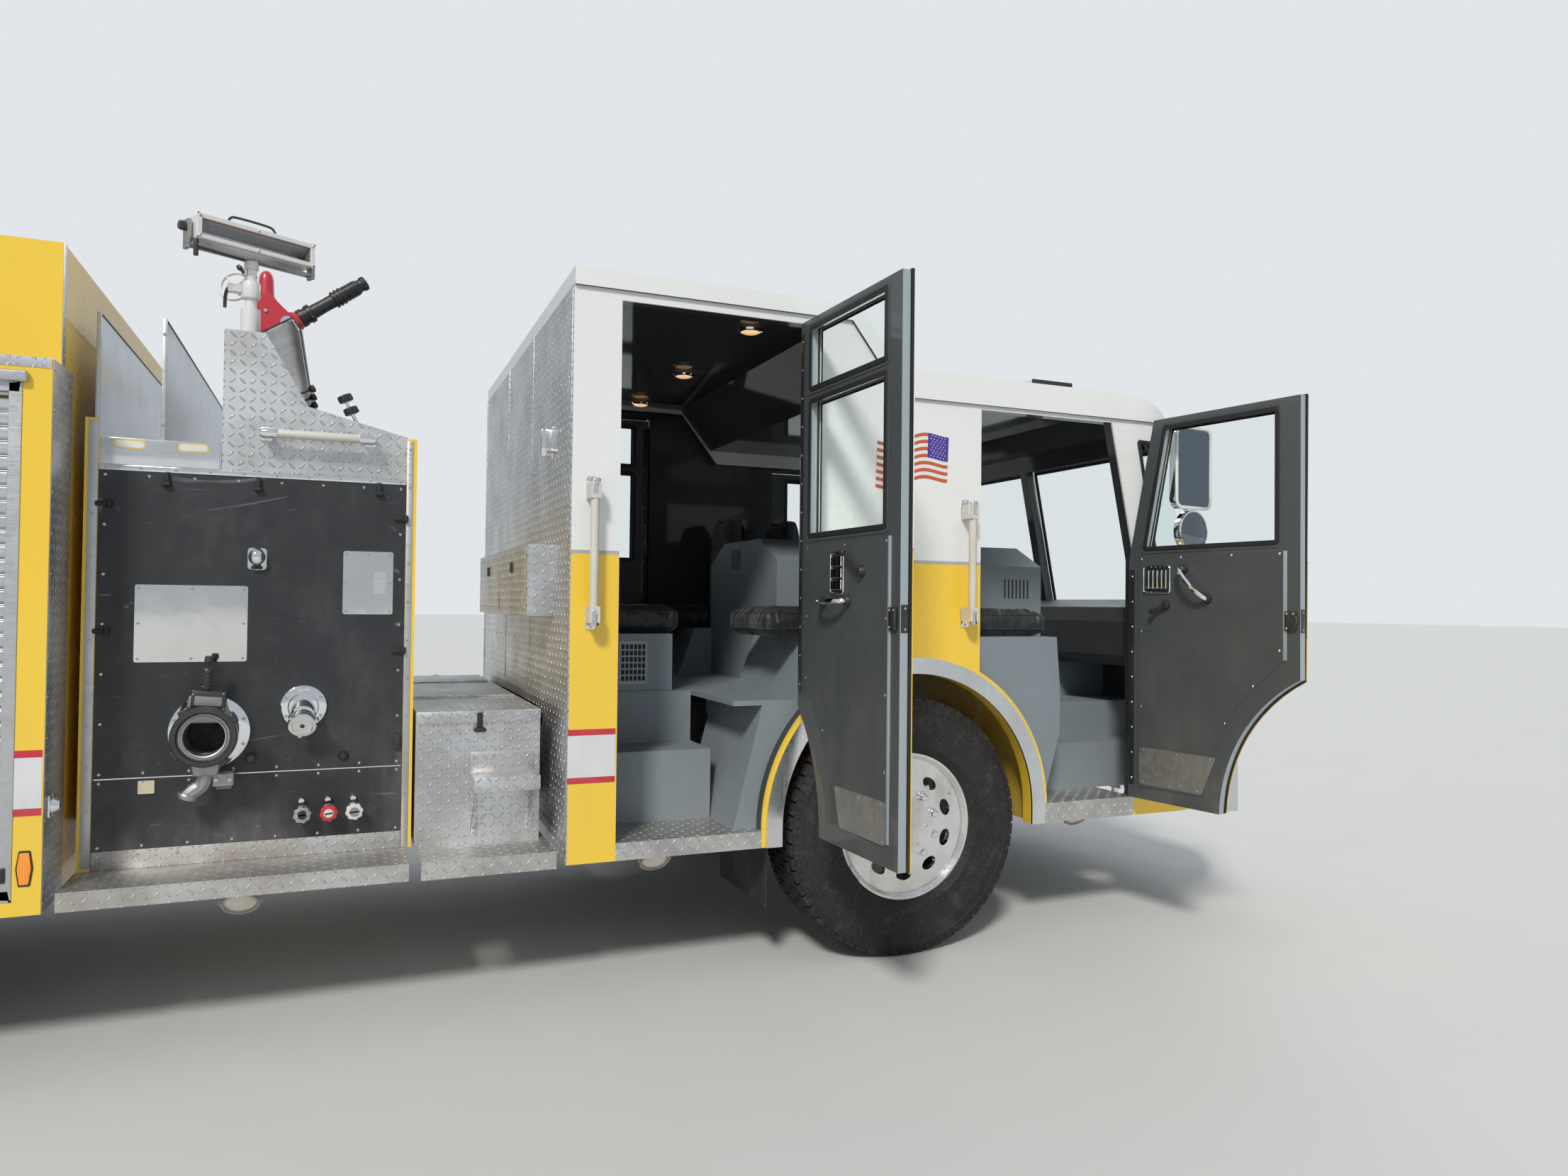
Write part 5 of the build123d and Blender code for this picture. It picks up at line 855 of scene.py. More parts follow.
def window_rubbers(kind):
    piece = Piece(RUBBER, DOOR_TRIM)
    for window in REAR_WINDOWS if kind == "rear" else FRONT_WINDOWS:
        piece.add(sheet_metal(grown(window, 0.010), 0.005, 0.022, 0.020, 0.0015), door_inside(kind))
        piece.add(sheet_metal(grown(window, 0.012), 0.003, 0.024, 0.022, 0.001), door_outside(kind))
        piece.add(sheet_metal(grown(window, 0.022), 0.0025, 0.02, 0.012, 0.001), door_inside(kind), finish=1)
    return piece


def door_seal(kind, side):
    seal = Piece(RUBBER, DOOR_PAINTS[kind, side])
    for out, depth in ((0.0055, -0.0115), (0.0045, -0.0055)):
        seal.add(sheet_metal(door_outline(kind, out), 0.004, 0, 0.012, 0), door_outside(kind) @ at(0, 0, depth))
    seal.add(sheet_metal(door_outline(kind, 0.0068), 0.0030, 0, 0.016, 0), door_outside(kind) @ at(0, 0, -0.0024), finish=1)
    return seal


def trim_panel(kind):
    """Lower trim panel with its screws, pale return flange at the free edge and a kick plate of bare sheet."""
    inside = door_inside(kind)
    piece = Piece(DOOR_TRIM, KICK_SHEET, SCREW_STEEL, DOOR_EDGE)
    if kind == "rear":
        outline = [(0.070, 1.698), (0.070, 1.150), *arc(-0.490, 0.580, 0.800, 44, 6, 10), (0.700, 0.655), (0.700, 1.698)]
        kick = ((0.372, 0.652), (0.694, 0.652), (0.694, 0.800), (0.330, 0.800))
        spots = ((0.085, 1.684), (0.39, 1.684), (0.686, 1.684), (0.085, 1.42), (0.686, 1.42), (0.085, 1.18), (0.686, 1.16),
                 (0.686, 0.90), (0.23, 0.99))
        edge_x, edge_low = 0.709, 0.660
    else:
        outline = [(0.064, 1.702), (0.064, 0.655), *arc(1.176, 0.580, 0.775, 174, 128, 10), (0.772, 1.255), (0.772, 1.702)]
        kick = ((0.074, 0.668), (0.400, 0.668), (0.470, 0.836), (0.074, 0.836))
        spots = ((0.08, 1.688), (0.29, 1.690), (0.54, 1.690), (0.756, 1.688), (0.08, 1.36), (0.08, 1.02), (0.756, 1.30),
                 (0.64, 1.15), (0.51, 0.985))
        edge_x, edge_low = 0.781, 1.262
    piece.add(sheet_metal(outline, 0.0035, 0, 0, 0.0015), inside @ at(0, 0, TRIM_OUT))
    piece.add(sheet_metal(kick, 0.0015, 0.010, 0, 0.0004), inside @ at(0, 0, TRIM_OUT + 0.0035), finish=1)
    piece.add(slab(0.016, 1.700 - edge_low, 0.006, 0.002), inside @ at(edge_x, (1.700 + edge_low) / 2, TRIM_OUT), finish=3)
    low = min(y for _, y in kick) + 0.012
    kick_spots = [(kick[0][0] + 0.02, low), ((kick[0][0] + kick[1][0]) / 2, low), (kick[1][0] - 0.02, low),
                  (kick[2][0] - 0.03, kick[2][1] - 0.012), ((kick[3][0] + kick[2][0]) / 2, kick[2][1] - 0.012),
                  (kick[3][0] + 0.02, kick[3][1] - 0.012)]
    piece.add(screw(0.0058), *[inside @ at(*spot, TRIM_OUT + 0.0035) for spot in spots], finish=2)
    return piece.add(screw(0.0045, 0.002), *[inside @ at(*spot, TRIM_OUT + 0.005) for spot in kick_spots], finish=2)


def paddle(x, y, width, height, ribs):
    """Door release: a chrome bezel round a dark well with a pull paddle in it."""
    piece = Piece(CHROME, BLACK_PLASTIC)
    top = TRIM_OUT + 0.0035
    frame_in = Matrix.Translation((x, y, top))
    piece.add(sheet_metal(oblong(width, height), 0.008, 0.016, 0.009, 0.003), frame_in)
    piece.add(slab(width - 0.014, height - 0.014, 0.003, 0.001), frame_in, finish=1)
    tall = height > width
    for i in range(ribs):
        step = (i + 0.5) / ribs - 0.5
        across, up = (0, step * (height - 0.030)) if tall else (step * (width - 0.034), 0)
        wide, high = ((width - 0.026), (height - 0.036) / ribs) if tall else ((width - 0.042) / ribs, height - 0.034)
        piece.add(slab(wide, high * 0.92, 0.009, 0.004, 3), frame_in @ at(across, up, 0.002))
    return piece


def crank(hub, knob, reach=0.040):
    """Window crank: hub, cranked arm and a turning knob."""
    piece = Piece(BLACK_PLASTIC)
    top = TRIM_OUT + 0.0035
    hub, knob = Vector((*hub, top)), Vector((*knob, top))
    piece.add(turned(((0, 0.022), (0.014, 0.020), (0.020, 0.010), (0.022, -0.001)), 24), Matrix.Translation(hub))
    middle = hub.lerp(knob, 0.5) + Vector((0, 0, reach * 0.5))
    piece.add(pipe([hub + Vector((0, 0, 0.014)), hub.lerp(knob, 0.2) + Vector((0, 0, 0.018)), middle,
                    hub.lerp(knob, 0.85) + Vector((0, 0, reach * 0.55)), knob + Vector((0, 0, reach * 0.55))], 0.0065))
    return piece.add(turned(((0, reach), (0.011, reach - 0.002), (0.014, reach * 0.75), (0.010, reach * 0.45),
                             (0, reach * 0.45)), 20), Matrix.Translation(knob))


def place_in_door(piece, kind):
    piece.bm.transform(door_inside(kind))
    return piece


def edge_latch(kind):
    """Rotary latch at the free edge: black case on both faces, claw and three screws."""
    width = 0.762 if kind == "rear" else 0.832
    piece = Piece(BLACK_STEEL, SCREW_STEEL)
    inside = door_inside(kind)
    piece.add(slab(0.046, 0.078, 0.012, 0.003), inside @ at(width - 0.026, 1.420, 0.0))
    piece.add(slab(0.012, 0.094, 0.030, 0.0015), inside @ at(width + 0.0060, 1.420, -0.034))
    piece.add(pipe(((width - 0.012, 1.436, 0.010), (width + 0.001, 1.440, 0.014), (width + 0.004, 1.420, 0.016),
                    (width - 0.004, 1.402, 0.014)), 0.005), inside)
    spots = [(width + 0.0115, 1.455), (width + 0.0115, 1.385)]
    piece.add(screw(0.0045, 0.0015), *[inside @ Matrix.Translation((x, y, -0.02)) @ upright((1, 0, 0)) for x, y in spots],
              finish=1)
    return piece.add(screw(0.0045), *[inside @ at(width - 0.026 + dx, 1.420 + dy, 0.012) for dx, dy in
                                      ((-0.014, 0.029), (0.014, 0.029), (-0.014, -0.029))], finish=1)


def door_hinge(kind):
    """Full-length hinge: its leaf's screws along the door's front edge, on the inside."""
    low, high = (1.12, 2.54) if kind == "rear" else (0.66, 1.64)
    piece = Piece(BLACK_STEEL, SCREW_STEEL)
    inside = door_inside(kind)
    piece.add(slab(0.030, high - low, 0.0025, 0.001), inside @ at(0.026, (low + high) / 2))
    count = round((high - low) / 0.12) + 1
    return piece.add(screw(0.0050), *[inside @ place for place in spaced((0.028, low + 0.03, 0.0025),
                                                                        (0.028, high - 0.03, 0.0025), count)], finish=1)


def outside_handle(kind):
    """Outer door handle: dished chrome plate with a paddle and a lock barrel."""
    x = 0.690 if kind == "rear" else 0.770
    z = 1.44 if kind == "rear" else 1.46
    piece = Piece(CHROME, BLACK_PLASTIC)
    out = door_outside(kind)
    piece.add(sheet_metal(oblong(0.120, 0.150), 0.006, 0.022, 0.010, 0.002), out @ at(x, z))
    piece.add(slab(0.104, 0.134, 0.002, 0.0008), out @ at(x, z), finish=1)
    piece.add(slab(0.084, 0.070, 0.010, 0.004, 3), out @ at(x, z + 0.018, 0.001))
    return piece.add(turned(((0, 0.008), (0.010, 0.008), (0.013, 0.004), (0.013, 0))), out @ at(x, z - 0.044, 0.001))


def grab_bow(kind):
    """Curved chrome pull handle between two black cups."""
    piece = Piece(CHROME, BLACK_PLASTIC, RED_LENS)
    top = TRIM_OUT + 0.0035
    if kind == "rear":
        first, last = Vector((0.235, 1.474, top)), Vector((0.425, 1.480, top))
    else:
        first, last = Vector((0.309, 1.638, top)), Vector((0.428, 1.508, top))
    rise = Vector((0, 0, 0.045))
    bow = Vector((0.012, -0.012, 0)) if kind == "front" else Vector()
    piece.add(pipe((first + rise * 0.3, first + rise * 0.9 - bow, (first + last) / 2 + rise * 1.25 - bow,
                    last + rise * 0.9 - bow, last + rise * 0.3), 0.0095))
    cup = ((0, 0.020), (0.014, 0.018), (0.019, 0.010), (0.021, -0.001))
    piece.add(turned(cup, 24), Matrix.Translation(first), Matrix.Translation(last), finish=1)
    return piece.add(screw(0.007), Matrix.Translation(last + Vector((0, 0, 0.019))), finish=2)


for kind in DOORS:
    on_pair(kind, "seal", "tyre_rubber", lambda side: door_seal(kind, side))
    on_pair(kind, "window_rubber", "tyre_rubber", lambda side: window_rubbers(kind))
    on_pair(kind, "trim", "interior_grey", lambda side: trim_panel(kind))
    on_pair(kind, "latch", "frame_black", lambda side: edge_latch(kind))
    on_pair(kind, "hinge_leaf", "frame_black", lambda side: door_hinge(kind))
    on_pair(kind, "handle", "mirror_chrome", lambda side: outside_handle(kind))
    on_pair(kind, "pull", "mirror_chrome", lambda side: place_in_door(grab_bow(kind), kind))
on_pair("rear", "release", "mirror_chrome", lambda side: place_in_door(paddle(0.342, 1.582, 0.108, 0.160, 3), "rear"))
on_pair("front", "release", "mirror_chrome", lambda side: place_in_door(paddle(0.166, 1.595, 0.150, 0.126, 5), "front"))
on_pair("rear", "crank", "dash_dark", lambda side: place_in_door(crank((0.525, 1.584), (0.425, 1.653)), "rear"))
on_pair("front", "crank", "dash_dark", lambda side: place_in_door(crank((0.216, 1.480), (0.165, 1.451)), "front"))

# Tyres and wheels
def make_tyre():
    """Steer tyre: carcass with its sidewall rings and five rows of shallow blocks, its axle along z."""
    side = [(0.2925, 0.110), (0.300, 0.120), (0.311, 0.133), (0.330, 0.142), (0.338, 0.1495), (0.345, 0.1455),
            (0.385, 0.1525), (0.424, 0.1545), (0.440, 0.1540), (0.443, 0.1550), (0.452, 0.1550), (0.455, 0.1530),
            (0.484, 0.1490), (0.487, 0.1510), (0.494, 0.1500), (0.498, 0.1460), (0.514, 0.1420), (0.5245, 0.134)]
    inner = [(0.500, 0.120), (0.420, 0.138), (0.330, 0.120), (0.298, 0.104)]
    ring = side + [(r, -z) for r, z in reversed(side)] + [(r, -z) for r, z in reversed(inner)] + inner
    bm = bmesh.new()
    verts = [bm.verts.new((r, 0, z)) for r, z in ring]
    edges = [bm.edges.new(pair) for pair in zip(verts, verts[1:] + verts[:1])]
    bmesh.ops.spin(bm, geom=verts + edges, cent=(0, 0, 0), axis=(0, 0, 1), angle=2 * pi, steps=120, use_merge=True)
    bmesh.ops.remove_doubles(bm, verts=bm.verts, dist=1e-6)
    piece = Piece(TYRE)
    piece.add(bm)
    pitches = 60
    # columns: middle of the row, its width, share of a pitch that it is turned by
    for middle, width, shift in ((-0.1085, 0.047, 0.1), (-0.0535, 0.046, 0.6), (0, 0.046, 0.1), (0.0535, 0.046, 0.6),
                                 (0.1085, 0.047, 0.1)):
        shoulder = abs(middle) > 0.1
        tread = bmesh.new()
        bmesh.ops.create_cube(tread, size=1)
        length = 0.0485 if shoulder else 0.0535
        bmesh.ops.scale(tread, vec=(width, length, 0.0145), verts=tread.verts)
        top = [v for v in tread.verts if v.co.z > 0]
        bmesh.ops.scale(tread, vec=(0.93, 0.93, 1), verts=top)
        bmesh.ops.bevel(tread, geom=[e for e in tread.edges if all(v in top for v in e.verts)], offset=0.0018,
                        offset_type="OFFSET", affect="EDGES", segments=1, profile=0.5, material=-1)
        spots = [Matrix.Rotation(2 * pi * (i + shift) / pitches, 4, "Z") @ Matrix.Translation((0.5300, 0, middle))
                 @ Matrix.Rotation(pi / 2, 4, "Y") for i in range(pitches)]
        piece.add(tread, *spots)
    # short ribs where the shoulder meets the sidewall
    rib = slab(0.022, 0.006, 0.004, 0.0012, 1)
    for flip in (1, -1):
        spots = [Matrix.Rotation(2 * pi * i / 90, 4, "Z") @ Matrix.Translation((0.5155, 0, flip * 0.1405))
                 @ Matrix.Rotation(flip * radians(90 - 62), 4, "Y") @ Matrix.Diagonal((1, 1, flip, 1)) for i in range(90)]
        piece.add(rib.copy(), *spots)
    rib.free()
    return piece


def axle_place(x, y):
    """Place of a wheel: its own z out of the truck's side."""
    return Matrix.Translation((x, y, TYRE_RADIUS)) @ upright((0, -1 if y < 0 else 1, 0))


for side, sign in (("right", -1), ("left", 1)):
    tyre = make_tyre().done(f"tread_tyre_front_{side}", f"front_wheel_body_{side}", "tyre_rubber",
                            place=axle_place(0, sign * WHEEL_Y), angle=40)
    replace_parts(tyre, f"front_tyre_{side}")
    pair = Piece(TYRE)
    single = make_tyre()
    for y in (OUTER_DUAL_Y, OUTER_DUAL_Y - DUAL_SPACING):
        pair.add(single.bm.copy(), axle_place(REAR_AXLE_X, sign * y))
    tyres = pair.done(f"tread_tyres_rear_{side}", f"rear_wheel_body_{side}", "tyre_rubber", angle=40)
    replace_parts(tyres, f"rear_tyre_{side}")

    # front wheel: ten capped nuts, hub cap screws, valve and a balance weight
    fittings = Piece(CHROME, SCREW_STEEL, RUBBER)
    hub = axle_place(0, sign * WHEEL_Y)
    nut_face = 0.110
    nut = turned(((0, 0.034), (0.009, 0.0335), (0.0145, 0.030), (0.0165, 0.024), (0.0165, 0.008), (0.021, 0.0065),
                  (0.0225, 0.001), (0.0225, -0.001)), 12)
    around = [hub @ Matrix.Rotation(radians(36 * i + 18), 4, "Z") @ Matrix.Translation((0.1425, 0, nut_face))
              for i in range(10)]
    fittings.add(nut, *around)
    fittings.add(turned(((0.097, 0.1465), (0.099, 0.1480), (0.104, 0.1480), (0.108, 0.1440), (0.110, 0.1300),
                         (0.1175, 0.1290), (0.1185, 0.112)), 48), hub)
    fittings.add(screw(0.006), *[hub @ Matrix.Rotation(radians(60 * i), 4, "Z") @ Matrix.Translation((0.083, 0, 0.1495))
                                 for i in range(6)], finish=1)
    fittings.add(pipe(((0.262, 0, 0.070), (0.262, 0, 0.095), (0.250, 0, 0.118)), 0.0045), hub @ Matrix.Rotation(0.5, 4, "Z"),
                 finish=1)
    fittings.add(slab(0.075, 0.012, 0.008, 0.003), hub @ Matrix.Rotation(2.2, 4, "Z") @ Matrix.Translation((0, 0.299, 0.126)),
                 finish=1)
    fittings.done(f"front_wheel_nuts_{side}", f"front_wheel_body_{side}", "wheel_alloy")

    rear = Piece(CHROME, SCREW_STEEL)
    hub = axle_place(REAR_AXLE_X, sign * OUTER_DUAL_Y)
    around = [hub @ Matrix.Rotation(radians(36 * i + 18), 4, "Z") @ Matrix.Translation((0.1425, 0, -0.088))
              for i in range(10)]
    rear.add(turned(((0, 0.034), (0.009, 0.0335), (0.0145, 0.030), (0.0165, 0.024), (0.0165, 0.008), (0.021, 0.0065),
                     (0.0225, 0.001), (0.0225, -0.001)), 12), *around)
    rear.add(hexagon_bolt(0.019, 0.008), *[hub @ Matrix.Rotation(radians(45 * i), 4, "Z")
                                           @ Matrix.Translation((0.086, 0, 0.150)) for i in range(8)], finish=1)
    rear.done(f"rear_wheel_nuts_{side}", f"rear_wheel_body_{side}", "wheel_alloy")

# Seats: stuffed cushions and backs, sewn after they have swollen
CLOTH_FRAMES = 20


def evaluated(holder):
    graph = bpy.context.evaluated_depsgraph_get()
    return bpy.data.meshes.new_from_object(holder.evaluated_get(graph))


def swell(start, pressure=4.0, most=0.024, voxel=0.006):
    """Remesh a closed shape and let it swell as stuffed fabric does; no point moves further than the most."""
    mesh = bpy.data.meshes.new("pad")
    start.to_mesh(mesh)
    start.free()
    holder = bpy.data.objects.new("pad", mesh)
    bpy.context.scene.collection.objects.link(holder)
    remesh = holder.modifiers.new("even", "REMESH")
    remesh.mode = "VOXEL"
    remesh.voxel_size = voxel
    even = evaluated(holder)
    holder.modifiers.clear()
    holder.data = even
    before = [v.co.copy() for v in even.vertices]
    cloth = holder.modifiers.new("cloth", "CLOTH")
    settings = cloth.settings
    settings.use_pressure = True
    settings.uniform_pressure_force = pressure
    settings.quality = 4
    settings.mass = 0.3
    settings.tension_stiffness = 14
    settings.compression_stiffness = 14
    settings.effector_weights.gravity = 0
    cloth.point_cache.frame_start = 1
    cloth.point_cache.frame_end = CLOTH_FRAMES
    for number in range(1, CLOTH_FRAMES + 1):
        bpy.context.scene.frame_set(number)
    swollen = evaluated(holder)
    holder.modifiers.clear()
    bpy.context.scene.frame_set(1)
    for vertex, was in zip(swollen.vertices, before):
        move = vertex.co - was
        if move.length > most:
            vertex.co = was + move * (most / move.length)
    holder.data = swollen
    bm = bmesh.new()
    bm.from_mesh(holder.data)
    bpy.data.objects.remove(holder)
    for _ in range(2):
        bmesh.ops.smooth_vert(bm, verts=bm.verts, factor=0.5, use_axis_x=True, use_axis_y=True, use_axis_z=True)
    return bm


def sew(bm, line, depth, width, only=None):
    """Press a sewn channel into a pad: line gives a point's distance from the seam."""
    bm.normal_update()
    moves = []
    for vertex in bm.verts:
        if only is None or only(vertex):
            away = abs(line(vertex.co))
            if away < 3 * width:
                moves.append((vertex, vertex.normal * (-depth * 2.718 ** (-(away / width) ** 2))))
    for vertex, move in moves:
        vertex.co += move
    return bm


def welt(bm, centre, normal, radius=0.0042, every=3):
    """Piping round a pad, where a plane cuts it."""
    cut = bm.copy()
    bmesh.ops.bisect_plane(cut, geom=cut.verts[:] + cut.edges[:] + cut.faces[:], plane_co=centre, plane_no=normal,
                           clear_inner=True, clear_outer=True)
    cut.verts.ensure_lookup_table()
    points, here, came = [], cut.verts[0], None
    while True:
        points.append(here.co.copy())
        ahead = [e for e in here.link_edges if e is not came]
        if not ahead:
            break
        came = ahead[0]
        here = came.other_vert(here)
        if here is cut.verts[0] or len(points) > len(cut.verts):
            break
    cut.free()
    points = points[::every]
    return pipe(points + points[:1], radius, rounded=False)


def make_cushion():
    """Seat cushion, its front edge at positive x; it rests on z = 0."""
    bm = slab(0.446, 0.452, 0.092, 0.030, 5)
    bmesh.ops.translate(bm, vec=(0, 0, 0.014), verts=bm.verts)
    pad = swell(bm)
    for vertex in pad.verts:
        vertex.co.z = max(vertex.co.z, 0.001)
        # the seat dips in the middle and rises to its front edge
        vertex.co.z -= 0.010 * max(0, 1 - (vertex.co.x / 0.19) ** 2 - (vertex.co.y / 0.19) ** 2) if vertex.co.z > 0.07 else 0
    above = lambda v: v.co.z > 0.06
    sew(pad, lambda p: p.y - 0.150, 0.009, 0.007, above)
    sew(pad, lambda p: p.y + 0.150, 0.009, 0.007, above)
    sew(pad, lambda p: p.x - 0.165, 0.007, 0.007, above)
    return pad


def make_back():
    """Backrest facing positive x, its foot at z = 0, narrower and rounded at the head."""
    outline = [(-0.205, 0.02), (0.205, 0.02), (0.210, 0.34), (0.185, 0.47), (0.150, 0.655), (-0.150, 0.655),
               (-0.185, 0.47), (-0.210, 0.34)]
    bm = sheet_metal(outline, 0.080, 0.055, 0, 0, 5)
    round_edges(bm, 0.028, 4, 50)
    bmesh.ops.translate(bm, vec=(0, 0, 0.012), verts=bm.verts)
    bm.transform(Matrix(((0, 0, 1, 0), (1, 0, 0, 0), (0, 1, 0, 0), (0, 0, 0, 1))))
    pad = swell(bm)
    front = lambda v: v.co.x > 0.05
    sew(pad, lambda p: p.y - 0.125, 0.010, 0.007, lambda v: front(v) and v.co.z < 0.47)
    sew(pad, lambda p: p.y + 0.125, 0.010, 0.007, lambda v: front(v) and v.co.z < 0.47)
    sew(pad, lambda p: p.z - 0.47, 0.012, 0.008, front)
    sew(pad, lambda p: p.z - 0.235, 0.007, 0.007, lambda v: front(v) and abs(v.co.y) < 0.125)
    return pad


cushion_pad, back_pad = make_cushion(), make_back()
CUSHION_WELTS = [welt(cushion_pad, (0, 0, z), (0, 0, 1)) for z in (0.034, 0.098)]
BACK_WELTS = [welt(back_pad, (x, 0, 0), (1, 0, 0)) for x in (0.024, 0.082)]
# columns: name, front edge of the cushion, back's front face, y, way it faces
for name, cushion_x, back_x, seat_y, facing in (
    ("officer", 0.605, 0.237, -0.84, 1), ("driver", 0.605, 0.237, 0.84, 1),
    ("crew_right", -0.380, -0.017, -0.84, -1), ("crew_left", -0.380, -0.017, 0.84, -1),
    ("bench_right", -1.020, -1.368, -0.34, 1), ("bench_left", -1.020, -1.368, 0.34, 1),
):
    turn = Matrix.Rotation(0 if facing > 0 else pi, 4, "Z")
    place = Matrix.Translation((cushion_x, seat_y, 1.330)) @ turn
    cushion = Piece(VINYL).add(cushion_pad.copy()).done(f"seat_cushion_{name}", "cab", "seat_black", place, 180)
    place = Matrix.Translation((back_x, seat_y, 1.332)) @ turn
    backrest = Piece(CLOTH).add(back_pad.copy()).done(f"seat_back_{name}", "cab", "seat_black", place, 180)
    if name == "officer":
        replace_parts(cushion, "seats")
    piping = Piece(VINYL, BLACK_PLASTIC, BELT_RED)
    for loop in CUSHION_WELTS:
        piping.add(loop.copy(), Matrix.Translation((cushion_x, seat_y, 1.330)) @ turn)
    for loop in BACK_WELTS:
        piping.add(loop.copy(), place)
    # bolster shell behind the back and the belt with its buckle at the inner side
    piping.add(sheet_metal([(-0.19, 0.03), (0.19, 0.03), (0.19, 0.40), (0.15, 0.60), (-0.15, 0.60), (-0.19, 0.40)],
                           0.006, 0.03, 0, 0.002),
               place @ Matrix(((0, 0, 1, 0.001), (1, 0, 0, 0), (0, 1, 0, 0), (0, 0, 0, 1))), finish=1)
    outer = -1 if seat_y < 0 else 1
    strap = sheet_metal(oblong(0.046, 0.50), 0.0014, 0, 0, 0)
    lay = Matrix.Translation((0.020, outer * facing * 0.252, 0.30)) @ Matrix.Rotation(radians(90), 4, "X") \
        @ Matrix.Rotation(radians(-14), 4, "Z")
    piping.add(strap, place @ lay, finish=2)
    piping.add(slab(0.034, 0.070, 0.022, 0.005), place @ Matrix.Translation((0.150, -outer * facing * 0.262, 0.020))
               @ Matrix.Rotation(radians(90), 4, "X"), finish=1)
    piping.done(f"seat_piping_{name}", "cab", "seat_black")

# Pump panel: suction valve, discharge, drain knobs, grab rail, plates, latches and strips
def on_panel(x, z, out=0.0, turn=0.0):
    """Place on the pump panel."""
    return PUMP_FACE @ at(x, z, out, turn)


def both_sides(piece, name, body, slot, angle=35, replaces=None):
    """Finish a right-hand piece, and its mirror image for the left."""
    made = []
    for side, place in (("right", None), ("left", MIRRORED)):
        copy = Piece(*piece.finishes)
        copy.bm = piece.bm.copy()
        made.append(copy.done(f"{name}_{side}", body, slot, place=place, angle=angle))
    if replaces:
        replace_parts(made[0], replaces)
    return made


def lobed(radius, depth, lobes=8, dip=0.12):
    """Hand knob with a wavy rim."""
    bm = bar(depth, radius, steps=lobes * 6)
    for vertex in bm.verts:
        flat = Vector((vertex.co.x, vertex.co.y))
        if flat.length > radius * 0.5:
            turn = flat.angle_signed(Vector((1, 0)), 0)
            vertex.co.xy = flat * (1 - dip * (0.5 - 0.5 * cos(turn * lobes)))
    return round_edges(bm, 0.003, 2, 60)


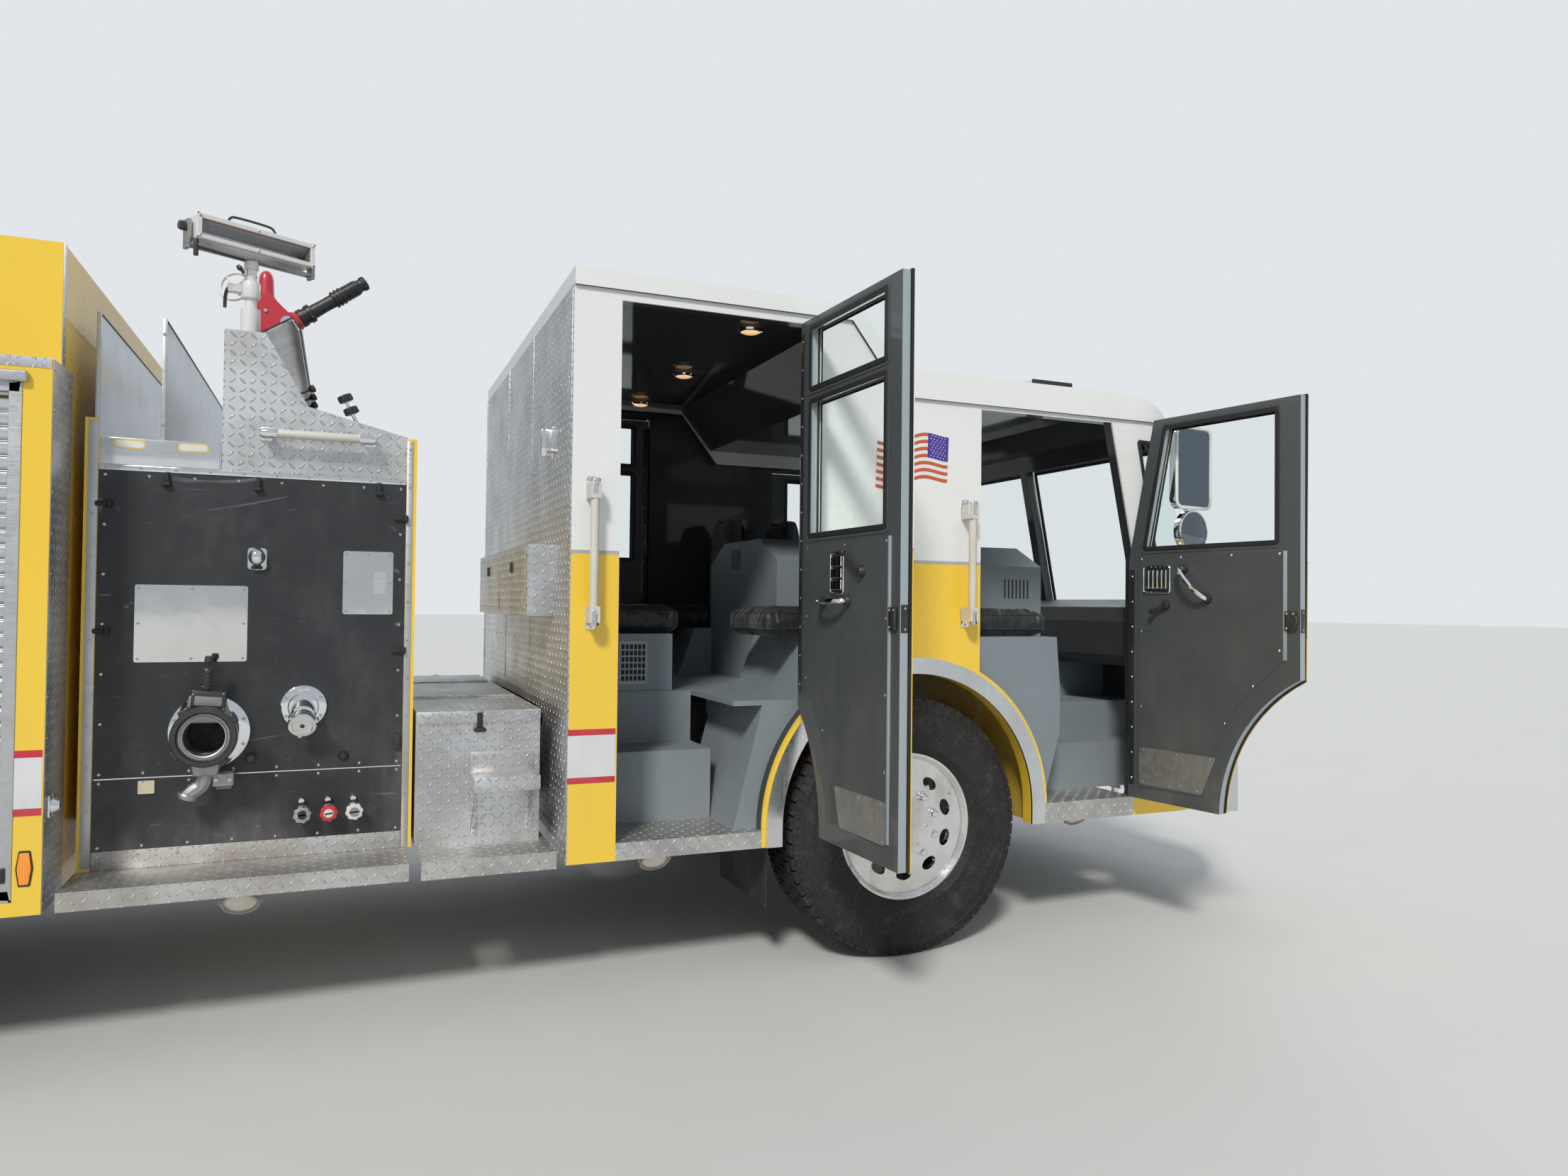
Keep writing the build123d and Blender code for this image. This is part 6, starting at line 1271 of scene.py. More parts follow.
def suction_valve():
    x, z = -2.606, 1.007
    here = on_panel(x, z)
    piece = Piece(CHROME, CAST_GREY, BLACK_STEEL, SCREW_STEEL, OPENING_SHADE_BLACK, RUBBER, LABEL_GREY)
    piece.add(turned(((0.070, 0.006), (0.074, 0.011), (0.118, 0.012), (0.124, 0.009), (0.127, 0.003), (0.127, -0.001),
                      (0.070, -0.001), (0.070, 0.006)), 72), here)
    piece.add(screw(0.0055, 0.003), *[here @ Matrix.Rotation(radians(45 * i + 22), 4, "Z") @ Matrix.Translation((0.113, 0, 0.0115))
                                      for i in range(8)], finish=3)
    piece.add(turned(((0.062, 0.038), (0.062, 0.010), (0.073, 0.010), (0.073, 0.044), (0.082, 0.046), (0.088, 0.052),
                      (0.088, 0.094), (0.092, 0.096), (0.092, 0.110), (0.086, 0.114), (0.078, 0.118), (0.078, 0.130),
                      (0.062, 0.130), (0.062, 0.038)), 56), here, finish=1)
    # painted shade: near-black disc down the valve's bore
    piece.add(bar(0.003, 0.064, steps=40), here @ at(0, 0, 0.040), finish=4)
    ring = ((0.081, 0.131), (0.095, 0.131), (0.099, 0.136), (0.099, 0.144), (0.096, 0.146), (0.096, 0.152),
            (0.099, 0.154), (0.099, 0.168), (0.095, 0.172), (0.083, 0.172), (0.081, 0.168), (0.081, 0.131))
    piece.add(turned(ring, 64), here, finish=2)
    piece.add(turned(((0.062, 0.128), (0.081, 0.128), (0.081, 0.160), (0.077, 0.163), (0.074, 0.158), (0.070, 0.158),
                      (0.067, 0.164), (0.062, 0.162), (0.062, 0.128)), 56), here, finish=1)
    lug = slab(0.022, 0.036, 0.030, 0.005, 3)
    piece.add(lug, *[here @ Matrix.Rotation(radians(35 + 90 * i), 4, "Z") @ Matrix.Translation((0.101, 0, 0.138))
                     for i in range(4)], finish=2)
    # gear case with its cover plate, tilted, and the hand grip over it
    case = sheet_metal([(-0.066, 0.040), (-0.052, 0.134), (0.052, 0.134), (0.066, 0.040)], 0.060, 0.010, 0, 0.004)
    piece.add(case, here @ at(0, 0, 0.052), finish=1)
    piece.add(slab(0.104, 0.070, 0.040, 0.006, 3), here @ at(0.006, 0.112, 0.078, -5), finish=2)
    piece.add(slab(0.080, 0.030, 0.0015, 0.0005), here @ at(0.006, 0.114, 0.118, -5), finish=6)
    piece.add(screw(0.004), *[here @ at(0.006 + dx, 0.112 + dy, 0.118, -5) for dx, dy in
                              ((-0.045, 0.026), (0.045, 0.026), (-0.045, -0.026), (0.045, -0.026))], finish=3)
    grip = [(0, 0.086), (0.010, 0.086), (0.014, 0.082)]
    for i in range(5):
        high = 0.076 - i * 0.013
        grip += [(0.0155, high), (0.0155, high - 0.006), (0.0125, high - 0.0075), (0.0125, high - 0.0115)]
    grip += [(0.0125, 0.006), (0.022, 0.004), (0.022, 0)]
    stand = here @ Matrix.Translation((-0.004, 0.138, 0.084)) @ upright((0.06, 1, 0.1))
    piece.add(turned(grip, 24), stand, finish=2)
    piece.add(turned(((0, 0.128), (0.0105, 0.126), (0.0125, 0.118), (0.0125, 0.108), (0.009, 0.104), (0.006, 0.086),
                      (0, 0.086)), 20), stand, finish=2)
    piece.add(pipe(((-0.070, 0.010, 0.075), (-0.088, 0.050, 0.085), (-0.062, 0.110, 0.095)), 0.007), here, finish=5)
    # lower case, relief elbow turned down to the left, its flange block and a drain cock
    low = sheet_metal([(-0.050, -0.060), (-0.036, -0.136), (0.036, -0.136), (0.050, -0.060)], 0.060, 0.008, 0, 0.004)
    piece.add(low, here @ at(0, 0, 0.052), finish=1)
    piece.add(pipe(((0, -0.120, 0.082), (-0.002, -0.168, 0.082), (-0.040, -0.190, 0.082), (-0.052, -0.206, 0.082)), 0.0265), here,
              finish=1)
    piece.add(turned(((0.020, 0.004), (0.020, 0.018), (0.031, 0.018), (0.033, 0.014), (0.033, 0.004), (0.031, 0), (0.020, 0.0)), 32),
              here @ Matrix.Translation((-0.049, -0.196, 0.082)) @ upright((-0.35, -1, 0)), finish=1)
    piece.add(slab(0.064, 0.046, 0.040, 0.005, 3), here @ at(0.052, -0.152, 0.058), finish=1)
    piece.add(hexagon_bolt(0.014, 0.007), *[here @ at(0.052 + dx, -0.152, 0.098) for dx in (-0.020, 0.020)], finish=3)
    piece.add(turned(((0, 0.024), (0.012, 0.022), (0.016, 0.017), (0.016, 0.006), (0.012, 0.002), (0.010, -0.03)), 16),
              here @ at(0.128, -0.096, 0.0), finish=2)
    return piece


def discharge():
    piece = Piece(CHROME, SCREW_STEEL, BRIGHT_SHEET, BLACK_STEEL)
    here = on_panel(-2.315, 1.085)
    piece.add(turned(((0.030, 0.010), (0.068, 0.012), (0.074, 0.009), (0.076, 0.003), (0.076, -0.001), (0.030, -0.001)), 56), here)
    piece.add(screw(0.005), *[here @ Matrix.Rotation(radians(60 * i + 30), 4, "Z") @ Matrix.Translation((0.064, 0, 0.0115))
                              for i in range(6)], finish=1)
    piece.add(slab(0.034, 0.018, 0.0015, 0.0005), here @ at(0, 0.062, 0.0125), finish=2)
    piece.add(turned(((0.020, 0.040), (0.046, 0.038), (0.050, 0.034), (0.050, 0.011), (0.020, 0.011)), 48), here)
    droop = here @ at(0, 0, 0.012) @ Matrix.Rotation(radians(32), 4, "X")
    neck = ((0, 0.010), (0.041, 0.012), (0.041, 0.050), (0.038, 0.054), (0.034, 0.056), (0.034, 0.072), (0.038, 0.074),
            (0.041, 0.077), (0.041, 0.086), (0.0445, 0.087), (0.0465, 0.090), (0.0465, 0.106), (0.044, 0.111), (0.034, 0.112),
            (0.032, 0.110), (0, 0.110))
    piece.add(turned(neck, 48), droop)
    piece.add(slab(0.010, 0.012, 0.022, 0.002), *[droop @ Matrix.Rotation(radians(120 * i + 20), 4, "Z")
                                                  @ Matrix.Translation((0.049, 0, 0.087)) for i in range(3)])
    piece.add(screw(0.008, 0.004), droop @ at(0, 0, 0.110), finish=3)
    return piece


def drain_knobs():
    piece = Piece(CHROME, CAST_GREY, BLACK_PLASTIC, RED_PLASTIC, WHITE_PLASTIC)
    # columns: x, finish of the knob, finish of its middle
    for x, rim, middle in ((-2.312, 1, 2), (-2.227, 3, 4), (-2.144, 4, 1)):
        here = on_panel(x, 0.712)
        piece.add(turned(((0.010, 0.042), (0.012, 0.020), (0.022, 0.004), (0.026, -0.001)), 24), here)
        piece.add(lobed(0.030, 0.020), here @ at(0, 0, 0.040, 11), finish=rim)
        piece.add(turned(((0, 0.004), (0.014, 0.004), (0.016, 0.0)), 24), here @ at(0, 0, 0.060), finish=middle)
        piece.add(slab(0.034, 0.007, 0.004, 0.001), here @ at(0, 0, 0.060, 8), finish=4 if rim != 4 else 3)
        piece.add(turned(((0, 0.020), (0.009, 0.018), (0.012, 0.010), (0.012, -0.001)), 20), here @ at(-0.004, 0.042))
    return piece


def grab_rail():
    piece = Piece(IVORY, CHROME, SCREW_STEEL)
    y = -1.010
    run = bar(0.340, 0.0155, edge=0.002, steps=28)
    piece.add(run, Matrix.Translation((-2.450, y, 2.039)) @ upright((1, 0, 0)))
    for x, way in ((-2.449, 1), (-2.111, -1)):
        foot = Matrix.Translation((x, -0.951, 2.039)) @ upright((0, -1, 0))
        piece.add(slab(0.038, 0.042, 0.010, 0.004, 3), foot, finish=1)
        piece.add(slab(0.030, 0.034, 0.052, 0.010, 4), foot @ at(0, 0, 0.004), finish=1)
        piece.add(turned(((0, 0.018), (0.016, 0.016), (0.019, 0.010), (0.019, -0.036), (0.0165, -0.038)), 28),
                  Matrix.Translation((x, y, 2.039)) @ upright((-way, 0, 0)), finish=1)
    return piece


def plates():
    """Mirror-finish cover plates with their screws, the seam and edge strips, latches and small plates."""
    piece = Piece(MIRROR_PLATE, SCREW_STEEL, BRIGHT_SHEET, RUBBER, DULL_ALLOY, LABEL_CREAM, LABEL_GREY, TREAD_WORN, CHROME,
                  BLACK_PLASTIC)
    for x0, x1, z0, z1, rows in ((-2.835, -2.497, 1.246, 1.508, 3), (-2.195, -2.026, 1.412, 1.640, 3)):
        middle = ((x0 + x1) / 2, (z0 + z1) / 2)
        piece.add(sheet_metal(oblong(x1 - x0, z1 - z0), 0.0016, 0.008, 0, 0.0005), on_panel(*middle))
        edge = 0.012
        spots = [(x, z) for x in (x0 + edge, (x0 + x1) / 2, x1 - edge) for z in (z0 + edge, middle[1], z1 - edge)
                 if (x, z) != middle]
        piece.add(screw(0.0045), *[on_panel(*spot, 0.0014) for spot in spots], finish=1)
    piece.add(sheet_metal(oblong(0.046, 0.082), 0.0015, 0.006, 0, 0.0005), on_panel(-2.072, 1.528, 0.0016), finish=2)
    # strips: seam between the panels, trim over them, screwed edges at the posts, tread plate kick strip
    piece.add(slab(0.950, 0.0035, 0.0012, 0), on_panel(-2.465, 0.860), finish=2)
    piece.add(slab(0.956, 0.018, 0.0030, 0.001), on_panel(-2.465, 1.897), finish=2)
    piece.add(screw(0.0045), *[on_panel(-2.465, 1.897, 0.003) @ p for p in spaced((-0.46, 0), (0.46, 0), 10)], finish=1)
    piece.add(slab(0.028, 1.480, 0.0030, 0.001), on_panel(-2.9600, 1.310), finish=4)
    piece.add(slab(0.022, 1.490, 0.0030, 0.001), on_panel(-1.9735, 1.306), finish=4)
    piece.add(screw(0.005), *[on_panel(x, 0, 0.003) @ p for x in (-2.960, -1.9735) for p in spaced((0, 0.62), (0, 2.02), 11)],
              finish=1)
    piece.add(slab(0.956, 0.062, 0.0035, 0.001), on_panel(-2.465, 0.5915), finish=7)
    piece.add(screw(0.005), *[on_panel(-2.465, 0.605, 0.0035) @ p for p in spaced((-0.46, 0), (0.46, 0), 9)], finish=1)
    # screws round both panels
    for z0, z1, rows in ((0.634, 0.846, 2), (0.876, 1.872, 7)):
        for x in (-2.926, -2.004):
            piece.add(screw(0.0055), *[on_panel(x, 0) @ p for p in spaced((0, z0), (0, z1), rows)], finish=1)
        for z in (z0, z1):
            piece.add(screw(0.0055), *[on_panel(0, z) @ p for p in spaced((-2.80, 0), (-2.13, 0), 6)], finish=1)
    # rubber latches
    for x, z, turn in ((-2.748, 1.866, 0), (-2.471, 1.864, 0), (-2.078, 1.868, 0), (-2.929, 1.775, 90), (-2.929, 1.351, 90),
                       (-2.003, 1.763, 90), (-2.004, 1.280, 90)):
        piece.add(slab(0.016, 0.046, 0.012, 0.004, 3), on_panel(x, z, 0.001, turn), finish=3)
        piece.add(slab(0.026, 0.014, 0.018, 0.004, 3), on_panel(x, z, 0.001, turn) @ at(0, -0.018), finish=3)
    # hooded lamp over the suction side, small plates beside the relief elbow, cable gland
    lamp = on_panel(-2.471, 1.603)
    piece.add(sheet_metal(oblong(0.062, 0.078), 0.006, 0.014, 0, 0.002), lamp, finish=8)
    piece.add(turned(((0, 0.040), (0.014, 0.037), (0.024, 0.026), (0.027, 0.012), (0.027, -0.001)), 32), lamp @ at(0, 0.006, 0.004)
              @ Matrix.Diagonal((1, 1.2, 1, 1)), finish=8)
    piece.add(slab(0.036, 0.012, 0.012, 0.003), lamp @ at(0, -0.030, 0.004), finish=9)
    for x, z, finish in ((-2.790, 0.828, 5), (-2.560, 0.830, 6)):
        piece.add(sheet_metal(oblong(0.056, 0.052), 0.0015, 0.004, 0, 0), on_panel(x, z), finish=9)
        piece.add(sheet_metal(oblong(0.048, 0.044), 0.0022, 0.003, 0, 0), on_panel(x, z), finish=finish)
    piece.add(turned(((0, 0.012), (0.012, 0.012), (0.016, 0.006), (0.018, -0.001)), 20), on_panel(-2.183, 0.905), finish=9)
    piece.add(slab(0.020, 0.050, 0.016, 0.003), on_panel(-2.004, 0.950), finish=9)
    return piece


def top_rail():
    """Stainless front of the hose tray over the panel, with its two blank plates."""
    piece = Piece(BRIGHT_SHEET, LABEL_WHITE, TAPE_YELLOW, SCREW_STEEL, DULL_ALLOY)
    side = face_frame((0, -0.950, 0), (1, 0, 0), (0, -1, 0))
    piece.add(slab(0.386, 0.090, 0.003, 0.001), side @ at(-2.7865, 1.953))
    for x in (-2.859, -2.672):
        piece.add(sheet_metal(oblong(0.092, 0.030), 0.0012, 0.013, 0, 0), side @ at(x, 1.978, 0.003), finish=2)
        piece.add(sheet_metal(oblong(0.084, 0.022), 0.0018, 0.010, 0, 0), side @ at(x, 1.978, 0.003), finish=1)
    # capped edges of the two dividers
    for x in (-2.955, -2.765):
        piece.add(slab(0.014, 0.420, 0.005, 0.002), face_frame((x, -0.940, 2.205), (1, 0, 0), (0, -1, 0)), finish=4)
        piece.add(slab(0.012, 1.880, 0.005, 0.002), face_frame((x, 0, 2.4095), (1, 0, 0), (0, 0, 1)), finish=4)
        piece.add(screw(0.006), *[face_frame((x, -0.945, z), (1, 0, 0), (0, -1, 0)) for z in (2.05, 2.36)], finish=3)
    return piece


both_sides(suction_valve(), "suction_valve", "chassis", "polished_steel", replaces="pump_fittings")
both_sides(discharge(), "discharge_outlet", "chassis", "polished_steel")
both_sides(drain_knobs(), "drain_knobs", "chassis", "polished_steel")
both_sides(grab_rail(), "grab_rail", "chassis", "rail_ivory")
both_sides(plates(), "panel_plates", "chassis", "polished_steel")
both_sides(top_rail(), "tray_front", "chassis", "brushed")

# Controls: dark gauge face, lit gauges, visor edge and the hand wheels on the deck
GAUGE_FACE = face_frame((-2.4135, 0, 2.272), (0, 1, 0), (0.883, 0, 0.468))
controls = Piece(BLACK_PLASTIC, CHROME, WARM_LENS, WHITE_ENAMEL, SCREW_STEEL, OPENING_SHADE_BLACK)
controls.add(slab(1.870, 0.252, 0.0025, 0.001), GAUGE_FACE, finish=5)
gauge_spots = [GAUGE_FACE @ at(-0.756 + 0.168 * i, 0.018, 0.0025) for i in range(10)]
controls.add(turned(((0.034, 0.004), (0.037, 0.013), (0.041, 0.012), (0.0425, 0.006), (0.0425, -0.001), (0.034, -0.001)), 36),
             *gauge_spots, finish=1)
controls.add(turned(((0, 0.005), (0.035, 0.005), (0.036, 0)), 32), *gauge_spots, finish=2)
tick = slab(0.0014, 0.006, 0.0007, 0, 1)
controls.add(tick, *[spot @ at(0, 0, 0.005) @ Matrix.Rotation(radians(30 * i), 4, "Z") @ at(0, 0.029)
                     for spot in gauge_spots for i in range(-4, 5)])
controls.add(slab(0.0018, 0.026, 0.0012, 0, 1), *[spot @ at(0, 0, 0.0056) @ Matrix.Rotation(radians(35 * (i % 5) - 60), 4, "Z")
                                                  @ at(0, 0.009) for i, spot in enumerate(gauge_spots)])
lever = turned(((0, 0.085), (0.013, 0.082), (0.015, 0.070), (0.010, 0.062), (0.0045, 0.058), (0.0045, 0)), 16)
controls.add(lever, *[GAUGE_FACE @ at(-0.84 + 0.168 * i, -0.080, 0.002) for i in range(11)], finish=0)
visor = [(-2.474, 2.374), (-2.474, 2.410), (-2.375, 2.4745), (-2.346, 2.429), (-2.350, 2.4265), (-2.376, 2.468), (-2.471, 2.406),
         (-2.471, 2.374)]
controls.add(sheet_metal(visor, 1.846, 0, 0, 0), Matrix.Translation((0, 0.923, 0)) @ Matrix.Rotation(pi / 2, 4, "X"))
controls.add(slab(1.846, 0.004, 0.003, 0.001), face_frame((-2.3465, 0, 2.430), (0, 1, 0), (0.85, 0, -0.52)), finish=3)
for x, z, y in ((-2.150, 2.098, -0.902), (-2.150, 2.098, 0.60)):
    rod = Matrix.Translation((x, y, z)) @ upright((-0.42, 0, 0.9))
    controls.add(bar(0.125, 0.007), rod, finish=1)
    for low in (0.052, 0.100):
        ridged = lobed(0.026, 0.024, 12, 0.07)
        controls.add(ridged, rod @ at(0, 0, low))
controls.done("gauge_controls", "chassis", "frame_black")

# Deck gun: red body and waterways, black barrel with its rings and notched tip
gun = Piece(RED_POWDER, CHROME, BLACK_STEEL, WHITE_ENAMEL, BLACK_PLASTIC)
stand = Matrix.Translation((GUN_X, 0, 0))
gun.add(turned(((0, 2.8905), (0.009, 2.889), (0.020, 2.882), (0.027, 2.868), (0.030, 2.850), (0.034, 2.760), (0.037, 2.672),
                (0.048, 2.640), (0.051, 2.602), (0.051, 2.590), (0, 2.590))), stand)
gun.add(turned(((0, 2.6205), (0.050, 2.620), (0.056, 2.612), (0.056, 2.600), (0.0535, 2.597), (0.056, 2.594), (0.056, 2.5615),
                (0, 2.5615)), 40), stand, finish=2)
cheek = [(-0.040, 2.584), (0.046, 2.584), (0.087, 2.614), *arc(0.087, 2.660, 0.046, -88, 86, 10), (0.050, 2.745),
         *arc(0.004, 2.735, 0.044, 50, 178, 8)]
plate = sheet_metal([(x - 0.001, z) for x, z in cheek], 0.027, 0, 0, 0.005)
for y in (0.0715, -0.0445):
    gun.add(plate.copy(), stand @ face_frame((0, y, 0), (1, 0, 0), (0, -1, 0)))
plate.free()
gun.add(block((GUN_X - 0.040, -0.071, 2.5845), (GUN_X + 0.046, 0.071, 2.618), 0.006), finish=0)
for way in (-1, 1):
    side = Matrix.Translation((0, way * 0.0715, 0)) @ upright((0, way, 0))
    for x, z in ((0.003, 2.7), (-0.028, 2.62), (-0.028, 2.76), (0.03, 2.62)):
        gun.add(hexagon_bolt(0.014, 0.006), Matrix.Translation((GUN_X + x, 0, z)) @ side, finish=1)
    pivot = Matrix.Translation((GUN_PIVOT_X, 0, GUN_PIVOT_Z)) @ side
    gun.add(turned(((0, 0.010), (0.020, 0.009), (0.026, 0.004), (0.026, -0.001)), 24), pivot, finish=1)
# hand wheel with its spinner behind, lever below, valve knob above
wheel = Matrix.Translation((-2.642, -0.010, 2.806)) @ upright((-0.35, -0.90, 0.20))
ring = [(0.062 + 0.0080 * cos(a), 0.0080 * sin(a)) for a in (2 * pi * i / 10 for i in range(11))]
gun.add(pipe(((-2.560, 0.012, 2.760), (-2.600, 0.025, 2.775), (-2.628, 0.028, 2.798)), 0.018), finish=3)
gun.add(turned(ring, 40), wheel, finish=3)
gun.add(turned(((0, 0.010), (0.016, 0.009), (0.018, 0), (0.018, -0.040), (0, -0.042)), 20), wheel, finish=3)
for i in range(4):
    gun.add(bar(0.062, 0.0055), wheel @ Matrix.Rotation(radians(90 * i + 20), 4, "Z") @ Matrix.Translation((0.008, 0, 0)) @ upright((1, 0, 0)), finish=3)
gun.add(turned(((0, 0.048), (0.010, 0.044), (0.012, 0.034), (0.008, 0.018), (0.007, 0.0)), 16), wheel @ at(0.052, 0.050, 0.004), finish=4)
gun.add(pipe(((GUN_X + 0.03, -0.078, 2.63), (GUN_X + 0.10, -0.085, 2.60), (GUN_X + 0.13, -0.088, 2.56)), 0.006), finish=1)
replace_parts(gun.done("gun_body", "gun_swivel", "gun_red"), "gun_elbow")

barrel_way = Vector((cos(radians(GUN_RISE)), 0, sin(radians(GUN_RISE))))
barrel_at = Matrix.Translation((GUN_PIVOT_X, 0, GUN_PIVOT_Z)) @ upright(barrel_way)
line = [(0.0, 0.0), (0.034, 0.0), (0.034, 0.058), (0.039, 0.060), (0.039, 0.080), (0.035, 0.082), (0.035, 0.096),
        (0.039, 0.098), (0.039, 0.118), (0.030, 0.121), (0.028, 0.180), (0.029, 0.224)]
for start in (0.226, 0.244, 0.262):
    line += [(0.033, start), (0.037, start + 0.002), (0.037, start + 0.010), (0.033, start + 0.012), (0.0325, start + 0.016)]
for start in (0.282, 0.290, 0.300, 0.312, 0.322, 0.332):
    line += [(0.0325, start), (0.0345, start + 0.002), (0.0345, start + 0.005), (0.0325, start + 0.007)]
line += [(0.032, 0.348), (0.028, 0.352), (0.0265, 0.362), (0.0275, 0.370), (0.0285, 0.388), (0.0265, 0.3905), (0.0215, 0.389),
         (0.020, 0.384), (0.020, 0.250), (0, 0.250)]
barrel = Piece(BLACK_PLASTIC, RED_POWDER, CHROME)
barrel.add(turned(line, 48), barrel_at)
barrel.add(slab(0.007, 0.012, 0.018, 0.0015), *[barrel_at @ Matrix.Rotation(radians(40 * i), 4, "Z")
                                                @ Matrix.Translation((0.0275, 0, 0.3690)) for i in range(9)])
barrel.add(slab(0.012, 0.016, 0.020, 0.003), *[barrel_at @ Matrix.Rotation(radians(90 * i + 45), 4, "Z")
                                               @ Matrix.Translation((0.038, 0, 0.099)) for i in range(4)])
barrel.add(turned(((0.034, 0.002), (0.0425, 0.004), (0.0425, 0.046), (0.037, 0.057), (0.034, 0.057), (0.034, 0.002)), 40), barrel_at, finish=1)
barrel.add(bar(0.086, 0.042, edge=0.004, steps=36), Matrix.Translation((GUN_PIVOT_X, 0.043, GUN_PIVOT_Z)) @ upright((0, -1, 0)), finish=1)
barrel.add(turned(((0, 0.012), (0.012, 0.010), (0.014, 0.004), (0.012, -0.002), (0, -0.002)), 16), barrel_at
           @ Matrix.Translation((-0.034, 0, 0.035)) @ upright((-1, 0, 0)))
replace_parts(barrel.done("gun_barrel_ringed", "gun_nozzle", "frame_black"), "gun_barrel")

# Flood lamp: yoke, frame with corner screws, gasket, ribbed reflector and the bent handle
HEAD = Matrix.Translation((LAMP_X, LAMP_Y, 0)) @ Matrix.Rotation(radians(LAMP_TURN), 4, "Z")
FRONT = HEAD @ face_frame((0, -0.055, 2.737), (1, 0, 0), (0, -1, 0))
head = Piece(WHITE_ENAMEL, SCREW_STEEL, REFLECTOR, LAMP_GASKET, BLACK_STEEL, CAST_GREY)
head.add(sheet_metal(oblong(0.408, 0.086), 0.012, 0.006, 0.016, 0.002), FRONT @ at(0, 0, -0.012))
head.add(sheet_metal(oblong(0.378, 0.056), 0.004, 0.004, 0.004, 0), FRONT @ at(0, 0, -0.010), finish=3)
head.add(sheet_metal(oblong(0.404, 0.082), 0.098, 0.005, 0.003, 0.001), FRONT @ at(0, 0, -0.110))
head.add(slab(0.400, 0.078, 0.003, 0), FRONT @ at(0, 0, -0.110))
for way in (-1, 1):
    head.add(slab(0.384, 0.052, 0.003, 0), FRONT @ at(0, way * 0.020, -0.052) @ Matrix.Rotation(radians(way * 52), 4, "X"), finish=2)
    head.add(slab(0.014, 0.100, 0.040, 0.003), HEAD @ Matrix.Translation((way * 0.215, 0, 2.712)) @ Matrix.Rotation(pi / 2, 4, "X")
             @ at(0, 0, -0.020), finish=5)
head.add(slab(0.340, 0.010, 0.010, 0.003), FRONT @ at(0, 0, -0.075), finish=2)
head.add(screw(0.005), *[FRONT @ at(x, y) for x in (-0.196, 0, 0.196) for y in (-0.035, 0.035)], finish=1)
head.add(block((-0.222, -0.020, 2.672), (0.222, 0.020, 2.680), 0.002), HEAD, finish=5)
head.add(turned(((0, 2.672), (0.022, 2.671), (0.024, 2.660), (0.024, 2.6415), (0, 2.6415))), HEAD)
head.add(pipe(((-0.088, 0, 2.779), (-0.080, 0, 2.812), (-0.050, 0, 2.817), (0.050, 0, 2.817), (0.080, 0, 2.812), (0.088, 0, 2.779)),
              0.0045), HEAD, finish=4)
head.add(turned(((0, 0.022), (0.014, 0.020), (0.017, 0.012), (0.015, 0)), 20), HEAD @ Matrix.Translation((-0.222, 0, 2.737))
         @ upright((-1, 0, 0)), finish=4)
head.add(pipe(((-0.030, -0.010, 2.668), (-0.110, -0.020, 2.668), (-0.198, -0.030, 2.668)), 0.005), HEAD, finish=4)
head.add(bar(0.060, 0.008, edge=0.002), HEAD @ Matrix.Translation((-0.198, -0.030, 2.636)), finish=4)
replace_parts(head.done("flood_lamp_head", "lamp_head", "lamp_white"), "flood_lamp")

collars = Piece(WHITE_ENAMEL, BLACK_STEEL, CHROME)
mast = Matrix.Translation((LAMP_X, LAMP_Y, 0))
collars.add(turned(((0.019, 2.600), (0.028, 2.598), (0.031, 2.590), (0.031, 2.545), (0.028, 2.537), (0.019, 2.535), (0.019, 2.600)), 32), mast)
collars.add(slab(0.030, 0.034, 0.045, 0.005), mast @ Matrix.Translation((-0.028, 0, 2.570)) @ upright((-1, 0, 0)))
collars.add(pipe(((-0.070, 0, 2.572), (-0.084, 0.004, 2.560), (-0.082, 0.004, 2.500)), 0.006), mast, finish=1)
collars.add(turned(((0.019, 2.642), (0.022, 2.640), (0.022, 2.618), (0.019, 2.616), (0.019, 2.642)), 28), mast, finish=2)
collars.done("mast_collars", "mast", "lamp_white")

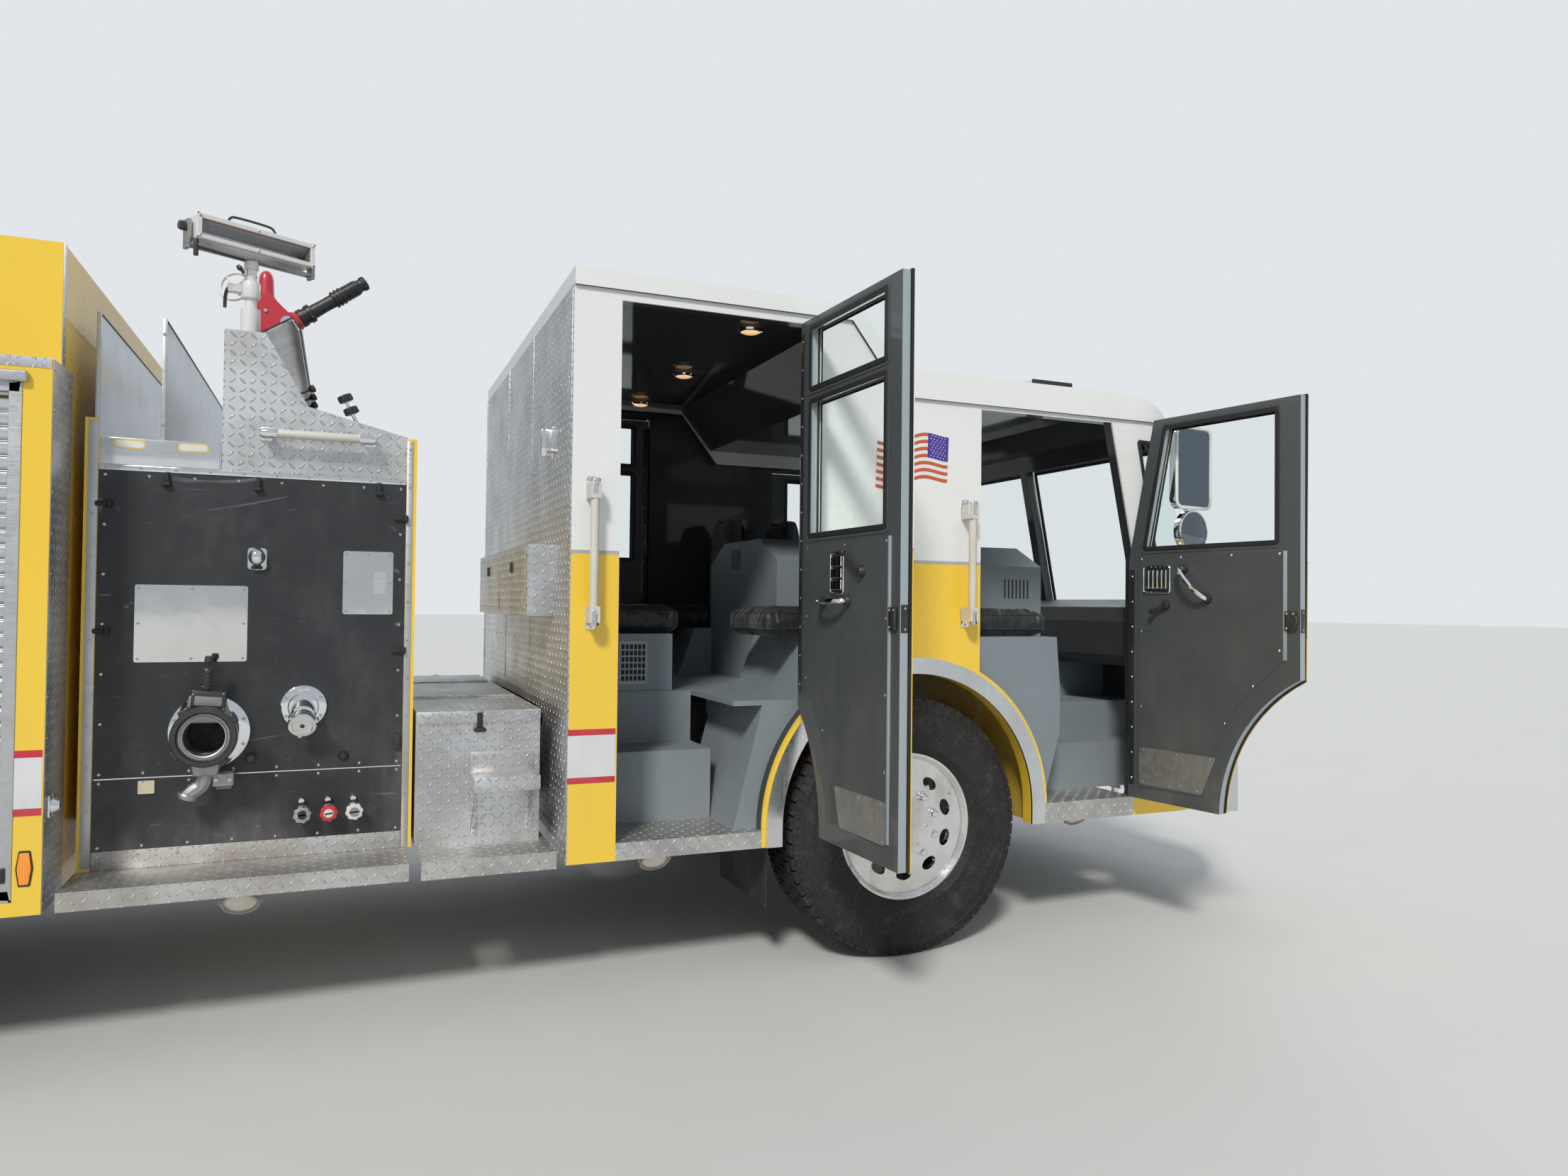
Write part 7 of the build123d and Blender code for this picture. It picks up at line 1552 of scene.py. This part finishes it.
# Walkway: folded step with its gussets, lid latch and corner wrap, strip and bracket against the cab
def walkway_details():
    piece = Piece(TREAD, RUBBER, SCREW_STEEL, CAST_GREY, TREAD_WORN)
    face = face_frame((0, -0.980, 0), (1, 0, 0), (0, -1, 0))
    piece.add(slab(0.235, 0.080, 0.004, 0.0015), face @ at(-1.6275, 0.860))
    piece.add(slab(0.237, 0.132, 0.0025, 0.001), Matrix.Translation((-1.6275, -1.046, 0.8198)), finish=4)
    piece.add(slab(0.238, 0.052, 0.004, 0.0015), face_frame((-1.6275, -1.110, 0.795), (1, 0, 0), (0, -1, 0)))
    gusset = [(0.0, 0.765), (0.124, 0.765), (0.0, 0.592)]
    for x in (-1.741, -1.519):
        piece.add(sheet_metal(gusset, 0.004, 0, 0, 0.0008), face_frame((x - 0.002, -0.980, 0), (0, -1, 0), (-1, 0, 0)))
        piece.add(slab(0.024, 0.170, 0.003, 0.001), face @ at(x + (0.012 if x < -1.6 else -0.012), 0.680))
        piece.add(screw(0.0045), *[face @ at(x + (0.014 if x < -1.6 else -0.014), z, 0.003) for z in (0.615, 0.680, 0.745)], finish=2)
    piece.add(screw(0.005), *[face @ at(0, 0.885, 0.004) @ p for p in spaced((-1.735, 0), (-1.520, 0), 4)], finish=2)
    latch = face @ at(-1.715, 1.018, 0.008)
    piece.add(slab(0.020, 0.060, 0.012, 0.005, 3), latch, finish=1)
    piece.add(slab(0.044, 0.016, 0.020, 0.006, 3), latch @ at(0, -0.034), finish=1)
    piece.add(slab(0.026, 0.020, 0.006, 0.002), latch @ at(0, 0.030), finish=3)
    piece.add(block((-1.9365, -0.9905, 1.012), (-1.494, -0.9885, 1.053), 0.0008))
    piece.add(screw(0.005), *[face @ at(0, 1.030, 0.0108) @ p for p in spaced((-1.90, 0), (-1.52, 0), 6)], finish=2)
    piece.add(block((-1.483, -0.975, 0.985), (-1.470, -0.80, 1.035), 0.003), finish=1)
    return piece


both_sides(walkway_details(), "walkway_step", "chassis", "tread_plate")

# Cab outside: reflective bands, flag, rail brackets, back sheet, markers
def side_band(x0, x1):
    piece = Piece(TAPE_WHITE, TAPE_RED)
    middle, width = (x0 + x1) / 2, x1 - x0
    piece.add(slab(width, 0.196, 0.0006, 0), RIGHT_SIDE @ at(middle, 0.899))
    for z in (0.987, 0.811):
        piece.add(slab(width, 0.022, 0.0010, 0), RIGHT_SIDE @ at(middle, z), finish=1)
    return piece


def flag(pick):
    """The squares of a waving flag that belong to one colour."""
    bm = bmesh.new()
    bmesh.ops.create_grid(bm, x_segments=34, y_segments=13, size=0.5)
    gone = []
    for face in bm.faces:
        middle = face.calc_center_median()
        row, canton = int((middle.y + 0.5) * 13), middle.x > 0.22 and middle.y > -0.04
        if pick != ("blue" if canton else "red" if row % 2 == 0 else "white"):
            gone.append(face)
    bmesh.ops.delete(bm, geom=gone, context="FACES")
    for vertex in bm.verts:
        x, y = vertex.co.x, vertex.co.y
        vertex.co = ((x + 0.02 * y) * 0.345, y * 0.195 + 0.052 * x + 0.016 * sin(7.5 * x + 0.6), 0)
    return bm


def flag_decal():
    piece = Piece(DECAL_RED, DECAL_WHITE, DECAL_BLUE)
    here = RIGHT_SIDE @ at(0.003, 2.078, 0.0006)
    for finish, colour in enumerate(("red", "white", "blue")):
        piece.add(flag(colour), here, finish=finish)
    dots = [here @ at((0.255 + 0.045 * i + 0.0225 * (j % 2)) * 0.345, (0.02 + 0.062 * j) * 0.195 + 0.052 * (0.25 + 0.045 * i)
                      + 0.016 * sin(7.5 * (0.255 + 0.045 * i) + 0.6), 0.0002) for i in range(5) for j in range(8)]
    star = [(0.0036 * cos(radians(18 + 36 * k)) * (1 if k % 2 == 0 else 0.42),
             0.0036 * sin(radians(18 + 36 * k)) * (1 if k % 2 == 0 else 0.42)) for k in range(10)]
    return piece.add(sheet_metal(star, 0.0003, 0, 0, 0), *dots, finish=1)


def rail_brackets():
    piece = Piece(CHROME, SCREW_STEEL)
    for x, low, high in ((-1.357, 1.385, 1.908), (0.265, 1.396, 1.903)):
        for z, way in ((low + 0.022, 1), (high - 0.022, -1)):
            piece.add(sheet_metal(oblong(0.040, 0.086), 0.005, 0.010, 0, 0.0015), RIGHT_SIDE @ at(x, z))
            piece.add(screw(0.006), *[RIGHT_SIDE @ at(x, z + dz, 0.005) for dz in (-0.032, 0.032)], finish=1)
            piece.add(slab(0.024, 0.030, 0.052, 0.006, 3), RIGHT_SIDE @ at(x, z, 0.003))
            piece.add(turned(((0, -0.030), (0.017, -0.030), (0.0205, -0.026), (0.0205, 0.026), (0.018, 0.030), (0, 0.030)), 28),
                      Matrix.Translation((x, -1.280, z)))
    return piece


def mirror_faces():
    """Glass of the tall and the round mirror, in a pale and a chrome rim."""
    piece = Piece(MIRROR, MIRROR_SHELL, CHROME)
    back = face_frame((1.006, -1.385, 2.110), (0, -1, 0), (-1, 0, 0))
    piece.add(sheet_metal(oblong(0.252, 0.382), 0.010, 0.042, 0.015, 0.003), back @ at(0, 0, 0.0), finish=1)
    # the glass takes the darkened mirror colour: painted reflection
    piece.add(sheet_metal(oblong(0.236, 0.366), 0.003, 0.038, 0, 0), back @ at(0, 0, 0.0005), finish=0)
    small = back @ at(0, -0.290)
    piece.add(turned(((0, 0.016), (0.045, 0.0135), (0.078, 0.008), (0.090, 0.003), (0.090, 0)), 48), small, finish=0)
    piece.add(turned(((0.089, 0.001), (0.089, 0.008), (0.094, 0.010), (0.097, 0.005), (0.097, -0.004), (0.089, 0.001)), 48), small, finish=2)
    return piece


both_sides(side_band(-1.432, -1.256), "cab_reflective_band", "cab", "body_yellow")
both_sides(side_band(-3.104, -3.024), "body_reflective_band", "chassis", "body_yellow")
both_sides(rail_brackets(), "handrail_bracket", "cab", "polished_steel")
both_sides(flag_decal(), "flag_decal", "cab", "roof_white")
for side, place in (("right", swing(FRONT_HINGE_X, FRONT_OPEN)), ("left", MIRRORED)):
    mirror_faces().done(f"mirror_faces_{side}", f"front_door_body_{side}", "mirror_chrome", place=place)

back = Piece(TREAD, SCREW_STEEL, CHROME, DULL_ALLOY, BLACK_STEEL)
for y in (-0.36, 0.36):
    back.add(slab(0.030, 1.55, 0.0020, 0.0008), CAB_BACK @ at(-y, 1.860))
for z in (1.30, 2.30):
    back.add(screw(0.005), *[CAB_BACK @ at(0, z) @ p for p in spaced((-1.16, 0), (1.16, 0), 16)], finish=1)
for y in (-1.205, 1.205):
    back.add(slab(0.026, 2.08, 0.0022, 0.0008), CAB_BACK @ at(-y, 1.580), finish=0)
    back.add(screw(0.005), *[CAB_BACK @ at(-y, 0, 0.002) @ p for p in spaced((0, 0.60), (0, 2.58), 15)], finish=1)
back.add(slab(0.030, 0.130, 0.006, 0.002), CAB_BACK @ at(0.860, 2.095), finish=2)
back.add(slab(0.022, 0.110, 0.045, 0.006), CAB_BACK @ at(0.860, 2.095, 0.004), finish=2)
back.add(turned(((0, 0.020), (0.009, 0.018), (0.010, 0)), 16), CAB_BACK @ at(0.900, 2.060), finish=1)
cabinet = face_frame((-1.534, -0.15, 1.55), (0, -1, 0), (-1, 0, 0))
for x in (-0.37, 0.37):
    back.add(sheet_metal(oblong(0.70, 0.245), 0.0030, 0.006, 0, 0.001), cabinet @ at(x, 0))
    back.add(screw(0.005), *[cabinet @ at(x, z, 0.003) @ p for z in (-0.108, 0.108) for p in spaced((-0.33, 0), (0.33, 0), 5)], finish=1)
    back.add(slab(0.034, 0.046, 0.010, 0.004), cabinet @ at(x, 0.060, 0.003), finish=4)
back.done("cab_back_trim", "cab", "tread_plate")

front = Piece(AMBER, CLEAR_LENS, CHROME, BLACK_PLASTIC, BLACK_STEEL, RUBBER)
marker = turned(((0, 0.022), (0.020, 0.018), (0.030, 0.008), (0.032, -0.002)), 24)
front.add(marker.copy(), *[Matrix.Translation((1.18, y, 2.436)) for y in (-1.06, 1.06)])
front.add(marker, *[Matrix.Translation((1.33, y, 2.455)) @ upright((0.5, 0, 1)) for y in (-0.22, 0, 0.22)])
lamp_disc = turned(((0, 0.012), (0.040, 0.009), (0.066, 0.002), (0.070, -0.004)), 40)
for index, y in enumerate((-0.828, -0.652, 0.652, 0.828)):
    front.add(lamp_disc.copy(), face_frame((1.754, y, 1.140), (0, 1, 0), (1, 0, 0)), finish=0 if index in (0, 3) else 1)
    front.add(turned(((0.069, -0.012), (0.069, 0.004), (0.076, 0.005), (0.080, -0.002), (0.080, -0.012), (0.069, -0.012)), 40),
              face_frame((1.754, y, 1.140), (0, 1, 0), (1, 0, 0)), finish=2)
lamp_disc.free()
for z in range(7):
    front.add(slab(1.000, 0.010, 0.012, 0.003), FRONT_FACE @ at(0, 1.020 + 0.040 * z, 0.012), finish=2)
for y in (-0.86, 0.20):
    front.add(turned(((0, 0.022), (0.014, 0.020), (0.018, 0.010), (0.018, -0.012), (0, -0.012)), 20), FRONT_FACE @ at(y, 1.335), finish=4)
    front.add(pipe(((1.728, y, 1.335), (1.728, y + 0.10, 1.375), (1.712, y + 0.40, 1.440)), 0.006), finish=4)
    front.add(pipe(((1.706, y + 0.06, 1.418), (1.704, y + 0.40, 1.443), (1.700, y + 0.66, 1.458)), 0.006), finish=5)
front.done("front_lamps_and_wipers", "cab", "bar_lens")

# Cab inside: dome lamps and the slits of a vent
inside = Piece(WARM_LENS, CHROME, OPENING_SHADE_BLACK, DOOR_EDGE, BLACK_PLASTIC, SCREW_STEEL)
for x, y in ((-0.606, -0.883), (-0.604, 0.064), (-0.604, 0.90)):
    dome = Matrix.Translation((x, y, 2.640)) @ upright((0, 0, -1))
    inside.add(turned(((0, 0.018), (0.028, 0.016), (0.040, 0.008), (0.042, 0)), 28), dome)
    inside.add(turned(((0.040, 0.0), (0.042, 0.010), (0.052, 0.008), (0.056, 0), (0.040, 0.0)), 28), dome, finish=1)
# painted shade: near-black slabs for the vent's slits
louvre = slab(0.0035, 0.062, 0.004, 0.001)
inside.add(louvre, *[face_frame((-0.799, 0, 0), (0, 1, 0), (1, 0, 0)) @ at(-0.34 + 0.014 * i, 1.20)
                     for i in range(-6, 7)], finish=2)
inside.done("cab_inner_fittings", "cab", "interior_grey")

# Body: roll door rails, slatted pull bars, lamps, reflectors, under-step lamps, rear lamps
def body_fittings():
    piece = Piece(DULL_ALLOY, CHROME, AMBER, BLACK_PLASTIC, SCREW_STEEL, PALE_LENS, RED_LENS, CAST_GREY, RUBBER)
    for x0, x1, z0 in ((-4.270, -3.110, 0.560), (-5.690, -4.330, 1.230), (-6.770, -5.750, 0.560)):
        wide, high = x1 - x0, 2.100 - z0
        middle = RIGHT_SIDE @ at((x0 + x1) / 2, (2.100 + z0) / 2, 0.0)
        piece.add(sheet_metal(oblong(wide + 0.030, high + 0.030), 0.0030, 0.004, 0.034, 0.001), middle)
        piece.add(slab(wide + 0.060, 0.034, 0.022, 0.006, 3), RIGHT_SIDE @ at((x0 + x1) / 2, 2.128))
        grip = RIGHT_SIDE @ at((x0 + x1) / 2, z0 + 0.080, -0.034)
        piece.add(slab(wide - 0.08, 0.030, 0.014, 0.005, 3), grip)
        piece.add(slab(0.110, 0.044, 0.020, 0.006, 3), grip @ at(0, 0.050), finish=3)
    piece.add(slab(0.014, 0.046, 0.010, 0.004), RIGHT_SIDE @ at(-3.117, 0.626), finish=3)
    reflector = [(-0.012, -0.048), (0.012, -0.048), (0.018, 0), (0.012, 0.048), (-0.012, 0.048), (-0.018, 0)]
    for x in (-3.063, -6.800):
        # painted glow: the amber reflectors take the lamp lens with its faint emission, though they are no lamps
        piece.add(sheet_metal(reflector, 0.007, 0.003, 0, 0.002), RIGHT_SIDE @ at(x, 0.642), finish=2)
        piece.add(sheet_metal([(a * 1.25, b * 1.12) for a, b in reflector], 0.003, 0.003, 0, 0.001), RIGHT_SIDE @ at(x, 0.642), finish=3)
    lamp = face_frame((-3.018, -1.160, 0.818), (0, 1, 0), (1, 0, 0))
    piece.add(slab(0.060, 0.070, 0.010, 0.005, 3), lamp, finish=1)
    piece.add(turned(((0, 0.024), (0.016, 0.021), (0.024, 0.010), (0.025, 0)), 24), lamp @ at(0, 0, 0.010), finish=1)
    # eight-sided lamps hung under the steps, their lenses down
    for x, y, z in ((-1.075, -1.105, 0.505), (-2.49, -1.085, 0.482), (0.94, -1.105, 0.530)):
        under = Matrix.Translation((x, y, z)) @ upright((0, -0.75, -0.66))
        piece.add(bar(0.044, 0.050, tip=0.068, edge=0.003, steps=8), under, finish=7)
        piece.add(turned(((0.048, 0.0), (0.050, 0.007), (0.058, 0.006), (0.060, 0), (0.048, 0.0)), 32), under @ at(0, 0, 0.044), finish=7)
        piece.add(turned(((0, 0.010), (0.030, 0.008), (0.049, 0)), 32), under @ at(0, 0, 0.044), finish=5)
        piece.add(slab(0.050, 0.034, 0.060, 0.004), Matrix.Translation((x, y + 0.030, z)), finish=7)
    for z, finish in ((0.725, 5), (0.860, 2), (0.995, 6)):
        here = REAR_FACE @ at(0.900, z, 0.0)
        piece.add(turned(((0, 0.036), (0.040, 0.033), (0.056, 0.024), (0.058, -0.002)), 32), here, finish=finish)
        piece.add(turned(((0.057, 0), (0.058, 0.026), (0.066, 0.024), (0.070, 0), (0.057, 0)), 32), here, finish=1)
    piece.add(pipe(((-6.905, -1.130, 1.00), (-6.905, -1.130, 2.06)), 0.016, rounded=False), finish=1)
    for z in (1.02, 2.04):
        piece.add(slab(0.036, 0.044, 0.060, 0.008, 3), REAR_FACE @ at(1.130, z), finish=1)
    for x, z in ((-0.6135, 0.535), (-0.6135, 0.500)):
        piece.add(screw(0.009), *[face_frame((-0.6205, y, z), (0, -1, 0), (-1, 0, 0)) for y in (-0.70, -0.885, -1.07)], finish=4)
    return piece


both_sides(body_fittings(), "body_fittings", "chassis", "polished_steel")

# Lockers: tread plate on the wall that faces the pump and along the roof's edge, stainless arch trims behind
def locker_plates():
    piece = Piece(TREAD, STAINLESS, SCREW_STEEL, DULL_ALLOY)
    wall = face_frame((-3.020, 0, 0), (0, 1, 0), (1, 0, 0))
    piece.add(slab(0.243, 1.692, 0.0022, 0.0008), wall @ at(-1.0965, 1.346))
    piece.add(slab(0.038, 0.386, 0.0022, 0.0008), wall @ at(-1.100, 2.387))
    piece.add(screw(0.005), *[wall @ at(-1.205, 0, 0.002) @ p for p in spaced((0, 0.53), (0, 2.16), 14)], finish=2)
    piece.add(slab(3.826, 0.030, 0.0020, 0.0008), RIGHT_SIDE @ at(-4.935, 2.175))
    piece.add(slab(3.826, 0.098, 0.0020, 0.0008), Matrix.Translation((-4.935, -1.170, 2.190)))
    ring = [*arc(-5.000, 0.558, 0.672, -4, 184, 40), *arc(-5.000, 0.558, 0.614, 184, -4, 40)]
    piece.add(sheet_metal(ring, 0.006, 0, 0, 0.0015), RIGHT_SIDE, finish=1)
    piece.add(screw(0.005), *[RIGHT_SIDE @ at(-5.000 + 0.643 * cos(radians(a)), 0.558 + 0.643 * sin(radians(a)), 0.006)
                              for a in range(0, 181, 15)], finish=2)
    return piece


both_sides(locker_plates(), "locker_plates", "chassis", "tread_plate")

# Windscreen rubber: one loop round each sheet, laid on the glass
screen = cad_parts["windscreen"]


def on_screen(x, y, z):
    hit, spot, way, _ = screen.closest_point_on_mesh(TRUCK @ Vector((x, y, z)))
    return TRUCK.inverted() @ spot


def screen_run(z, from_side=True):
    lean = 0.211 * max(0.0, z - 1.36) / 0.98
    edge = 1.388 - 0.180 * (z - 1.36) / 0.89
    run = [(edge, -1.219), *[(1.458 - lean + 0.25 * cos(radians(a)), -0.97 + 0.25 * sin(radians(a))) for a in range(-90, 1, 10)],
           (1.708 - lean, -0.50), (1.708 - lean, -0.036)]
    return [on_screen(x, y, z) for x, y in run]


def screen_rubber():
    piece = Piece(RUBBER, CHROME)
    low, high = screen_run(1.366), screen_run(2.243)
    heights = [1.366 + 0.877 * i / 8 for i in range(9)]
    side = [screen_run(z)[0] for z in heights]
    middle = [screen_run(z)[-1] for z in heights]
    for run in (low, high, side, middle):
        piece.add(pipe(run, 0.0095, rounded=False), finish=0)
    for run in (low, high, side):
        piece.add(pipe([p + Vector((0.004, -0.0035, 0)) if abs(p.y) > 1.0 else p + Vector((0.007, 0, 0)) for p in run], 0.0042, rounded=False),
                  finish=1)
    return piece


both_sides(screen_rubber(), "windscreen_rubber", "cab", "seat_black")

# Inside the cab: vent of the bench's base, slits of the tunnel and of the side panel, dials, switches
vents = Piece(DOOR_EDGE, OPENING_SHADE_BLACK, CHROME, BLACK_PLASTIC, WHITE_ENAMEL, RED_PLASTIC, SCREW_STEEL)
base_side = face_frame((0, -0.600, 0), (1, 0, 0), (0, -1, 0))
vents.add(slab(0.132, 0.190, 0.003, 0.001), base_side @ at(-1.027, 1.205))
# painted shade: near-black slabs for the vent holes here and the slits below
vents.add(slab(0.0135, 0.0205, 0.0012, 0), *[base_side @ at(-1.027 + 0.0185 * (i - 2.5), 1.205 + 0.0275 * (j - 2.5), 0.003)
                                             for i in range(6) for j in range(6)], finish=1)
vents.add(slab(0.006, 0.105, 0.0015, 0), *[face_frame((-0.300, 0, 0), (0, -1, 0), (-1, 0, 0)) @ at(-0.02 - 0.028 * i, 1.700)
                                           for i in range(5)], finish=1)
vents.add(slab(0.007, 0.100, 0.0015, 0), *[face_frame((0, -0.475, 0), (1, 0, 0), (0, -1, 0)) @ at(1.00 + 0.024 * i, 1.560)
                                           for i in range(7)], finish=1)
dash_face = face_frame((1.236, 0, 0), (0, -1, 0), (-1, 0, 0))
vents.add(slab(0.56, 0.115, 0.006, 0.003), dash_face @ at(-0.80, 1.335), finish=3)
dial = turned(((0, 0.004), (0.030, 0.004), (0.034, 0.010), (0.038, 0.008), (0.038, 0)), 28)
vents.add(dial, *[dash_face @ at(-0.80 + 0.088 * i, 1.345, 0.006) for i in (-2, -1, 0, 1, 2)], finish=2)
vents.add(slab(0.012, 0.022, 0.010, 0.002), *[dash_face @ at(0.20 + 0.030 * i, 1.350, 0.0) for i in range(10)], finish=4)
vents.add(turned(((0, 0.026), (0.014, 0.024), (0.016, 0.012), (0.008, 0.008), (0.008, 0)), 16), *[dash_face @ at(-0.46 + 0.05 * i, 1.300)
                                                                                          for i in range(3)], finish=5)
vents.done("cab_vents_and_dials", "cab", "dash_dark")

# Light bar: dark base, end caps and reflectors that stand behind the clear cover's ribs
bar_piece = Piece(BLACK_PLASTIC, CHROME, SCREW_STEEL)
bar_piece.add(block((0.996, -0.704, 2.486), (1.244, 0.704, 2.502), 0.004))
for y in (-0.703, -0.35, 0, 0.35, 0.703):
    bar_piece.add(block((0.997, y - 0.006, 2.500), (1.243, y + 0.006, 2.6215), 0.002), finish=1 if abs(y) < 0.7 else 0)
bar_piece.add(screw(0.006), *[Matrix.Translation((x, y, 2.6205)) for x in (1.03, 1.21) for y in (-0.68, 0.68)], finish=2)
bar_piece.done("light_bar_frame", "cab", "bar_lens")

# Camera, floor and light
CAMERA_AT, YAW, PITCH, ROLL, FOCAL_PIXELS, PHOTO_WIDTH = (-2.193, -4.982, 1.460), 23.196, 0.981, 0.615, 1450.73, 2212


def set_camera():
    yaw, pitch, roll = (radians(value) for value in (YAW, PITCH, ROLL))
    ahead = Vector((sin(yaw) * cos(pitch), cos(yaw) * cos(pitch), sin(pitch)))
    level = Vector((cos(yaw), -sin(yaw), 0))
    over = level.cross(ahead)
    right = cos(roll) * level + sin(roll) * over
    up = -sin(roll) * level + cos(roll) * over
    data = bpy.data.cameras.new("photo_camera")
    data.sensor_fit = "HORIZONTAL"
    data.sensor_width = 36
    data.lens = FOCAL_PIXELS / PHOTO_WIDTH * data.sensor_width
    data.clip_end = 400
    camera = bpy.data.objects.new("photo_camera", data)
    bpy.context.scene.collection.objects.link(camera)
    turn = Matrix((right, up, -ahead)).transposed().to_4x4()
    camera.matrix_world = TRUCK @ Matrix.Translation(CAMERA_AT) @ turn
    bpy.context.scene.camera = camera


def set_floor():
    bm = bmesh.new()
    bmesh.ops.create_grid(bm, x_segments=1, y_segments=1, size=120)
    mesh = bpy.data.meshes.new("floor")
    bm.to_mesh(mesh)
    finish = Finish("floor_finish", (0.62, 0.62, 0.61), 0.9).mottle(0.01, 0.5).ready()
    mesh.materials.append(finish)
    floor = bpy.data.objects.new("floor", mesh)
    bpy.context.scene.collection.objects.link(floor)


def set_light():
    world = bpy.data.worlds.new("studio")
    bpy.context.scene.world = world
    world.use_nodes = True
    tree = world.node_tree
    light = tree.nodes["Background"]
    light.inputs["Color"].default_value = (0.86, 0.93, 1.0, 1)
    light.inputs["Strength"].default_value = 0.52
    seen = wire(tree, "ShaderNodeBackground", {"Color": (0.80, 0.83, 0.86, 1), "Strength": 0.95})
    rays = wire(tree, "ShaderNodeLightPath").outputs
    seen_by = calc(tree, "MAXIMUM", rays["Is Camera Ray"], rays["Is Transmission Ray"])
    mix = wire(tree, "ShaderNodeMixShader", {0: seen_by, 1: light.outputs[0], 2: seen.outputs[0]})
    tree.links.new(mix.outputs[0], tree.nodes["World Output"].inputs["Surface"])
    # columns: name, direction it shines in, strength, width of the source in degrees, colour
    for name, way, strength, spread, colour in (
        ("key", (0.42, 0.62, -0.66), 2.3, 9, (1.0, 0.96, 0.90)),
        ("fill", (-0.55, -0.60, -0.55), 0.7, 40, (0.93, 0.96, 1.0)),
    ):
        data = bpy.data.lights.new(name, "SUN")
        data.energy = strength
        data.angle = radians(spread)
        data.color = colour
        lamp = bpy.data.objects.new(name, data)
        lamp.rotation_euler = Vector(way).to_track_quat("-Z", "Y").to_euler()
        bpy.context.scene.collection.objects.link(lamp)


set_camera()
set_floor()
set_light()
bpy.context.scene.view_settings.view_transform = "Standard"
